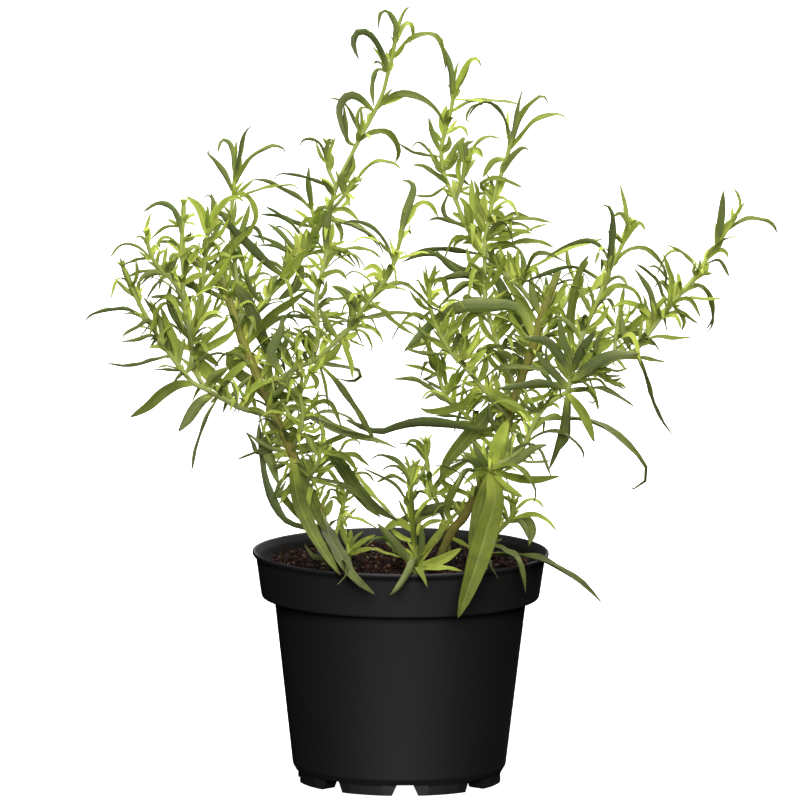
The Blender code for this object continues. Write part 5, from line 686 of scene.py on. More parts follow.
    ("right_bud", "right_sweep", (0.9, 0.7),
     [(92, 184), (93, 195, -34), (95, 203, -30)],
     [(2.0, (94, 200), (96.5, 216)),
      (1.4, (93, 196), (98, 202), (99, 208)),
      (1.4, (93, 197), (89, 203), (87, 210))]),
    ("right_back", "right_main", (1.6, 0.8),
     [(51, 172), (55, 182, 22), (60, 191, 40), (66, 200, 54), (72, 210, 64), (77, 221, 72)],
     [(3.0, (54, 179), (61, 182), (68, 188)),
      (2.6, (58, 187), (54, 196), (53, 206)),
      (2.8, (62, 194), (71, 197), (79, 203)),
      (2.4, (68, 203), (64, 212), (63, 221)),
      (2.2, (72, 210), (79, 213), (86, 217)),
      (1.8, (76, 218), (73, 226), (72, 234)),
      (1.8, (77, 220), (82, 228))]),
]

FRONT_ROSETTE = [
    ("front_rosette", None, (2.6, 1.6),
     [(6, 88, -38), (6.5, 91, -38), (6.6, 95, -38)],
     [(3.6, (6.5, 93), (-2.5, 103.5, -46), (-10.4, 112.5, -50)),
      (2.0, (6.5, 94.5), (6, 106, -33)),
      (3.0, (6.6, 94), (12.8, 102.6, -32), (18.4, 107.5, -28)),
      (4.0, (6.6, 93.5), (17.2, 96.2, -36), (26.5, 101.5, -34)),
      (2.2, (6.5, 92.8), (13, 92.9, -48), (20, 93, -50), (27.3, 91.6, -51)),
      (3.6, (6.5, 94), (5.4, 95, -62), (0.7, 87, -73), (-4.6, 81.1, -77)),
      (3.0, (6.6, 93.4), (7.6, 93, -63), (10.3, 88, -70), (11.8, 84.6, -72)),
      (2.0, (6.5, 94), (-2, 100.5, -30), (-7, 104, -26)),
      (2.4, (6.5, 94), (1, 99, -30), (-4, 100.5, -24)),
      (1.6, (6.5, 94), (-4, 104, -38), (-11, 105.5, -42), (-15, 102, -46)),
      (2.6, (6.6, 94), (9, 103, -44), (9, 112, -50))]),
]

LEFT_ROSETTE = [
    ("left_rosette", None, (1.8, 1.2),
     [(-22.5, 86, -12), (-22.5, 94, -13), (-23, 103, -14)],
     [(2.2, (-22.8, 101), (-25, 107, -16), (-26, 113, -18)),
      (2.0, (-22.9, 101), (-21.5, 109, -16)),
      (1.8, (-22.7, 98), (-17, 100, -24), (-12, 101, -30)),
      (1.2, (-22.7, 99), (-13, 100.8, -17), (-5, 98.6, -12), (1, 97, -8)),
      (2.0, (-22.8, 100), (-16, 104.5, -18), (-11, 107, -20))]),
]

MIDDLE_SHOOT = [
    ("middle_shoot", None, (1.6, 0.9),
     [(6, 92, 14), (5.5, 105, 14), (4.3, 116), (3.7, 127, 12), (6, 137, 10)],
     [(1.2, (3.8, 125), (3, 131), (-0.5, 136), (-5, 137), (-9, 134.5)),
      (1.5, (4, 128), (-3, 132.5), (-8, 131), (-11, 129.5)),
      (1.0, (4.2, 119), (-2, 128), (-8, 132), (-17, 136)),
      (1.1, (5, 110), (1, 118), (-1, 122.5)),
      (2.2, (4, 129), (7.5, 136), (10, 137)),
      (2.6, (4.2, 129), (5, 136), (8.5, 140)),
      (1.4, (5, 112), (11, 121), (17, 124)),
      (3.4, (5.3, 108), (-1, 112.5), (-8, 108.5)),
      (1.8, (5.4, 106), (12, 112), (20, 113.5)),
      (2.0, (5.5, 104), (0, 106), (-5, 110))]),
]

THIN_SHOOT = [
    ("thin_shoot", None, (1.4, 0.8),
     [(20, 92, 30), (21, 106, 29), (18, 116, 28), (14, 126, 26), (12, 134), (11, 141, 22),
      (10.5, 147, 20)],
     [(1.5, (11, 141), (8, 147), (4, 148), (2, 145)),
      (1.8, (11, 140), (12.5, 149)),
      (1.0, (12, 135), (5, 136), (0.5, 139)),
      (2.8, (14, 126), (19, 133), (25, 137.5), (30, 140)),
      (1.3, (13, 130), (9, 131.5), (3, 134), (-1, 133)),
      (1.2, (13, 131), (20, 138.5), (27, 140)),
      (1.6, (15, 124), (20, 126), (25, 126.5)),
      (1.4, (17, 118), (11, 119), (7, 115))]),
]

RIGHT_SHOOT = [
    ("right_shoot", None, (1.8, 0.9),
     [(35.5, 91, -12), (38, 99, -13), (41.5, 107.3, -14), (47.5, 114, -16), (49.7, 121, -18)],
     [(2.0, (47.5, 114), (57.6, 116.3), (64, 113.5), (68, 109)),
      (3.8, (47, 113.5), (54, 114.5), (57.5, 109.6), (56, 102.5)),
      (2.0, (48, 115), (48, 122), (43, 124.6)),
      (1.3, (48.8, 117.5), (55, 122.5), (60, 122), (62.5, 118.5)),
      (1.2, (49, 119), (49, 124), (51.5, 127)),
      (1.6, (38.5, 100), (50, 98.8, -28), (57, 98, -38), (64, 95.8, -44), (77.8, 87.5, -52),
       (87.9, 78.1, -56)),
      (2.6, (40, 104), (50, 98, -45), (53.2, 90, -54), (54.4, 82.4, -57)),
      (1.8, (37.5, 98), (38.5, 95.3, -54), (42.7, 88.4, -61)),
      (1.6, (39, 102), (34, 104), (30, 101))]),
]

PLANTS = [
    ("left_stem", LEFT_STEM),
    ("right_stem", RIGHT_STEM),
    ("front_rosette", FRONT_ROSETTE),
    ("left_rosette", LEFT_ROSETTE),
    ("middle_shoot", MIDDLE_SHOOT),
    ("thin_shoot", THIN_SHOOT),
    ("right_shoot", RIGHT_SHOOT),
]


# Leaves that only the dressed plant has, by plant: the width seen, the age from 0 to 1, and the
# places from the leaf's foot to its tip
MORE_LEAVES = {
    "left_stem": [
        (3.4, 0.6, (-95.5, 181), (-98.5, 190), (-102, 198), (-105, 206)),
        (2.4, 0.3, (-91.5, 196), (-93, 204), (-94.5, 213.5)),
        (2.4, 0.15, (-90, 196), (-88, 203), (-86.5, 211.5)),
        (1.9, 0.2, (-89, 196), (-86, 204), (-82.5, 213)),
        (2.8, 0.05, (-87, 190), (-82, 195), (-75, 201.5)),
        (1.7, 0.3, (-91, 190), (-88, 198), (-84, 203), (-78, 203.5)),
        (3.4, 0.55, (-87, 187), (-82, 189.5), (-76, 193), (-72.5, 196)),
        (3.0, 0.7, (-90, 187), (-85, 184.5), (-79.5, 180)),
        (2.5, 0.5, (-91, 187), (-95, 188.5), (-99, 192), (-101, 197)),
        (2.2, 0.3, (-96, 181), (-96, 187), (-94, 192.5)),
        (1.6, 0.25, (-95, 198), (-96.5, 203), (-98.5, 206)),
        (2.0, 0.8, (-80.5, 174.5), (-78, 177), (-75.5, 179)),
        (2.4, 0.85, (-73, 181.5), (-71, 184), (-69, 186.5)),
        (3.0, 0.45, (-90, 183), (-87, 178), (-82, 172)),
        (2.4, 0.7, (-68, 162.5), (-66, 166), (-63.5, 170)),
        (1.8, 0.8, (-68, 163), (-64, 161.5), (-59.5, 160.5)),
        (2.6, 0.3, (-95, 216.5), (-91, 218.5), (-87.5, 220.5)),
        (2.2, 0.15, (-87, 215), (-85.5, 218.5), (-83, 220.5)),
        (1.9, 0.6, (-103, 219.5), (-108, 220.5), (-112, 219), (-115, 215)),
        (1.0, 0.7, (-97, 208), (-103, 210), (-110, 209.5)),
        (1.0, 0.7, (-104, 218), (-108, 213.5), (-111, 208.5)),
        (4.2, 0.65, (-44.5, 223.5), (-46, 216.5), (-50, 212.5), (-54.5, 209.5)),
        (1.7, 0.75, (-37, 201.5), (-44, 202), (-52, 202.5)),
        (1.6, 0.7, (-37, 203.5), (-29, 202.8), (-23, 204)),
        (1.2, 0.7, (-36, 202), (-30, 201.8), (-23, 200.5)),
        (1.1, 0.7, (-36, 200.5), (-30, 200), (-24, 198)),
        (2.5, 0.45, (-28, 193.5), (-32, 198), (-36, 206)),
        (2.8, 0.4, (-36.5, 186), (-34, 190), (-30.5, 195.5)),
        (3.2, 0.08, (-35, 182.5), (-30, 186), (-26, 191.5)),
        (1.9, 0.1, (-35, 182.5), (-30, 184), (-25.5, 183.5)),
        (2.8, 0.3, (-26, 192.5), (-22.5, 193.5), (-19, 195.5)),
        (2.2, 0.4, (-26, 192.5), (-24, 190.5), (-23, 187.5)),
        (0.9, 0.7, (-22, 191.5), (-18.5, 190), (-15.5, 189)),
        (2.4, 0.75, (-40, 184.5), (-41.5, 189), (-44.5, 193.5)),
        (2.4, 0.8, (-39.5, 184), (-40, 187), (-40, 190.5)),
        (1.5, 0.6, (-38, 179), (-41, 175.5), (-43, 170)),
        (2.2, 0.75, (-38, 178), (-37, 174), (-37.5, 170)),
        (1.2, 0.6, (-43, 170), (-40, 171), (-36.5, 172)),
        (1.2, 0.65, (-46, 178.5), (-44, 176), (-43, 173)),
        (1.0, 0.6, (-45, 176), (-48, 175), (-47, 172.5), (-45.5, 170.5)),
        (1.9, 0.25, (-21.5, 204), (-24, 210), (-27, 213), (-31, 215.5)),
        (1.5, 0.7, (-37.5, 206), (-41, 208.5), (-45, 211)),
        (0.9, 0.6, (-38.5, 195), (-41, 202), (-46, 208)),
        (1.1, 0.65, (-38.5, 202.5), (-42, 205.5), (-46, 208)),
        (1.3, 0.7, (-38, 212), (-42, 213.5), (-46, 213.3)),
        (1.0, 0.6, (-41, 231.5), (-36, 232.6), (-30, 232.3)),
        (2.0, 0.55, (-18, 203.5), (-13, 206.8), (-9, 208.7)),
        (1.1, 0.6, (-13, 206.8), (-8, 205), (-4, 203)),
        (1.8, 0.75, (-20, 200.5), (-12, 202), (-4, 203.7), (4, 203.2), (10.5, 200)),
        (1.7, 0.6, (-9, 205), (-3, 199.5), (1, 196.7), (6.5, 193.5)),
        (1.8, 0.75, (-39, 241.5), (-46, 243), (-54, 246), (-63, 247)),
        (1.4, 0.55, (-43, 236), (-49, 243), (-55, 247.3), (-60.5, 250.5)),
        (2.0, 0.7, (-45, 229), (-50, 234.5), (-55, 240), (-60, 243)),
        (1.8, 0.5, (-48, 229), (-54, 233), (-60, 236), (-67, 237.8)),
        (0.9, 0.65, (-51, 230.5), (-57, 233), (-64, 233.2)),
        (2.2, 0.35, (-52, 222), (-50, 227), (-46, 232.5)),
        (0.9, 0.7, (-52, 224), (-51, 231), (-52, 237)),
        (2.3, 0.35, (-71, 239), (-68.5, 245), (-67, 251)),
        (1.5, 0.45, (-74, 240), (-72, 243.5), (-69.5, 246.5)),
        (2.0, 0.45, (-24.5, 279), (-25.5, 287), (-26, 294.5)),
        (2.0, 0.25, (-40.5, 231), (-38, 235), (-36.5, 239)),
        (2.3, 0.12, (-32, 232), (-31, 238), (-30.5, 243.5)),
        (2.2, 0.3, (-38.5, 241), (-36.5, 246), (-34, 249)),
        (1.6, 0.5, (-24, 262), (-21.5, 267), (-21.5, 272)),
        (1.9, 0.3, (-26, 259), (-24, 263), (-22, 266)),
        (1.4, 0.6, (-25, 255.5), (-22, 258), (-19, 260.3)),
        (1.8, 0.35, (-10, 293.5), (-4, 297), (0.5, 298.5)),
        (1.0, 0.65, (-29, 243.5), (-20, 241), (-14, 237), (-9.5, 231.5)),
        (1.2, 0.6, (-31, 232.5), (-24, 230.5), (-20, 227), (-18.5, 222.5)),
        (1.0, 0.65, (-29, 231), (-24, 229), (-20, 224)),
        (1.0, 0.5, (-19, 211), (-15, 215.5), (-9.5, 217.3)),
        (4.4, 0.65, (-59, 146), (-57, 139), (-55, 133), (-53.5, 128.5)),
        (2.1, 0.5, (-54.5, 123), (-52, 127), (-50, 131)),
        (3.0, 0.6, (-51, 124.5), (-48, 119), (-44.5, 113.5)),
        (2.2, 0.5, (-60, 158), (-57, 154.5), (-54, 150), (-52.5, 146)),
        (1.0, 0.5, (-63, 159), (-60, 152), (-56.5, 146)),
        (1.5, 0.6, (-62.5, 147), (-62.5, 152), (-62, 157)),
        (1.5, 0.75, (-61, 146), (-60.3, 152), (-59, 158)),
        (0.7, 0.5, (-59, 150), (-57.5, 152), (-55.5, 153.5)),
        (2.0, 0.6, (-62, 142), (-65, 147), (-68.3, 151.7)),
        (2.6, 0.5, (-55.5, 141), (-53, 141.7), (-50, 141.5)),
        (1.0, 0.7, (-55, 136), (-53.5, 140), (-50.5, 142)),
        (1.0, 0.7, (-55, 136), (-52, 136.6), (-49.5, 138)),
        (2.0, 0.85, (-49.5, 153.3), (-46, 152), (-47.3, 148)),
        (1.4, 0.35, (-45, 146.5), (-43.5, 149), (-41.8, 152)),
        (2.4, 0.8, (-41.5, 150), (-38, 149), (-35, 151)),
        (1.3, 0.75, (-36.5, 158.7), (-28, 154.3), (-20, 151.8), (-13.5, 150)),
        (2.0, 0.8, (-27, 142), (-20, 141.8), (-17, 139.5), (-13.5, 136.8)),
        (2.6, 0.75, (-26, 142), (-22, 139), (-19, 134.3)),
        (0.8, 0.7, (-27.5, 143), (-24.5, 147), (-21, 148.5), (-18.3, 147.5), (-18, 145)),
        (0.8, 0.7, (-20, 132.5), (-17, 134), (-14, 133), (-11.3, 129)),
        (1.8, 0.5, (-20, 133), (-14, 126), (-8, 119.8), (-1.5, 113.8)),
        (1.5, 0.6, (-40, 130.5), (-32, 129), (-24, 126.3)),
        (1.0, 0.4, (-38.5, 130), (-36.5, 126.5), (-35.3, 123)),
        (1.0, 0.4, (-35.3, 123), (-34, 127), (-32.5, 129.5)),
        (3.2, 0.55, (-33, 116), (-31.5, 119), (-30, 122.5)),
        (0.9, 0.6, (-21, 124.5), (-15, 118.5), (-9, 114.3)),
        (1.1, 0.35, (-96, 242), (-92.5, 245), (-89.5, 245.7)),
        (0.8, 0.6, (-96, 241.5), (-92, 242), (-89, 240.8)),
        (1.8, 0.12, (-85, 236.5), (-82.5, 241), (-80, 245.5)),
        (0.8, 0.65, (-84, 242), (-80, 243), (-77, 241.5)),
        (2.2, 0.4, (-85, 235), (-82, 233), (-79, 230.3)),
        (1.7, 0.6, (-87, 227), (-85.5, 231), (-84, 234)),
        (0.8, 0.65, (-107, 225), (-105.5, 229), (-101.5, 230.7)),
        (2.0, 0.55, (-103, 221), (-100, 223), (-97.5, 227.5)),
        (1.9, 0.75, (-95, 219), (-93, 222), (-90.5, 223.7)),
        (0.9, 0.7, (-81, 237), (-78.5, 235), (-76.5, 233)),
    ],
    "right_stem": [
        (2.8, 0.6, (50, 219.5), (47.5, 226), (45.5, 232)),
        (2.0, 0.05, (50.3, 220), (50, 227), (50.5, 233)),
        (2.4, 0.45, (51, 220.5), (53, 225), (51.5, 232)),
        (3.6, 0.6, (58, 201), (53, 208), (48, 215), (43.5, 220.3)),
        (1.7, 0.55, (54, 222.5), (62, 227), (70, 231.5), (79, 234.5), (88, 237)),
        (2.8, 0.45, (38.5, 248), (42, 247.8), (45, 245)),
        (1.5, 0.75, (43.5, 245.5), (49, 247.7), (55.5, 246.5)),
        (2.6, 0.35, (39, 238.5), (43, 241.5), (46.5, 244.5)),
        (2.1, 0.4, (46, 238.5), (47, 241.5), (47.5, 245)),
        (1.5, 0.75, (46.5, 243.5), (52, 243), (57.5, 239.5)),
        (1.4, 0.45, (52, 240), (58, 241.7), (64.5, 243.7)),
        (1.2, 0.6, (37, 239.8), (44, 239.7), (51, 237.8)),
        (2.4, 0.65, (35.5, 233.5), (41, 234), (47.5, 235.5)),
        (3.8, 0.6, (34, 233), (32.7, 238), (35, 244)),
        (2.6, 0.05, (35.5, 239), (33.5, 244), (30.5, 249)),
        (2.4, 0.15, (30, 239), (28.7, 245), (26.7, 251)),
        (1.8, 0.65, (34, 233), (30, 235.3), (26, 234.7)),
        (2.3, 0.55, (25, 221.5), (19, 226), (15, 229.3), (8, 229.6), (-0.5, 226)),
        (2.4, 0.8, (17.5, 218.5), (19, 214.5), (20.5, 210.3)),
        (1.6, 0.7, (24, 220), (18.5, 218.7), (15, 217.8), (13.3, 214.3)),
        (1.3, 0.6, (31.5, 217.2), (26, 215), (21, 211.5), (16.5, 207.5)),
        (2.0, 0.7, (31, 216), (33.3, 214.3), (34.7, 210.7)),
        (2.2, 0.7, (42.3, 210), (41, 213), (39.5, 216)),
        (2.1, 0.7, (27.5, 210), (28.7, 212), (30.5, 210.5)),
        (1.4, 0.65, (11.5, 209), (14, 207.5), (17, 206)),
        (1.3, 0.6, (12.5, 205), (10, 202.5), (7.5, 200.7)),
        (2.5, 0.05, (17.5, 192), (18, 197), (20.7, 202)),
        (2.2, 0.25, (20, 189.5), (21.5, 195), (24, 200.5)),
        (1.9, 0.5, (19.5, 191), (21.5, 193.5), (23.5, 196)),
        (1.6, 0.2, (25.5, 186.5), (24.5, 193), (23.3, 200.5)),
        (2.5, 0.6, (24, 198.5), (25.5, 202), (29, 204.7)),
        (2.1, 0.55, (28.5, 195.5), (31.5, 198.3), (34.5, 200.7)),
        (1.3, 0.75, (28.3, 189), (29.3, 192), (32, 195)),
        (1.7, 0.05, (29, 186), (32.5, 191), (34.5, 197)),
        (1.5, 0.45, (31, 188), (34, 191.5), (37.7, 194.8)),
        (3.0, 0.35, (30, 182), (33.5, 185), (37, 188.5)),
        (1.5, 0.2, (27, 183.8), (30, 185), (33, 187)),
        (3.0, 0.65, (34.5, 176), (36.5, 181), (36, 186)),
        (2.6, 0.75, (37.5, 189), (40.5, 186.3), (43.3, 182.5)),
        (3.4, 0.55, (41, 198.5), (42.5, 202.3), (46, 205)),
        (3.2, 0.8, (42.3, 191.5), (43.7, 196), (48.5, 200)),
        (2.3, 0.9, (54, 187), (50, 190.3), (45.5, 191.7)),
        (1.8, 0.9, (54, 190.5), (51.5, 193), (48.3, 195.5)),
        (2.2, 0.9, (53, 182), (51, 184.5), (48, 187)),
        (2.4, 0.5, (49.3, 176.5), (49, 179), (50, 181)),
        (2.4, 0.4, (42, 171), (41, 175), (41.5, 179)),
        (2.4, 0.45, (46.5, 172.5), (46, 176), (44, 179)),
        (1.3, 0.65, (64, 175), (61.5, 177), (59.5, 179.5)),
        (2.9, 0.65, (61, 197.5), (63.5, 201.5), (65, 206)),
        (2.4, 0.5, (65, 196.5), (67, 199), (68.7, 202)),
        (2.3, 0.75, (69.3, 189.5), (67.7, 192.5), (64.7, 194)),
        (2.2, 0.6, (61.5, 185.5), (60.5, 188), (61.5, 191)),
        (1.9, 0.15, (73, 174.5), (69.5, 179.5), (65.7, 184.7)),
        (2.0, 0.65, (60.8, 208), (60, 211), (58.3, 214)),
        (3.3, 0.3, (85.5, 194.5), (89, 196.7), (93, 198.5)),
        (4.0, 0.55, (84.5, 187.5), (88.5, 190.3), (92.5, 193)),
        (2.4, 0.25, (78, 181.5), (80.7, 185), (83.3, 188.7)),
        (2.6, 0.85, (99, 193.5), (102.5, 195.5), (105.5, 193.3)),
        (1.3, 0.8, (99.5, 195.5), (103, 197.3), (107, 196.7)),
        (2.0, 0.6, (103.5, 189.3), (107, 191.8), (110.5, 190.3)),
        (1.6, 0.75, (84.5, 177.5), (89, 175.3), (93.5, 172.3)),
        (1.8, 0.75, (88.5, 175.5), (92.5, 174.8), (96, 176.5)),
        (1.2, 0.7, (91, 174), (95, 173.5), (98, 171)),
        (1.4, 0.4, (74.5, 170), (81, 170.3), (84, 166.5), (85.3, 162)),
        (0.8, 0.5, (84, 168.5), (83.8, 165.8), (82, 165.2), (81, 167)),
        (1.0, 0.65, (113.3, 212), (111, 218), (107, 222), (101.5, 225.7)),
        (0.8, 0.65, (115, 220), (112, 223.5), (109, 225), (106.5, 224)),
        (2.4, 0.1, (111, 206.5), (112.5, 209), (114.5, 212)),
        (1.8, 0.5, (118.5, 210.5), (117.3, 215), (115.8, 219.5)),
        (1.9, 0.7, (104, 205.5), (106, 208.5), (104.7, 212.5)),
        (1.2, 0.6, (99.5, 204), (102, 207), (105, 209.3)),
        (1.1, 0.55, (127, 217.3), (132, 214.3), (134.7, 207), (135.3, 200), (133, 196.2), (130.7, 196.6)),
        (1.6, 0.65, (120, 205.3), (122.7, 201), (121.7, 196.7)),
        (1.4, 0.7, (121, 205), (125, 202.3), (129, 199.7)),
        (1.8, 0.5, (76.5, 201), (77.7, 198.5), (78, 195.5)),
        (1.5, 0.5, (79.5, 194), (82, 196.5), (85, 198)),
        (1.5, 0.35, (131, 221.5), (132.5, 224), (133.7, 227.3)),
        (1.3, 0.65, (86.7, 217), (84.5, 215.3), (81.5, 213.7)),
        (1.6, 0.6, (78, 214), (79, 218), (79.7, 222)),
        (2.4, 0.35, (19, 268), (21, 273.5), (24.5, 278)),
        (2.2, 0.35, (18, 274), (20, 277.5), (20, 282)),
        (2.4, 0.3, (20.5, 271), (22.5, 276), (26.5, 281.5)),
        (2.0, 0.6, (19.5, 267.5), (22, 270.3), (24.5, 273.5)),
        (2.2, 0.5, (27.3, 274), (27.5, 278), (31, 279.3)),
        (1.5, 0.55, (28.5, 275), (33, 275.7), (35, 272.3)),
        (1.5, 0.6, (17, 278.5), (15.3, 281.3), (13.5, 284)),
        (1.6, 0.35, (16.7, 264.5), (15, 268.5), (12.7, 271.7)),
        (1.7, 0.7, (19.5, 265.3), (24, 263.7), (29.5, 260)),
        (1.0, 0.45, (25, 257), (27, 258.5), (29.5, 259.5)),
        (2.9, 0.6, (30, 242.5), (29.3, 247.5), (27.3, 252), (24.5, 255)),
        (2.0, 0.65, (33, 253.5), (32.7, 258), (31, 262.3)),
        (1.3, 0.7, (31, 255.7), (35, 256.6), (39, 256.3)),
        (2.8, 0.15, (36, 246), (35, 251), (36, 257)),
        (1.4, 0.5, (40, 250.5), (42, 254.7), (46, 253.7)),
        (1.9, 0.55, (35.5, 258), (36.3, 260), (38, 261.7)),
        (1.8, 0.6, (24.7, 245.7), (23.3, 247.3), (21.7, 248.3)),
        (2.0, 0.65, (21.7, 254), (20.5, 256.3), (18.7, 258.3)),
        (1.1, 0.5, (35, 296.8), (30, 294.8), (27.7, 291), (27.7, 288.5), (29.7, 287.3)),
        (2.4, 0.7, (18, 130.5), (24, 135.5), (30, 139.5)),
        (1.0, 0.7, (34, 137.5), (28, 140.3), (21.5, 138)),
        (2.0, 0.4, (34.5, 138.5), (31.7, 142.5), (29.3, 147.3)),
        (1.2, 0.55, (34, 139), (30, 141.3), (26.3, 143.3)),
        (2.5, 0.75, (40.5, 149), (36.5, 151.2), (32, 148.7)),
        (1.4, 0.75, (37.3, 143.3), (38.3, 147), (35.5, 149)),
        (3.2, 0.9, (44.7, 161), (43, 158.7), (40.7, 156.3)),
        (2.2, 0.3, (48.7, 153), (49.5, 155.5), (52, 157.5)),
        (0.8, 0.65, (54.7, 150.5), (55.2, 154), (53.5, 157)),
        (2.4, 0.4, (47, 144.5), (47.7, 148), (49, 152)),
        (3.0, 0.15, (44, 140), (47, 143), (51, 145.5)),
        (1.0, 0.4, (44, 135.3), (48, 136.5), (50.5, 134.7)),
        (1.4, 0.65, (44.5, 127.7), (48, 125.7), (52.5, 123.7)),
        (1.8, 0.55, (18, 179.5), (19, 175), (20.3, 170)),
        (1.4, 0.55, (21.3, 171.5), (21.7, 175), (22.7, 178.3)),
        (2.3, 0.5, (23.5, 173.5), (26, 177.5), (29, 181)),
        (1.2, 0.75, (24, 168), (28, 169.5), (31.5, 171.3)),
        (1.1, 0.7, (23.5, 171), (25.5, 172.3), (27, 173.5)),
        (0.9, 0.7, (9.5, 174.7), (12, 176.3), (16, 178.7)),
        (1.3, 0.7, (18, 170), (14, 172.5), (10.3, 174.7)),
        (1.8, 0.4, (32, 167), (34, 170.5), (37, 169)),
        (2.0, 0.6, (49, 167), (46.5, 169.7), (43.5, 171)),
        (1.2, 0.7, (56.5, 171.5), (60, 172), (64, 171.5)),
        (2.0, 0.7, (62.5, 166), (65, 167.7), (66.5, 170.5)),
        (1.8, 0.5, (15.3, 178), (13, 181.7), (12.3, 185.5)),
        (1.1, 0.6, (17.5, 181.5), (16.3, 184), (15.3, 186.5)),
        (2.5, 0.5, (12, 190.5), (7, 190.7), (3, 188.3)),
        (2.0, 0.3, (20, 187.7), (16, 190.2), (12.5, 191.7)),
    ],
    "front_rosette": [
        (1.9, 0.85, (6, 110.5), (10, 114.5), (17.5, 116.3)),
        (2.4, 0.65, (21, 113), (23.5, 115.7), (26, 118.5)),
        (2.0, 0.75, (4.7, 126), (6.3, 129.7), (9.3, 131)),
    ],
    "right_shoot": [
        (2.4, 0.7, (52.5, 113), (54.7, 109.5), (55.7, 105.5)),
    ],
}


def pot_outside():
    """The pot's outside in section, from the middle of its underside up to the lip. It stands on
    a ring that notches divide into pads, and on a small pad in the middle."""
    return [
        (0, 0),
        (MIDDLE_PAD_RADIUS, 0),
        (MIDDLE_PAD_RADIUS + 0.6, UNDERSIDE_Z),
        (PAD_INNER_RADIUS - 0.6, UNDERSIDE_Z),
        (PAD_INNER_RADIUS, 0),
        (FOOT_RADIUS, 0),
        (FOOT_RADIUS + 0.2, FOOT_TOP_Z),
        (BODY_LOW_RADIUS - 0.4, FOOT_TOP_Z + 0.5),
        (BODY_LOW_RADIUS, BODY_LOW_Z),
        (BODY_TOP_RADIUS, BODY_TOP_Z),
        (COLLAR_LOW_RADIUS - 2.6, BODY_TOP_Z + 1.3),
        (COLLAR_LOW_RADIUS - 0.3, COLLAR_LOW_Z - 0.5),
        (COLLAR_TOP_RADIUS, COLLAR_TOP_Z),
        (LIP_RADIUS - 0.3, LIP_Z - 1.1),
        (LIP_RADIUS, LIP_Z),
        (LIP_RADIUS - 0.8, POT_HEIGHT),
    ]


def sheet_to_space(across, up, away):
    """Places on the tilted sheet as x, y, z."""
    height = (np.asarray(up) - np.asarray(away) * math.sin(SHEET_TILT)) / math.cos(SHEET_TILT)
    return np.column_stack([across, away, height])


def running_length(points):
    """How far along a row of points each one lies."""
    return np.concatenate([[0.0], np.cumsum(np.linalg.norm(np.diff(points, axis=0), axis=1))])


def smooth(points, count):
    """Evenly spaced places on a Catmull-Rom curve through the points."""
    points = np.asarray(points, dtype=float)
    if len(points) == 2:
        points = np.array([points[0], points.mean(axis=0), points[1]])
    padded = np.concatenate([[2 * points[0] - points[1]], points, [2 * points[-1] - points[-2]]])
    place = np.linspace(0, len(points) - 1, MIDRIB_STEPS * len(points))
    part = np.minimum(place.astype(int), len(points) - 2)
    t = (place - part)[:, None]
    a, b, c, d = (padded[part + k] for k in range(4))
    curve = 0.5 * (2 * b + (c - a) * t + (2 * a - 5 * b + 4 * c - d) * t**2
                   + (3 * b - a - 3 * c + d) * t**3)
    along = running_length(curve)
    even = np.linspace(0, along[-1], count)
    return np.column_stack([np.interp(even, along, curve[:, k]) for k in range(3)])


def fill_away(places, start):
    """The away value of each place: those given, and the others in between by distance."""
    along = running_length(np.array([place[:2] for place in places], dtype=float))
    known = [0] + [k for k, place in enumerate(places) if len(place) == 3 and k > 0]
    values = [start] + [places[k][2] for k in known[1:]]
    return np.interp(along, along[known], values)


def shoot_path(route, parent_path):
    """A shoot's middle line in space, from its parent's middle line or from below the soil."""
    root = None if parent_path is None else nearest_on_sheet(parent_path, route[0])
    away = fill_away(route, route[0][2] if root is None else root[1])
    points = sheet_to_space([place[0] for place in route], [place[1] for place in route], away)
    if root is None:
        points[0, 2] = SOIL_TOP_Z - ROOT_DEPTH
    else:
        ahead = points[1] - root
        points[0] = root - ahead * (ROOT_BITE / np.linalg.norm(ahead))
    return smooth(points, max(8, int(running_length(points)[-1] / PATH_STEP)))


def nearest_on_sheet(path, place):
    """The point of a path that looks nearest to a place on the sheet."""
    up = path[:, 2] * math.cos(SHEET_TILT) + path[:, 1] * math.sin(SHEET_TILT)
    return path[np.argmin((path[:, 0] - place[0])**2 + (up - place[1])**2)]


def leaf_path(places, shoot, lean):
    """A leaf's midrib in space. Where no away value is given, it leans out of the sheet by lean
    times its length, less towards the tip."""
    root = nearest_on_sheet(shoot, places[0])
    flat = np.array([place[:2] for place in places], dtype=float)
    along = running_length(flat)
    if given_depth(places):
        away = fill_away(places, root[1])
    else:
        away = root[1] + lean * along * (1 - 0.35 * along / along[-1])
    points = sheet_to_space(flat[:, 0], flat[:, 1], away)
    points[0] = root
    return smooth(points, MIDRIB_STEPS + 1)


def given_depth(places):
    """Whether a leaf's own places say how far away they are."""
    return any(len(place) == 3 for place in places[1:])


def lance(t):
    """A narrow leaf's half outline: a slim base, widest before the middle, a drawn-out tip."""
    return 0.94 * np.sin(math.pi * t**0.8)**0.85 + 0.28 * (1 - t)**3


def blade_frame(leaf):
    """Across and upper-side directions along a midrib. At no turn the blade faces the leaf's
    facing direction, and a turn swings it about its midrib."""
    ahead = np.gradient(leaf["midrib"], axis=0)
    ahead /= np.linalg.norm(ahead, axis=1)[:, None]
    flat = np.cross(ahead, leaf["facing"])
    flat = flat + 0.3 * flat.mean(axis=0)
    flat -= np.sum(flat * ahead, axis=1)[:, None] * ahead
    flat /= np.linalg.norm(flat, axis=1)[:, None] + 1e-9
    deep = np.cross(ahead, flat)
    turn = leaf["turn"][:, None]
    side = np.cos(turn) * flat + np.sin(turn) * deep
    upper = np.cross(ahead, side)
    if upper[:, 2].mean() < 0:
        side, upper = -side, -upper
    return side, upper


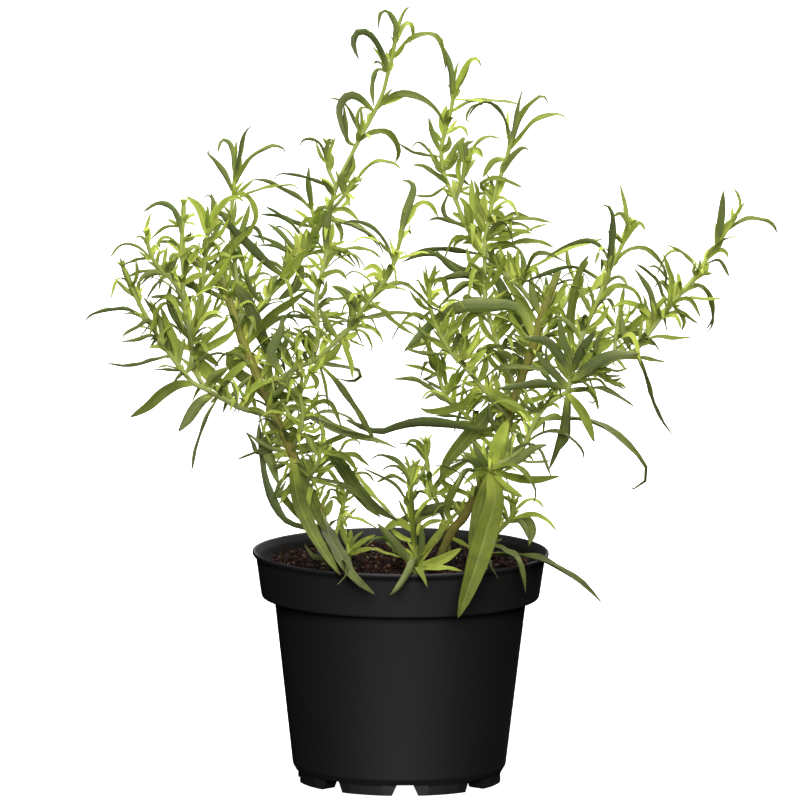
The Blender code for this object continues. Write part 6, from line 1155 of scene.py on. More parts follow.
def traced_leaf(stroke, shoot, index, lean):
    """A leaf of the sheet: its real width follows its length, and it is turned about its midrib
    until it looks as wide as it is drawn."""
    seen = stroke[0]
    midrib = leaf_path(stroke[1:], shoot, lean)
    length = running_length(midrib)[-1]
    width = max(seen, LEAST_WIDTH, WIDTH_PER_LENGTH * length + WIDTH_BASE)
    turn = -math.acos(min(1.0, seen / width))
    twist = TWIST * math.sin(index * 2.1 + length)
    t = np.linspace(0, 1, len(midrib))
    return {"midrib": midrib, "width": width, "facing": VIEW, "turn": turn + twist * (t - 0.45),
            "age": leaf_age(shoot, midrib)}


def leaf_age(shoot, midrib):
    """How old a leaf is, from 0 to 1: older near a shoot's foot, and where it is long."""
    nearest = np.argmin(np.linalg.norm(shoot - midrib[0], axis=1))
    long = min(1.0, running_length(midrib)[-1] / OLD_LENGTH)
    return float(0.2 * (1 - nearest / (len(shoot) - 1)) + 0.8 * long)


def plain_leaf(midrib, length, width, facing, turn, age):
    """A leaf with one turn for its whole midrib, whose width follows its length."""
    return {"midrib": midrib, "width": width[0] + width[1] * length, "facing": facing,
            "turn": np.full(len(midrib), turn), "age": age}


def knot_leaves(name, path, first):
    """Leaves that the sheet can't show, as they point towards the viewer or away: one at each knot
    whose turn round the shoot lies that way, shorter towards the tip."""
    leaves = []
    along = running_length(path)
    draw = np.random.default_rng(sum(map(ord, name)))
    for k in range(int((along[-1] - first) / KNOT_STEP)):
        distance = first + k * KNOT_STEP
        angle = k * KNOT_TURN + len(name)
        length = (KNOT_LEAF_LONG - KNOT_LEAF_SHORTER * distance / along[-1]) * draw.uniform(0.75, 1.1)
        droop = draw.uniform(-0.35, 0.35)
        if abs(math.sin(angle)) < SIDEWAYS:
            continue
        root = path[np.searchsorted(along, distance)]
        out = np.array([0.8 * math.cos(angle), math.sin(angle), 0.0])
        out /= np.linalg.norm(out)
        rise = 0.75 * UP
        midrib = smooth([root,
                         root + length * (0.35 * out + 0.35 * rise),
                         root + length * (0.70 * out + (0.52 + 0.2 * droop) * rise),
                         root + length * (0.98 * out + (0.50 + droop) * rise)], MIDRIB_STEPS + 1)
        leaves.append(plain_leaf(midrib, length, KNOT_WIDTH, UP, draw.uniform(-0.5, 0.5),
                                 leaf_age(path, midrib)))
    return leaves


def swung(leaf):
    """The same leaf swung round its shoot by a few steps."""
    options = []
    root = leaf["midrib"][0]
    for step in LEAN_STEPS:
        cos, sin = math.cos(step), math.sin(step)
        swing = np.array([[cos, -sin, 0], [sin, cos, 0], [0, 0, 1]])
        options.append({**leaf, "midrib": root + (leaf["midrib"] - root) @ swing.T})
    return options


def balls_on_leaf(leaf):
    """Balls that cover a blade, as centres and radii."""
    side, upper = blade_frame(leaf)
    pick = np.arange(0, MIDRIB_STEPS + 1, 2)
    half = 0.5 * leaf["width"] * lance(pick / MIDRIB_STEPS)
    across = half[:, None] * np.array([-0.72, 0.0, 0.72])
    centres = leaf["midrib"][pick][:, None] + side[pick][:, None] * across[..., None]
    radii = np.repeat(half[:, None] * 0.34 + 0.42, 3, axis=1)
    return centres.reshape(-1, 3), radii.reshape(-1)


def pot_trouble(centres, radii):
    """How deep balls sink into the pot's wall and lip, or into the soil."""
    wall_radius, wall_z = np.array(pot_outside()[5:]).T
    reach = np.hypot(centres[:, 0], centres[:, 1])
    height = centres[:, 2]
    outer = np.interp(height, wall_z, wall_radius) + radii + CLEAR_GAP
    inner = outer - 2 * (WALL + radii + CLEAR_GAP)
    low = height < LIP_CLEAR_Z + radii
    wall = np.where(low & (reach > inner) & (reach < outer), np.minimum(outer - reach, reach - inner), 0)
    soil = np.where((reach <= inner) & (height < SOIL_CLEAR_Z + radii), SOIL_CLEAR_Z + radii - height, 0)
    return float(wall.sum() + soil.sum())


def overlap_depth(centres, radii, others, gap):
    """The sum of how far balls reach into other balls."""
    if others is None or len(centres) == 0:
        return 0.0
    other_centres, other_radii = others
    low, high = centres.min(axis=0) - 8, centres.max(axis=0) + 8
    near = np.all((other_centres > low) & (other_centres < high), axis=1)
    if not near.any():
        return 0.0
    apart = np.linalg.norm(centres[:, None] - other_centres[near][None], axis=2)
    return float(-np.minimum(apart - radii[:, None] - other_radii[near][None] - gap, 0).sum())


def gather(pairs):
    """Join lists of balls into one pair of arrays."""
    if not pairs:
        return None
    return np.concatenate([pair[0] for pair in pairs]), np.concatenate([pair[1] for pair in pairs])


def grow(plants):
    """Place every shoot and leaf. Returns each plant's shoots, as paths and radii, and leaves."""
    paths = {}
    grown = {plant: {"shoots": [], "leaves": []} for plant, shoots in plants}
    for plant, shoots in plants:
        for name, parent, thick, route, strokes in shoots:
            paths[name] = shoot_path(route, paths.get(parent))
            radii = 0.5 * np.linspace(thick[0], thick[1], len(paths[name]))
            grown[plant]["shoots"].append((paths[name], radii))
    leaf_balls = {plant: [] for plant in grown}
    for plant, shoots in plants:
        strangers = gather([(path, radii + 0.15) for other in grown if other != plant
                            for path, radii in grown[other]["shoots"]])
        for name, parent, thick, route, strokes in shoots:
            choices = []
            for index, stroke in enumerate(strokes):
                base = LEAN * math.sin(KNOT_TURN * index + len(name))
                steps = LEAN_STEPS[:1] if given_depth(stroke[1:]) else LEAN_STEPS
                choices.append([traced_leaf(stroke, paths[name], index, base + step) for step in steps])
            first = FIRST_KNOT if parent else FIRST_TRUNK_KNOT
            choices += [swung(leaf) for leaf in knot_leaves(name, paths[name], first)]
            for options in choices:
                leaf = clearest(options, plant, strangers, leaf_balls)
                if leaf:
                    grown[plant]["leaves"].append(leaf)
    return grown


def clearest(options, plant, strangers, leaf_balls):
    """The clearest of a leaf's options, or none if each one touches the pot, the soil or another
    plant. Crossing a leaf of its own plant is allowed, and avoided where it can be."""
    foreign = gather([pair for other in leaf_balls if other != plant for pair in leaf_balls[other]])
    own = gather(leaf_balls[plant])
    best = None
    for leaf in options:
        centres, radii = balls_on_leaf(leaf)
        blocked = (pot_trouble(centres[3:], radii[3:])
                   + overlap_depth(centres, radii, strangers, CLEAR_GAP)
                   + overlap_depth(centres, radii, foreign, CLEAR_GAP))
        far = np.linalg.norm(centres - leaf["midrib"][0], axis=1) > ROOT_ZONE
        crossed = overlap_depth(centres[far], radii[far], own, 0.0)
        score = (blocked > 0, blocked + crossed)
        if best is None or score < best[0]:
            best = (score, leaf, (centres, radii))
        if score == (False, 0.0):
            break
    score, leaf, balls = best
    if score[0]:
        return None
    leaf_balls[plant].append(balls)
    return leaf


def box_clip(points):
    """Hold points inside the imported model's box."""
    return np.clip(points, CAD_LOW + BOX_INSET, CAD_HIGH - BOX_INSET)


def grid_faces(rows, columns):
    """Quads of a grid of rows that close into rings, all facing outwards."""
    row, column = np.meshgrid(np.arange(rows - 1), np.arange(columns), indexing="ij")
    after = (column + 1) % columns
    corners = [row * columns + column, row * columns + after,
               (row + 1) * columns + after, (row + 1) * columns + column]
    return np.stack(corners, axis=-1).reshape(-1, 4)


def repeated(faces, count, size):
    """The same faces for each of count solids that have size points each."""
    return (faces[None] + (np.arange(count) * size)[:, None, None]).reshape(-1, faces.shape[1])


def surface(name, points, faces, values, finish, sharp):
    """An object from whole arrays: points in millimetres, groups of faces with equal corners, and a
    named value per point. Edges sharper than the given angle stay sharp."""
    mesh = bpy.data.meshes.new(name)
    corners = np.concatenate([group.ravel() for group in faces]).astype(np.int32)
    sizes = np.concatenate([np.full(len(group), group.shape[1]) for group in faces])
    starts = np.concatenate([[0], np.cumsum(sizes)[:-1]]).astype(np.int32)
    mesh.vertices.add(len(points))
    mesh.vertices.foreach_set("co", (np.asarray(points) * MM).astype(np.float32).ravel())
    mesh.loops.add(len(corners))
    mesh.loops.foreach_set("vertex_index", corners)
    mesh.polygons.add(len(sizes))
    mesh.polygons.foreach_set("loop_start", starts)
    mesh.update(calc_edges=True)
    for key, value in values.items():
        layer = mesh.attributes.new(key, "FLOAT", "POINT")
        layer.data.foreach_set("value", np.asarray(value, dtype=np.float32).ravel())
    mesh.shade_smooth()
    mesh.set_sharp_from_angle(angle=sharp)
    mesh.materials.append(finish)
    thing = bpy.data.objects.new(name, mesh)
    bpy.context.scene.collection.objects.link(thing)
    return thing


def joined(parts):
    """Join solids, each a tuple of points, face groups and values, into one such tuple."""
    offsets = np.concatenate([[0], np.cumsum([len(part[0]) for part in parts])[:-1]])
    points = np.concatenate([part[0] for part in parts])
    faces = [group + offset for part, offset in zip(parts, offsets) for group in part[1]]
    values = {key: np.concatenate([part[2][key] for part in parts]) for key in parts[0][2]}
    return points, faces, values


def shader(name, roughness):
    """A new material, as the material, its tree and its Principled shader."""
    finish = bpy.data.materials.new(name)
    finish.use_nodes = True
    tree = finish.node_tree
    principled = tree.nodes["Principled BSDF"]
    principled.inputs["Roughness"].default_value = roughness
    return finish, tree, principled


def add(tree, kind, inputs=(), **settings):
    """A new node. The inputs are pairs of an input and a value or an output that feeds it."""
    made = tree.nodes.new(kind)
    for key, value in settings.items():
        setattr(made, key, value)
    for key, value in inputs:
        if isinstance(value, bpy.types.NodeSocket):
            tree.links.new(value, made.inputs[key])
        else:
            made.inputs[key].default_value = value
    return made


def value_of(tree, name):
    """The output of a per-point value."""
    return add(tree, "ShaderNodeAttribute", attribute_name=name).outputs["Fac"]


def maths(tree, operation, first, second=0.0):
    """One step of arithmetic."""
    return add(tree, "ShaderNodeMath", [(0, first), (1, second)], operation=operation).outputs[0]


def band(tree, value, low, high):
    """0 below low and 1 above high, blended smoothly in between. Low may be the larger one."""
    return add(tree, "ShaderNodeMapRange", [("Value", value), ("From Min", low), ("From Max", high)],
               interpolation_type="SMOOTHSTEP").outputs["Result"]


def blend(tree, factor, first, second, how="MIX"):
    """Two colours mixed by a factor."""
    made = add(tree, "ShaderNodeMix", data_type="RGBA", blend_type=how)
    for key, value in ((0, factor), (6, first), (7, second)):
        if isinstance(value, bpy.types.NodeSocket):
            tree.links.new(value, made.inputs[key])
        elif key == 0:
            made.inputs[key].default_value = value
        else:
            made.inputs[key].default_value = (*value[:3], 1.0)
    return made.outputs[2]


def ramp(tree, value, stops):
    """A colour for each value, from stops of a place and a colour."""
    made = add(tree, "ShaderNodeValToRGB", [("Fac", value)])
    elements = made.color_ramp.elements
    while len(elements) < len(stops):
        elements.new(0.5)
    for element, (place, colour) in zip(elements, stops):
        element.position = place
        element.color = (*colour[:3], 1.0)
    return made.outputs["Color"]


def noise(tree, scale, detail=3.0, stretch=(1.0, 1.0, 1.0)):
    """Noise over the object's own space, with its scale in cycles per metre."""
    place = add(tree, "ShaderNodeTexCoord").outputs["Object"]
    place = add(tree, "ShaderNodeMapping", [("Vector", place), ("Scale", stretch)]).outputs["Vector"]
    return add(tree, "ShaderNodeTexNoise",
               [("Vector", place), ("Scale", scale), ("Detail", detail)]).outputs["Fac"]


def bump(tree, principled, height, distance, strength=1.0):
    """Small relief on the shader's surface."""
    relief = add(tree, "ShaderNodeBump",
                 [("Height", height), ("Distance", distance), ("Strength", strength)])
    tree.links.new(relief.outputs["Normal"], principled.inputs["Normal"])


def varied(tree, value, mottle, amount):
    """A value that noise shifts up or down, by half the amount at most."""
    return maths(tree, "ADD", value, maths(tree, "MULTIPLY", maths(tree, "SUBTRACT", mottle, 0.5), amount))


def part_of(tree, value, share):
    """A value scaled by a share."""
    return maths(tree, "MULTIPLY", value, share)


def leaf_finish(look):
    """Living leaf: young to old colours, sage underside, pale midrib and base, fine veins, and painted
    shade along its margins.
    """
    finish, tree, principled = shader("leaf", look.roughness)
    age, tone, across, along, under = (value_of(tree, key)
                                       for key in ("age", "tone", "across", "along", "under"))
    shifted = varied(tree, age, noise(tree, scale=160.0), amount=0.35)
    upper = ramp(tree, shifted, [(0.0, look.young), (0.4, look.fresh), (0.75, look.mature),
                                 (1.0, look.old)])
    lower = ramp(tree, shifted, [(0.0, look.fresh), (0.5, look.sage), (1.0, look.underside)])
    colour = blend(tree, under, upper, lower)
    middle = band(tree, maths(tree, "ABSOLUTE", across), *MIDRIB_BAND)
    colour = blend(tree, part_of(tree, middle, MIDRIB_SHARE), colour, look.midrib)
    foot = band(tree, along, *FOOT_BAND)
    colour = blend(tree, part_of(tree, foot, FOOT_SHARE), colour, look.young)
    # Painted shade: a dark band along each margin, mixed towards the old colour.
    margin_shade = band(tree, maths(tree, "ABSOLUTE", across), *MARGIN_SHADE_BAND)
    colour = blend(tree, part_of(tree, margin_shade, MARGIN_SHADE_SHARE), colour, look.old)
    tip = maths(tree, "MULTIPLY", band(tree, along, *TIP_BAND), band(tree, tone, *DRY_TONES))
    colour = blend(tree, part_of(tree, tip, TIP_SHARE), colour, look.tip)
    shade = maths(tree, "ADD", part_of(tree, tone, BRIGHTER), DULLEST)
    colour = blend(tree, 1.0, colour, add(tree, "ShaderNodeCombineColor", [
        (0, shade), (1, shade), (2, shade)]).outputs[0], "MULTIPLY")
    tree.links.new(colour, principled.inputs["Base Color"])
    vein = maths(tree, "SINE", maths(tree, "MULTIPLY", across, VEINS))
    grown = band(tree, value_of(tree, "broad"), 0.5, 1.6)
    relief = maths(tree, "ADD", maths(tree, "MULTIPLY", part_of(tree, vein, VEIN_SHARE), grown),
                   noise(tree, scale=700.0))
    bump(tree, principled, relief, distance=0.0001)
    principled.inputs["Specular IOR Level"].default_value = look.shine
    principled.inputs["Subsurface Weight"].default_value = look.translucence
    principled.inputs["Subsurface Radius"].default_value = (0.6, 1.0, 0.25)
    principled.inputs["Subsurface Scale"].default_value = 0.0012
    return finish


def stem_finish(look):
    """Shoots: olive and woody at the base, striped higher up, pale green when young, with brownish
    knots and a pale cut end."""
    finish, tree, principled = shader("stem", look.roughness)
    youth, knot, cut, around = (value_of(tree, key) for key in ("youth", "knot", "cut", "around"))
    mottle = noise(tree, scale=300.0)
    shifted = varied(tree, youth, mottle, amount=0.22)
    colour = ramp(tree, shifted, [(0.0, look.base), (0.10, look.woody), (0.42, look.striped),
                                  (0.62, look.young), (1.0, look.tender)])
    stripe = maths(tree, "SINE", maths(tree, "ADD", maths(tree, "MULTIPLY", around, 5.0), mottle))
    stripe = maths(tree, "MULTIPLY", band(tree, stripe, 0.0, 1.0), band(tree, youth, 0.75, 0.35))
    colour = blend(tree, part_of(tree, stripe, 0.45), colour, look.stripe)
    dark = part_of(tree, maths(tree, "MULTIPLY", knot, band(tree, youth, 0.7, 0.3)), 0.25)
    colour = blend(tree, dark, colour, look.knot)
    colour = blend(tree, cut, colour, look.cut)
    tree.links.new(colour, principled.inputs["Base Color"])
    bump(tree, principled, noise(tree, scale=900.0, stretch=(1.0, 1.0, 0.2)), distance=0.00015)
    principled.inputs["Specular IOR Level"].default_value = DULL_SHINE
    return finish


def plastic_finish(look):
    """Moulded black plastic, satin, with a fine grain."""
    finish, tree, principled = shader("plastic", look.roughness)
    principled.inputs["Base Color"].default_value = (*look.colour, 1.0)
    principled.inputs["Specular IOR Level"].default_value = look.shine
    bump(tree, principled, noise(tree, scale=1400.0), distance=0.00006)
    return finish


def soil_finish(look):
    """Dark red-brown peat, with paler crumbs and fibres; the palest crumbs are painted highlights."""
    finish, tree, principled = shader("soil", 0.95)
    speck = value_of(tree, "speck")
    ground = blend(tree, band(tree, noise(tree, scale=260.0), 0.35, 0.70), look.dark, look.colour)
    # The pale stop is painted highlight on the palest crumbs, and partly the colour of pale fibres.
    crumb = ramp(tree, speck, [(0.0, look.dark), (0.55, look.colour), (0.88, look.bright),
                               (0.985, look.pale)])
    colour = blend(tree, band(tree, speck, 0.0, 0.05), ground, crumb)
    tree.links.new(colour, principled.inputs["Base Color"])
    bump(tree, principled, noise(tree, scale=1800.0), distance=0.0004)
    principled.inputs["Specular IOR Level"].default_value = DULL_SHINE
    return finish


def rounded(corners, steps):
    """A line with its corners rounded. Each corner is (x, y, cut), and a cut takes that length of
    each side away and puts in the curve (1-s)² a + 2 s (1-s) b + s² c."""
    line = []
    for k, (x, y, cut) in enumerate(corners):
        here = np.array([x, y], dtype=float)
        if cut == 0 or k in (0, len(corners) - 1):
            line.append(here)
            continue
        before = np.array(corners[k - 1][:2], dtype=float) - here
        after = np.array(corners[k + 1][:2], dtype=float) - here
        start = here + before / np.linalg.norm(before) * min(cut, 0.48 * np.linalg.norm(before))
        end = here + after / np.linalg.norm(after) * min(cut, 0.48 * np.linalg.norm(after))
        s = np.linspace(0, 1, steps)[:, None]
        line.extend((1 - s)**2 * start + 2 * s * (1 - s) * here + s**2 * end)
    return np.array(line)


def turned(profile, sides):
    """A solid turned about Z: x = r cos(a), y = r sin(a), z = h over the grid of profile points and
    angles. The first and last profile points lie on the axis and become poles."""
    angle = np.arange(sides) * 2 * math.pi / sides
    ring = profile[1:-1]
    points = np.stack([ring[:, :1] * np.cos(angle), ring[:, :1] * np.sin(angle),
                       np.repeat(ring[:, 1:], sides, axis=1)], axis=-1).reshape(-1, 3)
    count = len(points)
    points = np.concatenate([points, [[0, 0, profile[0, 1]], [0, 0, profile[-1, 1]]]])
    here = np.arange(sides)
    after = (here + 1) % sides
    low = np.column_stack([np.full(sides, count), after, here])
    last = count - sides
    high = np.column_stack([last + here, last + after, np.full(sides, count + 1)])
    return points, [grid_faces(len(ring), sides), low, high]


def prism(outline, start, end, axes, origin=(0.0, 0.0, 0.0)):
    """A straight-sided solid: an outline drawn anticlockwise on the first two axes, carried along
    the third one."""
    flat = np.asarray(outline, dtype=float) @ np.asarray(axes[:2]) + np.asarray(origin)
    along = np.asarray(axes[2])
    points = np.concatenate([flat + start * along, flat + end * along])
    count = len(flat)
    ends = np.arange(count)
    return points, [ends[None, ::-1], count + ends[None], grid_faces(2, count)]


def pot_profile():
    """The pot in section: up the outside from the middle of its underside, and down the inside."""
    return rounded([
        (0, 0, 0),
        (MIDDLE_PAD_RADIUS, 0, 0.3),
        (MIDDLE_PAD_RADIUS + 0.6, UNDERSIDE_Z, 0.5),
        (PAD_INNER_RADIUS - 0.6, UNDERSIDE_Z, 0.5),
        (PAD_INNER_RADIUS, 0, 0.3),
        (FOOT_FACE, 0, 0.5),
        (FOOT_FACE + 0.1, SLOPE_LOW_Z, 0.5),
        (BODY_LOW_RADIUS - 0.2, SLOPE_TOP_Z, 0.3),
        (BODY_LOW_RADIUS, BODY_LOW_Z, 0.4),
        (EDGE_BODY_RADIUS, EDGE_Z - 0.9, 0.5),
        (COLLAR_LOW_RADIUS - 0.3, EDGE_Z - 0.3, 0.5),
        (COLLAR_LOW_RADIUS, EDGE_Z + 0.6, 0.6),
        (COLLAR_TOP_RADIUS, COLLAR_TOP_Z, 0.8),
        (LIP_RADIUS - 0.5, LIP_Z - 0.9, 0.4),
        (LIP_RADIUS, LIP_Z, 0.5),
        (LIP_RADIUS - 0.4, POT_HEIGHT, 0.4),
        (LIP_RADIUS - 1.3, POT_HEIGHT - 0.2, 0.4),
        (COLLAR_TOP_RADIUS - 1.0, COLLAR_TOP_Z, 0.8),
        (COLLAR_LOW_RADIUS - WALL, EDGE_Z + WALL, 1.0),
        (EDGE_BODY_RADIUS - WALL, EDGE_Z + 0.6, 0.8),
        (FOOT_RADIUS - WALL, FLOOR_TOP_Z, 2.0),
        (0, FLOOR_TOP_Z, 0),
    ], CORNER_STEPS)


def notch(radial):
    """A notch through the foot's ring: a wide recess in its outer face, with rounded corners, and
    behind that an arch which narrows upwards."""
    axes = (np.cross(UP, radial), UP, radial)
    half = NOTCH_WIDTH / 2
    recess = rounded([(0, -2, 0), (half, -2, 0), (half, NOTCH_HEIGHT, 0.8), (-half, NOTCH_HEIGHT, 0.8),
                      (-half, -2, 0), (-0.01, -2, 0)], CORNER_STEPS)
    arch = [(ARCH[0][0], -2.5)] + list(ARCH)
    arch += [(-across, up) for across, up in arch[::-1]]
    return [prism(recess, FOOT_RADIUS - NOTCH_DEPTH, FOOT_RADIUS + 4, axes),
            prism(arch, PAD_INNER_RADIUS - 4, FOOT_RADIUS + 3, axes)]


def cut_out(thing, cutters, finish):
    """Take the cutters out of a solid, and remove them."""
    group = bpy.data.collections.new(thing.name + "_cutters")
    bpy.context.scene.collection.children.link(group)
    for points, faces in cutters:
        cutter = surface("cutter", points, faces, {}, finish, POT_SHARP)
        bpy.context.scene.collection.objects.unlink(cutter)
        group.objects.link(cutter)
    step = thing.modifiers.new("cut", "BOOLEAN")
    step.operation = "DIFFERENCE"
    step.solver = "EXACT"
    step.operand_type = "COLLECTION"
    step.collection = group
    bpy.context.view_layer.update()
    shaped = thing.evaluated_get(bpy.context.evaluated_depsgraph_get())
    mesh = bpy.data.meshes.new_from_object(shaped)
    thing.modifiers.remove(step)
    old = thing.data
    thing.data = mesh
    bpy.data.meshes.remove(old)
    mesh.name = thing.name
    for cutter in list(group.objects):
        bpy.data.objects.remove(cutter, do_unlink=True)
    bpy.data.collections.remove(group)
    mesh.set_sharp_from_angle(angle=POT_SHARP)


def tube(path, radii, sides):
    """A closed round solid along a path: the grid path(s) + r(s) (cos(a) side + sin(a) deep)."""
    ahead = np.gradient(path, axis=0)
    ahead /= np.linalg.norm(ahead, axis=1)[:, None]
    side = np.cross(ahead, (0.0, 1.0, 0.0))
    side /= np.linalg.norm(side, axis=1)[:, None]
    deep = np.cross(ahead, side)
    angle = np.arange(sides) * 2 * math.pi / sides
    round_ring = (side[:, None] * np.cos(angle)[:, None] + deep[:, None] * np.sin(angle)[:, None])
    points = (path[:, None] + radii[:, None, None] * round_ring).reshape(-1, 3)
    ends = np.arange(sides)
    last = len(points) - sides
    return points, [grid_faces(len(path), sides), ends[None, ::-1], last + ends[None]]


def lattice_noise(x, y, seed):
    """Smooth noise from -1 to 1: random values at whole-number places, blended by 3t² - 2t³."""
    table = np.random.default_rng(seed).uniform(-1, 1, (LATTICE, LATTICE))
    column = np.floor(x).astype(int)
    row = np.floor(y).astype(int)
    u = x - column
    v = y - row
    u = u * u * (3 - 2 * u)
    v = v * v * (3 - 2 * v)
    here, after = column % LATTICE, (column + 1) % LATTICE
    below, above = row % LATTICE, (row + 1) % LATTICE
    low = table[here, below] * (1 - u) + table[after, below] * u
    high = table[here, above] * (1 - u) + table[after, above] * u
    return low * (1 - v) + high * v


def soil_top(x, y, look):
    """The soil's top: low waves, and noise in four sizes of lump."""
    radius = np.hypot(x, y)
    angle = np.arctan2(y, x)
    waves = np.sin(3 * angle + radius * 0.11) + np.sin(5 * angle - radius * 0.23 + 1.3)
    height = SOIL_TOP_Z + SOIL_LUMP * waves * radius / COLLAR_LOW_RADIUS
    for size, share, seed in LUMPS:
        height = height + look.lump / MM * share * lattice_noise(x / size, y / size, seed)
    return height


def soil_block(look):
    """The block of soil, turned to fit the pot, with its top as a polar grid of soil_top."""
    inner = np.array([(FOOT_RADIUS - WALL, FLOOR_TOP_Z), (EDGE_BODY_RADIUS - WALL, EDGE_Z + 0.8),
                      (COLLAR_LOW_RADIUS - WALL, EDGE_Z + WALL + 0.2),
                      (COLLAR_TOP_RADIUS - WALL, POT_HEIGHT)])
    rim = float(np.interp(SOIL_TOP_Z - 1, inner[:, 1], inner[:, 0])) - SOIL_GAP
    sides = look.sides
    wall = [(0, FLOOR_TOP_Z + SOIL_GAP)]
    wall += [(r - SOIL_GAP, z + SOIL_GAP) for r, z in inner[:3]] + [(rim, SOIL_TOP_Z - 1)]
    top = [(rim * k / look.rings, SOIL_TOP_Z) for k in range(look.rings, -1, -1)]
    points, faces = turned(np.array(wall + top, dtype=float), sides)
    upper = points[:, 2] > SOIL_TOP_Z - 0.5
    height = soil_top(points[:, 0], points[:, 1], look)
    sink = np.clip((np.hypot(points[:, 0], points[:, 1]) / rim - SINK_START) / 0.07, 0, 1)
    points[upper, 2] = (height - SINK_DEPTH * sink)[upper]
    return points, faces, {"speck": np.zeros(len(points))}


def crumbs(look, rim):
    """Loose crumbs: each is a stretched and dented 20-faced ball, half sunk into the top."""
    draw = np.random.default_rng(CRUMB_SEED)
    count = look.crumbs
    golden = (1 + math.sqrt(5)) / 2
    ball = np.array([(-1, golden, 0), (1, golden, 0), (-1, -golden, 0), (1, -golden, 0),
                     (0, -1, golden), (0, 1, golden), (0, -1, -golden), (0, 1, -golden),
                     (golden, 0, -1), (golden, 0, 1), (-golden, 0, -1), (-golden, 0, 1)]) / 1.9
    faces = np.array([(0, 11, 5), (0, 5, 1), (0, 1, 7), (0, 7, 10), (0, 10, 11),
                      (1, 5, 9), (5, 11, 4), (11, 10, 2), (10, 7, 6), (7, 1, 8),
                      (3, 9, 4), (3, 4, 2), (3, 2, 6), (3, 6, 8), (3, 8, 9),
                      (4, 9, 5), (2, 4, 11), (6, 2, 10), (8, 6, 7), (9, 8, 1)])
    reach = (rim - CRUMB_MARGIN) * np.sqrt(draw.uniform(0, 1, count))
    angle = draw.uniform(0, 2 * math.pi, count)
    x, y = reach * np.cos(angle), reach * np.sin(angle)
    size = look.crumb / MM * draw.uniform(0.35, 1.0, count)**1.6
    middle = np.column_stack([x, y, soil_top(x, y, look) + 0.25 * size])
    stretch = draw.uniform(0.6, 1.35, (count, 1, 3))
    dents = draw.uniform(0.75, 1.2, (count, 12, 1))
    points = middle[:, None] + ball[None] * stretch * dents * size[:, None, None]
    # The few crumbs near the top of this range take the pale colour, a painted highlight.
    speck = np.repeat(draw.uniform(0.06, 1.0, count), 12)
    return points.reshape(-1, 3), [repeated(faces, count, 12)], {"speck": speck}


def fibres(look, rim):
    """Curly root and peat fibres on the top: three-sided tubes along short arcs."""
    draw = np.random.default_rng(FIBRE_SEED)
    parts = []
    for k in range(look.fibres):
        reach = (rim - 8) * math.sqrt(draw.uniform(0, 1))
        angle = draw.uniform(0, 2 * math.pi)
        length = draw.uniform(3, 11)
        heading = draw.uniform(0, 2 * math.pi) + np.cumsum(draw.normal(0, 0.45, FIBRE_POINTS))
        step = length / (FIBRE_POINTS - 1) * np.column_stack([np.cos(heading), np.sin(heading)])
        flat = np.array([reach * math.cos(angle), reach * math.sin(angle)]) + np.cumsum(step, axis=0)
        if np.hypot(flat[:, 0], flat[:, 1]).max() > rim - 1:
            continue
        arch = np.sin(np.linspace(0, math.pi, FIBRE_POINTS))
        lift = draw.uniform(0.1, 1.6) * arch + 0.15
        height = soil_top(flat[:, 0], flat[:, 1], look).mean() + 0.3 + lift
        path = np.column_stack([flat, height])
        points, faces = tube(path, np.full(FIBRE_POINTS, draw.uniform(0.08, 0.2)), FIBRE_SIDES)
        parts.append((points, faces, {"speck": np.full(len(points), draw.uniform(0.2, 0.96))}))
    return joined(parts)


def shoot_solid(path, radii, leaves, ages, look):
    """One shoot, swollen where its leaves join, and fuller than the solid's where it is thin. Ages
    are its youth at its two ends."""
    fuller = look.fuller / MM * np.clip(FULL_RADIUS - radii, 0, 1)
    along = running_length(path)
    knot = np.zeros(len(path))
    for leaf in leaves:
        apart = np.linalg.norm(path - leaf["midrib"][0], axis=1)
        if apart.min() < 0.01:
            knot = np.maximum(knot, np.exp(-((along - along[apart.argmin()]) / KNOT_REACH)**2))
    points, faces = tube(path, (radii + fuller) * (1 + look.swelling * knot), look.sides)
    youth = np.repeat(np.linspace(ages[0], ages[1], len(path)), look.sides)
    around = np.tile(np.arange(look.sides) * 2 * math.pi / look.sides, len(path))
    values = {"youth": youth, "knot": np.repeat(knot, look.sides), "around": around,
              "cut": np.zeros(len(points))}
    return points, faces, values


def cut_end(path, radius, sides):
    """The pale cut face of a pruned stem: a shallow disc that stands a little proud."""
    ahead = path[-1] - path[-3]
    ahead /= np.linalg.norm(ahead)
    ends = np.array([path[-1] - 0.4 * ahead, path[-1] + 0.10 * ahead, path[-1] + 0.25 * ahead])
    points, faces = tube(ends, np.array([0.96, 0.96, 0.80]) * radius, sides)
    ones = np.ones(len(points))
    return points, faces, {"youth": ones, "knot": 0 * ones, "around": 0 * ones, "cut": ones}


def full_lance(t):
    """The finer outline of a leaf: as lance, with fuller sides and a blunter tip."""
    return 0.96 * np.sin(math.pi * t**1.05)**0.66 + 0.26 * (1 - t)**3


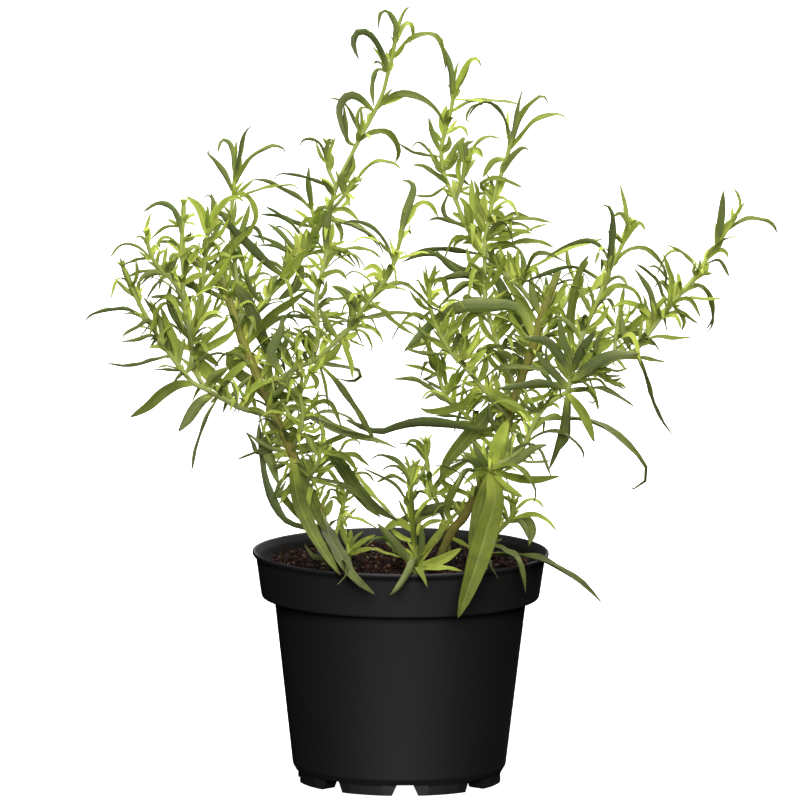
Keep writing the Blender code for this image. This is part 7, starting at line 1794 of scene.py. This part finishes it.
def blades(leaves, look, upper_across, lower_across, stations):
    """Closed thin blades, as the grid of leaf, station and ring place
    midrib(t) + half(t) a side + (fold half (|a|^FOLD_CURVE - FOLD_LEVEL) + wave + thickness) upper,
    where half(t) is full_lance(t) times half of the width and BLADE_EXTRA, and a runs from 1 to -1
    over the upper side and back over the lower one."""
    t = np.linspace(0, LAST_STATION, stations)
    place = t * MIDRIB_STEPS
    low = np.minimum(place.astype(int), MIDRIB_STEPS - 1)
    part = (place - low)[None, :, None]
    midrib = np.stack([leaf["midrib"] for leaf in leaves])
    frames = [blade_frame(leaf) for leaf in leaves]
    side = np.stack([pair[0] for pair in frames])
    upper = np.stack([pair[1] for pair in frames])
    middle, side, upper = (rows[:, low] * (1 - part) + rows[:, low + 1] * part
                           for rows in (midrib, side, upper))
    width = np.array([leaf["width"] for leaf in leaves])
    half = 0.5 * (width[:, None] + BLADE_EXTRA) * full_lance(t)[None]
    draw = np.random.default_rng(len(leaves))
    fold = draw.uniform(*FOLD_RANGE, (len(leaves), 1, 1)) * look.fold
    phase = draw.uniform(0, 2 * math.pi, (len(leaves), 1, 1))
    pace = draw.uniform(*WAVES, (len(leaves), 1, 1))
    a = np.concatenate([upper_across, lower_across])[None, None]
    below = np.concatenate([np.zeros(len(upper_across)), np.ones(len(lower_across))])[None, None]
    turns = 2 * math.pi * pace * t[None, :, None] + phase + SIDE_SHIFT * np.sign(a)
    wave = look.waviness * np.sin(turns)
    body = 0.5 * look.thickness / MM * np.minimum(1, half / FULL_HALF)[..., None] * (1 - THIN_MARGIN * a**2)
    groove = GROOVE_DEPTH * body * np.exp(-(a / GROOVE_REACH)**2)
    ridge = RIDGE_HEIGHT * body * np.exp(-(a / RIDGE_REACH)**2)
    rise = half[..., None] * (fold * (np.abs(a)**FOLD_CURVE - FOLD_LEVEL) + wave * a**2)
    rise = rise + np.where(below > 0, -body - ridge, body - groove)
    points = (middle[:, :, None] + side[:, :, None] * (half[..., None] * a)[..., None]
              + upper[:, :, None] * rise[..., None])
    count, rings = a.shape[-1], len(leaves)
    tips = midrib[:, -1:]
    points = np.concatenate([points.reshape(rings, -1, 3), tips], axis=1)
    size = points.shape[1]
    ends = np.arange(count)
    foot = ends[None, ::-1]
    last = size - 1 - count
    tip = np.column_stack([last + ends, last + (ends + 1) % count, np.full(count, size - 1)])
    faces = [repeated(group, rings, size) for group in (grid_faces(stations, count), foot, tip)]
    flat = np.broadcast_to(a, (rings, stations, count)).reshape(rings, -1)
    under = np.broadcast_to(below, (rings, stations, count)).reshape(rings, -1)
    along = np.broadcast_to(t[None, :, None], (rings, stations, count)).reshape(rings, -1)
    edge = np.ones((rings, 1))
    values = {"across": np.concatenate([flat, 0 * edge], axis=1).ravel(),
              "under": np.concatenate([under, 0.5 * edge], axis=1).ravel(),
              "along": np.concatenate([along, edge], axis=1).ravel(),
              "age": np.repeat([leaf["age"] for leaf in leaves], size),
              "broad": np.repeat(0.5 * width, size),
              "tone": np.repeat(draw.uniform(0, 1, rings), size)}
    return box_clip(points.reshape(-1, 3)), faces, values


def bud_leaves(path, count, longest, seed):
    """Tiny young leaves around a shoot's tip, which close towards its direction."""
    draw = np.random.default_rng(seed)
    tip = path[-1]
    ahead = path[-1] - path[-4]
    ahead /= np.linalg.norm(ahead)
    side = np.cross(ahead, (0.2, 1.0, 0.1))
    side /= np.linalg.norm(side)
    deep = np.cross(ahead, side)
    leaves = []
    for k in range(count):
        turn = k * KNOT_TURN + seed
        out = math.cos(turn) * side + math.sin(turn) * deep
        length = longest * (1 - 0.6 * k / count) * draw.uniform(0.7, 1.0)
        spread = 0.75 - 0.6 * k / count
        root = tip - ahead * (1.6 * (count - k) / count)
        midrib = smooth([root,
                         root + length * (0.45 * ahead + 0.30 * spread * out),
                         root + length * (0.95 * ahead * (1 - 0.3 * spread) + 0.8 * spread * out)],
                        MIDRIB_STEPS + 1)
        leaves.append(plain_leaf(midrib, length, BUD_WIDTH, -out, 0.0, draw.uniform(*BUD_AGE)))
    return leaves


def axil_leaves(leaf, seed):
    """One to three tiny leaves in the angle between a leaf and its shoot."""
    draw = np.random.default_rng(seed)
    root = leaf["midrib"][0]
    out = leaf["midrib"][8] - root
    out /= np.linalg.norm(out)
    leaves = []
    for k in range(int(draw.integers(1, 4))):
        length = draw.uniform(*AXIL_LONG)
        lean = UP * draw.uniform(0.5, 1.0) + draw.normal(0, 0.35, 3)
        tip = root + length * (0.7 * out + 0.6 * lean) / 1.1
        middle = 0.5 * (root + tip) + 0.08 * length * draw.normal(0, 1, 3)
        midrib = smooth([root, middle, tip], MIDRIB_STEPS + 1)
        facing = VIEW + draw.normal(0, 0.5, 3)
        leaves.append(plain_leaf(midrib, length, AXIL_WIDTH, facing, 0.0, draw.uniform(*AXIL_AGE)))
    return leaves


def more_leaves(plant, shoots):
    """The extra leaves of a plant. Each one starts at the nearest shoot, and takes the first lean
    that keeps it clear of the pot and the soil. Older ones lean away and young ones forward."""
    path = np.concatenate([shoot[0] for shoot in shoots])
    leaves = []
    for index, (seen, age, *places) in enumerate(MORE_LEAVES.get(plant, ())):
        root = nearest_on_sheet(path, places[0])
        start = (root[0], root[2] * math.cos(SHEET_TILT) + root[1] * math.sin(SHEET_TILT))
        if math.dist(start, places[0]) > 2.0:
            places = [start] + places
        base = 0.35 * math.sin(KNOT_TURN * index) + 0.9 * (age - 0.45)
        for step in LEAN_STEPS:
            leaf = traced_leaf((seen, *places), path, index, base + step)
            centres, radii = balls_on_leaf(leaf)
            if pot_trouble(centres[3:], radii[3:]) == 0:
                leaves.append({**leaf, "age": age})
                break
    return leaves


def fill_leaves(path, seed):
    """Short leaves all round a shoot where the plant is dense, as the sheet can't show them all."""
    draw = np.random.default_rng(seed)
    along = running_length(path)
    leaves = []
    for k, distance in enumerate(np.arange(5.0, along[-1] - 6.0, FILL_STEP)):
        root = path[np.searchsorted(along, distance)]
        angle = k * KNOT_TURN + seed
        length = draw.uniform(*FILL_LONG)
        droop = draw.uniform(*FILL_DROOP)
        age = draw.uniform(*FILL_AGE)
        out = np.array([math.cos(angle), math.sin(angle), 0.0])
        facing = UP + draw.normal(0, 0.5, 3)
        midrib = smooth([root, root + length * (0.33 * out + 0.30 * UP),
                         root + length * (0.66 * out + (0.42 + 0.2 * droop) * UP),
                         root + length * (0.92 * out + (0.36 + droop) * UP)], MIDRIB_STEPS + 1)
        if FILL_LOW < root[2] < FILL_HIGH:
            turn = draw.uniform(-0.4, 0.4)
            leaves.append(plain_leaf(midrib, length, FILL_WIDTH, facing, turn, age))
    return [leaf for leaf in leaves if clear_of_pot(leaf)]


def clear_of_pot(leaf):
    """Whether a leaf keeps out of the pot's wall and the soil, and inside the model's box."""
    centres, radii = balls_on_leaf(leaf)
    inside = np.all(centres > CAD_LOW + BOX_CLEAR) and np.all(centres < CAD_HIGH - BOX_CLEAR)
    return bool(inside) and pot_trouble(centres, radii) == 0


def area_light(name, power, size, location, target):
    """A square soft light that faces the target."""
    lamp = bpy.data.lights.new(name, "AREA")
    lamp.energy = power
    lamp.size = size
    thing = bpy.data.objects.new(name, lamp)
    bpy.context.scene.collection.objects.link(thing)
    thing.location = location
    thing.rotation_euler = (target - location).to_track_quat("-Z", "Y").to_euler()
    return thing


def light_world(scene, ambient):
    """A world that looks white, and lights the object only dimly."""
    world = bpy.data.worlds.new("studio")
    scene.world = world
    world.use_nodes = True
    tree = world.node_tree
    dim = tree.nodes["Background"]
    dim.inputs["Color"].default_value = WHITE
    dim.inputs["Strength"].default_value = ambient
    white = add(tree, "ShaderNodeBackground", [("Strength", 1.0)])
    white.inputs["Color"].default_value = WHITE
    world.cycles_visibility.glossy = False
    rays = add(tree, "ShaderNodeLightPath")
    mixed = add(tree, "ShaderNodeMixShader", [(0, rays.outputs["Is Camera Ray"]),
                                              (1, dim.outputs[0]), (2, white.outputs[0])])
    tree.links.new(mixed.outputs[0], tree.nodes["World Output"].inputs["Surface"])


def place(thing, node, slot):
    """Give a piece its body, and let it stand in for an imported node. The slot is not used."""
    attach(thing, "root")
    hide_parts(node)


def colour_property(name, what, value):
    """A colour setting."""
    return FloatVectorProperty(name=name, description=what, default=value, size=3, min=0, max=1,
                               subtype="COLOR")


class PotSettings(bpy.types.PropertyGroup):
    """The pot's look and fineness."""
    colour: colour_property("Plastic", "Colour of the black plastic", (0.0050, 0.0045, 0.0045))
    roughness: FloatProperty(name="Roughness", description="How matt the plastic is",
                             default=0.66, min=0, max=1, subtype="FACTOR")
    shine: FloatProperty(name="Shine", description="How strongly the plastic reflects",
                         default=0.78, min=0, max=1, subtype="FACTOR")
    sides: IntProperty(name="Sides", description="How many faces go round the pot", default=240, min=24)


class SoilSettings(bpy.types.PropertyGroup):
    """The soil's look and fineness."""
    colour: colour_property("Peat", "Main colour of the soil", (0.012, 0.0037, 0.0019))
    dark: colour_property("Dark peat", "Colour in the soil's hollows", (0.0042, 0.0014, 0.0009))
    bright: colour_property("Bright crumbs", "Colour of bark and orange crumbs", (0.046, 0.014, 0.006))
    # The pale colour is painted highlight on a few crumbs, and partly the colour of pale fibres.
    pale: colour_property("Pale specks", "Colour of pale specks", (0.15, 0.10, 0.06))
    lump: FloatProperty(name="Lumps", description="Height of the largest lumps",
                        default=0.9 * MM, min=0, unit="LENGTH")
    crumb: FloatProperty(name="Crumb size", description="Radius of the largest crumbs",
                         default=1.1 * MM, min=0, unit="LENGTH")
    crumbs: IntProperty(name="Crumbs", description="How many crumbs lie on the top", default=4500, min=1)
    fibres: IntProperty(name="Fibres", description="How many fibres lie on the top", default=160, min=1)
    rings: IntProperty(name="Rings", description="Rings in the soil's top", default=80, min=8)
    sides: IntProperty(name="Sides", description="Faces round the soil", default=240, min=24)


class LeafSettings(bpy.types.PropertyGroup):
    """The leaves' look and form."""
    young: colour_property("Young", "Colour of the youngest leaves", (0.74, 0.84, 0.15))
    fresh: colour_property("Fresh", "Colour of half-grown leaves", (0.44, 0.515, 0.082))
    mature: colour_property("Mature", "Colour of grown leaves", (0.190, 0.230, 0.029))
    old: colour_property("Old", "Colour of the oldest leaves", (0.083, 0.100, 0.028))
    sage: colour_property("Sage", "Colour of a grown leaf's underside", (0.26, 0.30, 0.090))
    underside: colour_property("Underside", "Colour of an old leaf's underside", (0.155, 0.180, 0.070))
    midrib: colour_property("Midrib", "Colour of the midrib", (0.38, 0.44, 0.12))
    tip: colour_property("Tip", "Colour of dried tips", (0.10, 0.08, 0.03))
    roughness: FloatProperty(name="Roughness", description="How matt the leaves are",
                             default=0.55, min=0, max=1, subtype="FACTOR")
    shine: FloatProperty(name="Shine", description="How strongly the leaves reflect",
                         default=0.14, min=0, max=1, subtype="FACTOR")
    translucence: FloatProperty(name="Translucence", description="How much light passes under the skin",
                                default=0.25, min=0, max=1, subtype="FACTOR")
    thickness: FloatProperty(name="Thickness", description="Thickness of a blade beside its midrib",
                             default=0.38 * MM, min=0, unit="LENGTH")
    fold: FloatProperty(name="Fold", description="How far margins rise, as a share of half the width",
                        default=1.0, min=0, subtype="FACTOR")
    waviness: FloatProperty(name="Waviness",
                            description="Wave of the margins, as a share of half the width",
                            default=0.16, min=0, subtype="FACTOR")
    stations: IntProperty(name="Stations", description="Cross-sections in a blade", default=14, min=4)


class StemSettings(bpy.types.PropertyGroup):
    """The shoots' look and form."""
    base: colour_property("Base", "Colour at the foot of an old stem", (0.155, 0.138, 0.042))
    woody: colour_property("Woody", "Colour of an old stem", (0.27, 0.250, 0.050))
    striped: colour_property("Middle", "Colour further up an old stem", (0.33, 0.335, 0.060))
    young: colour_property("Young", "Colour of a young shoot", (0.45, 0.50, 0.17))
    tender: colour_property("Tender", "Colour of a shoot's tip", (0.45, 0.55, 0.10))
    stripe: colour_property("Stripe", "Colour of the lengthwise stripes", (0.17, 0.19, 0.035))
    knot: colour_property("Knot", "Colour of the knots", (0.24, 0.105, 0.045))
    cut: colour_property("Cut end", "Colour of a pruned end", (0.62, 0.60, 0.38))
    roughness: FloatProperty(name="Roughness", description="How matt the shoots are",
                             default=0.55, min=0, max=1, subtype="FACTOR")
    fuller: FloatProperty(name="Fuller", description="Added to the radius of the thinnest shoots",
                          default=0.42 * MM, min=0, unit="LENGTH")
    swelling: FloatProperty(name="Swelling", description="How much a shoot swells at a leaf",
                            default=0.16, min=0, subtype="FACTOR")
    sides: IntProperty(name="Sides", description="Faces round a shoot", default=10, min=3)


class StageSettings(bpy.types.PropertyGroup):
    """Camera, floor and light."""
    distance: FloatProperty(name="Distance", description="From the camera to the middle of the frame",
                            default=8.0, min=1, unit="LENGTH")
    frame_width: FloatProperty(name="Frame width", description="Width of the sheet in the frame",
                               default=0.3494, min=0.01, unit="LENGTH")
    key: FloatProperty(name="Key", description="Power of the light near the camera",
                       default=90.0, min=0, unit="POWER")
    top: FloatProperty(name="Top", description="Power of the light overhead",
                       default=56.0, min=0, unit="POWER")
    back: FloatProperty(name="Back", description="Power of the light behind",
                        default=24.0, min=0, unit="POWER")
    ambient: FloatProperty(name="Ambient", description="Strength of the light from all round",
                           default=0.13, min=0)
    floor: colour_property("Floor", "Colour of the floor", (0.92, 0.92, 0.92))
    floor_glow: FloatProperty(name="Floor glow", description="Light that the floor gives off",
                              default=1.0, min=0)


class TARRAGON_OT_pot(bpy.types.Operator):
    """Make the nursery pot"""
    bl_idname = "tarragon.pot"
    bl_label = "Pot"

    def execute(self, context):
        look = context.scene.tarragon_pot
        finish = plastic_finish(look)
        points, faces = turned(pot_profile(), look.sides)
        pot = surface("nursery_pot", points, faces, {}, finish, POT_SHARP)
        cutters = []
        for k in range(NOTCH_COUNT):
            turn = NOTCH_TURN - math.pi / 2 + k * 2 * math.pi / NOTCH_COUNT
            radial = np.array([math.cos(turn), math.sin(turn), 0.0])
            cutters += notch(radial)
            angle = np.arange(DRAIN_SIDES) * 2 * math.pi / DRAIN_SIDES
            hole = DRAIN_RADIUS * np.column_stack([np.cos(angle), np.sin(angle)])
            cutters.append(prism(hole, UNDERSIDE_Z - 2, FLOOR_TOP_Z + 2, np.identity(3),
                                 DRAIN_CENTRE_RADIUS * radial))
        cut_out(pot, cutters, finish)
        place(pot, "pot", "black_plastic")
        return {"FINISHED"}


class TARRAGON_OT_soil(bpy.types.Operator):
    """Fill the pot with soil, crumbs and fibres"""
    bl_idname = "tarragon.soil"
    bl_label = "Soil"

    def execute(self, context):
        look = context.scene.tarragon_soil
        rim = COLLAR_TOP_RADIUS - WALL - SOIL_GAP
        points, faces, values = joined([soil_block(look), crumbs(look, rim), fibres(look, rim)])
        soil = surface("peat_soil", points, faces, values, soil_finish(look), SOIL_SHARP)
        place(soil, "soil", "peat")
        return {"FINISHED"}


class TARRAGON_OT_plants(bpy.types.Operator):
    """Grow every stem and leaf"""
    bl_idname = "tarragon.plants"
    bl_label = "Plants"

    def execute(self, context):
        leaf_look = context.scene.tarragon_leaf
        stem_look = context.scene.tarragon_stem
        leaf_skin = leaf_finish(leaf_look)
        stem_skin = stem_finish(stem_look)
        grown = grow(PLANTS)
        for plant, shoots in PLANTS:
            leaves = grown[plant]["leaves"] + more_leaves(plant, grown[plant]["shoots"])
            leaves += [leaf for k, (path, radii) in enumerate(grown[plant]["shoots"])
                       for leaf in fill_leaves(path, 3 * k + len(plant))]
            small = []
            solids = []
            for k, (shoot, (path, radii)) in enumerate(zip(shoots, grown[plant]["shoots"])):
                pruned = shoot[1] is None and plant in PRUNED_PLANTS
                ages = PRUNED_YOUTH if pruned else SHOOT_YOUTH
                solids.append(shoot_solid(path, radii, leaves, ages, stem_look))
                if pruned:
                    solids.append(cut_end(path, radii[-1], stem_look.sides))
                else:
                    small += bud_leaves(path, BUD_COUNT, BUD_LONG, len(plant) + 3 * k)
            for k, leaf in enumerate(leaves):
                if k % 2 == 0:
                    small += axil_leaves(leaf, 5 * k + len(plant))
            small = [leaf for leaf in small if clear_of_pot(leaf)]
            points, faces, values = joined(solids)
            stems = surface(plant + "_shoots", box_clip(points), faces, values, stem_skin, SHOOT_SHARP)
            place(stems, plant, "foliage")
            fine = blades(leaves, leaf_look, UPPER_PLACES, LOWER_PLACES, leaf_look.stations)
            tiny = blades(small, leaf_look, TINY_UPPER_PLACES, TINY_LOWER_PLACES, TINY_STATIONS)
            points, faces, values = joined([fine, tiny])
            foliage = surface(plant + "_leaves", points, faces, values, leaf_skin, LEAF_SHARP)
            place(foliage, plant, "foliage")
        return {"FINISHED"}


class TARRAGON_OT_stage(bpy.types.Operator):
    """Set the floor, the light and the camera"""
    bl_idname = "tarragon.stage"
    bl_label = "Stage"

    def execute(self, context):
        look = context.scene.tarragon_stage
        scene = context.scene
        floor_skin, tree, principled = shader("floor", 0.9)
        principled.inputs["Base Color"].default_value = (*look.floor, 1.0)
        principled.inputs["Emission Color"].default_value = WHITE
        principled.inputs["Emission Strength"].default_value = look.floor_glow
        corners = ((-1, -1), (1, -1), (1, 1), (-1, 1))
        points = np.array([(FLOOR_HALF * x, FLOOR_HALF * y, FLOOR_Z) for x, y in corners])
        floor = surface("floor", points, [np.arange(4)[None]], {}, floor_skin, POT_SHARP)
        floor.visible_glossy = False
        floor.visible_diffuse = False
        middle = Vector((FRAME_MIDDLE[0], 0.0, FRAME_MIDDLE[1] / math.cos(SHEET_TILT))) * MM
        lights = [area_light(name, getattr(look, name), size, Vector(place), middle)
                  for name, (size, place) in LIGHTS.items()]
        camera = bpy.data.objects.new("camera", bpy.data.cameras.new("camera"))
        scene.collection.objects.link(camera)
        camera.data.sensor_width = SENSOR
        camera.data.lens = SENSOR * look.distance / look.frame_width
        camera.data.clip_end = 100.0
        view = Vector(VIEW)
        camera.location = middle - view * look.distance
        facing = view.to_track_quat("-Z", "Y")
        camera.rotation_mode = "QUATERNION"
        camera.rotation_quaternion = Quaternion(view, -CAMERA_ROLL) @ facing
        scene.camera = camera
        light_world(scene, look.ambient)
        scene.view_settings.view_transform = "Standard"
        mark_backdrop(floor, *lights, camera)
        return {"FINISHED"}


class TARRAGON_PT_panel(bpy.types.Panel):
    """Settings and one button for each piece"""
    bl_label = "Potted tarragon"
    bl_idname = "TARRAGON_PT_panel"
    bl_space_type = "VIEW_3D"
    bl_region_type = "UI"
    bl_category = "Tarragon"

    def draw(self, context):
        for operator, settings, group in STEPS:
            box = self.layout.box()
            box.operator(operator.bl_idname)
            for each in settings:
                held = getattr(context.scene, each)
                for key in held.bl_rna.properties.keys():
                    if key not in ("rna_type", "name"):
                        box.prop(held, key)


STEPS = (
    (TARRAGON_OT_pot, ("tarragon_pot",), (PotSettings,)),
    (TARRAGON_OT_soil, ("tarragon_soil",), (SoilSettings,)),
    (TARRAGON_OT_plants, ("tarragon_leaf", "tarragon_stem"), (LeafSettings, StemSettings)),
    (TARRAGON_OT_stage, ("tarragon_stage",), (StageSettings,)),
)


def register():
    """Add the classes and the scene's settings."""
    for operator, names, groups in STEPS:
        for name, group in zip(names, groups):
            bpy.utils.register_class(group)
            setattr(bpy.types.Scene, name, PointerProperty(type=group))
        bpy.utils.register_class(operator)
    bpy.utils.register_class(TARRAGON_PT_panel)


def unregister():
    """Remove the classes and the scene's settings."""
    bpy.utils.unregister_class(TARRAGON_PT_panel)
    for operator, names, groups in reversed(STEPS):
        bpy.utils.unregister_class(operator)
        for name, group in zip(names, groups):
            delattr(bpy.types.Scene, name)
            bpy.utils.unregister_class(group)


def main():
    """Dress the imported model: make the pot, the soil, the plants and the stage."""
    register()
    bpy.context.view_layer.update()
    bpy.ops.tarragon.pot()
    bpy.ops.tarragon.soil()
    bpy.ops.tarragon.plants()
    bpy.ops.tarragon.stage()


if __name__ == "__main__":
    main()
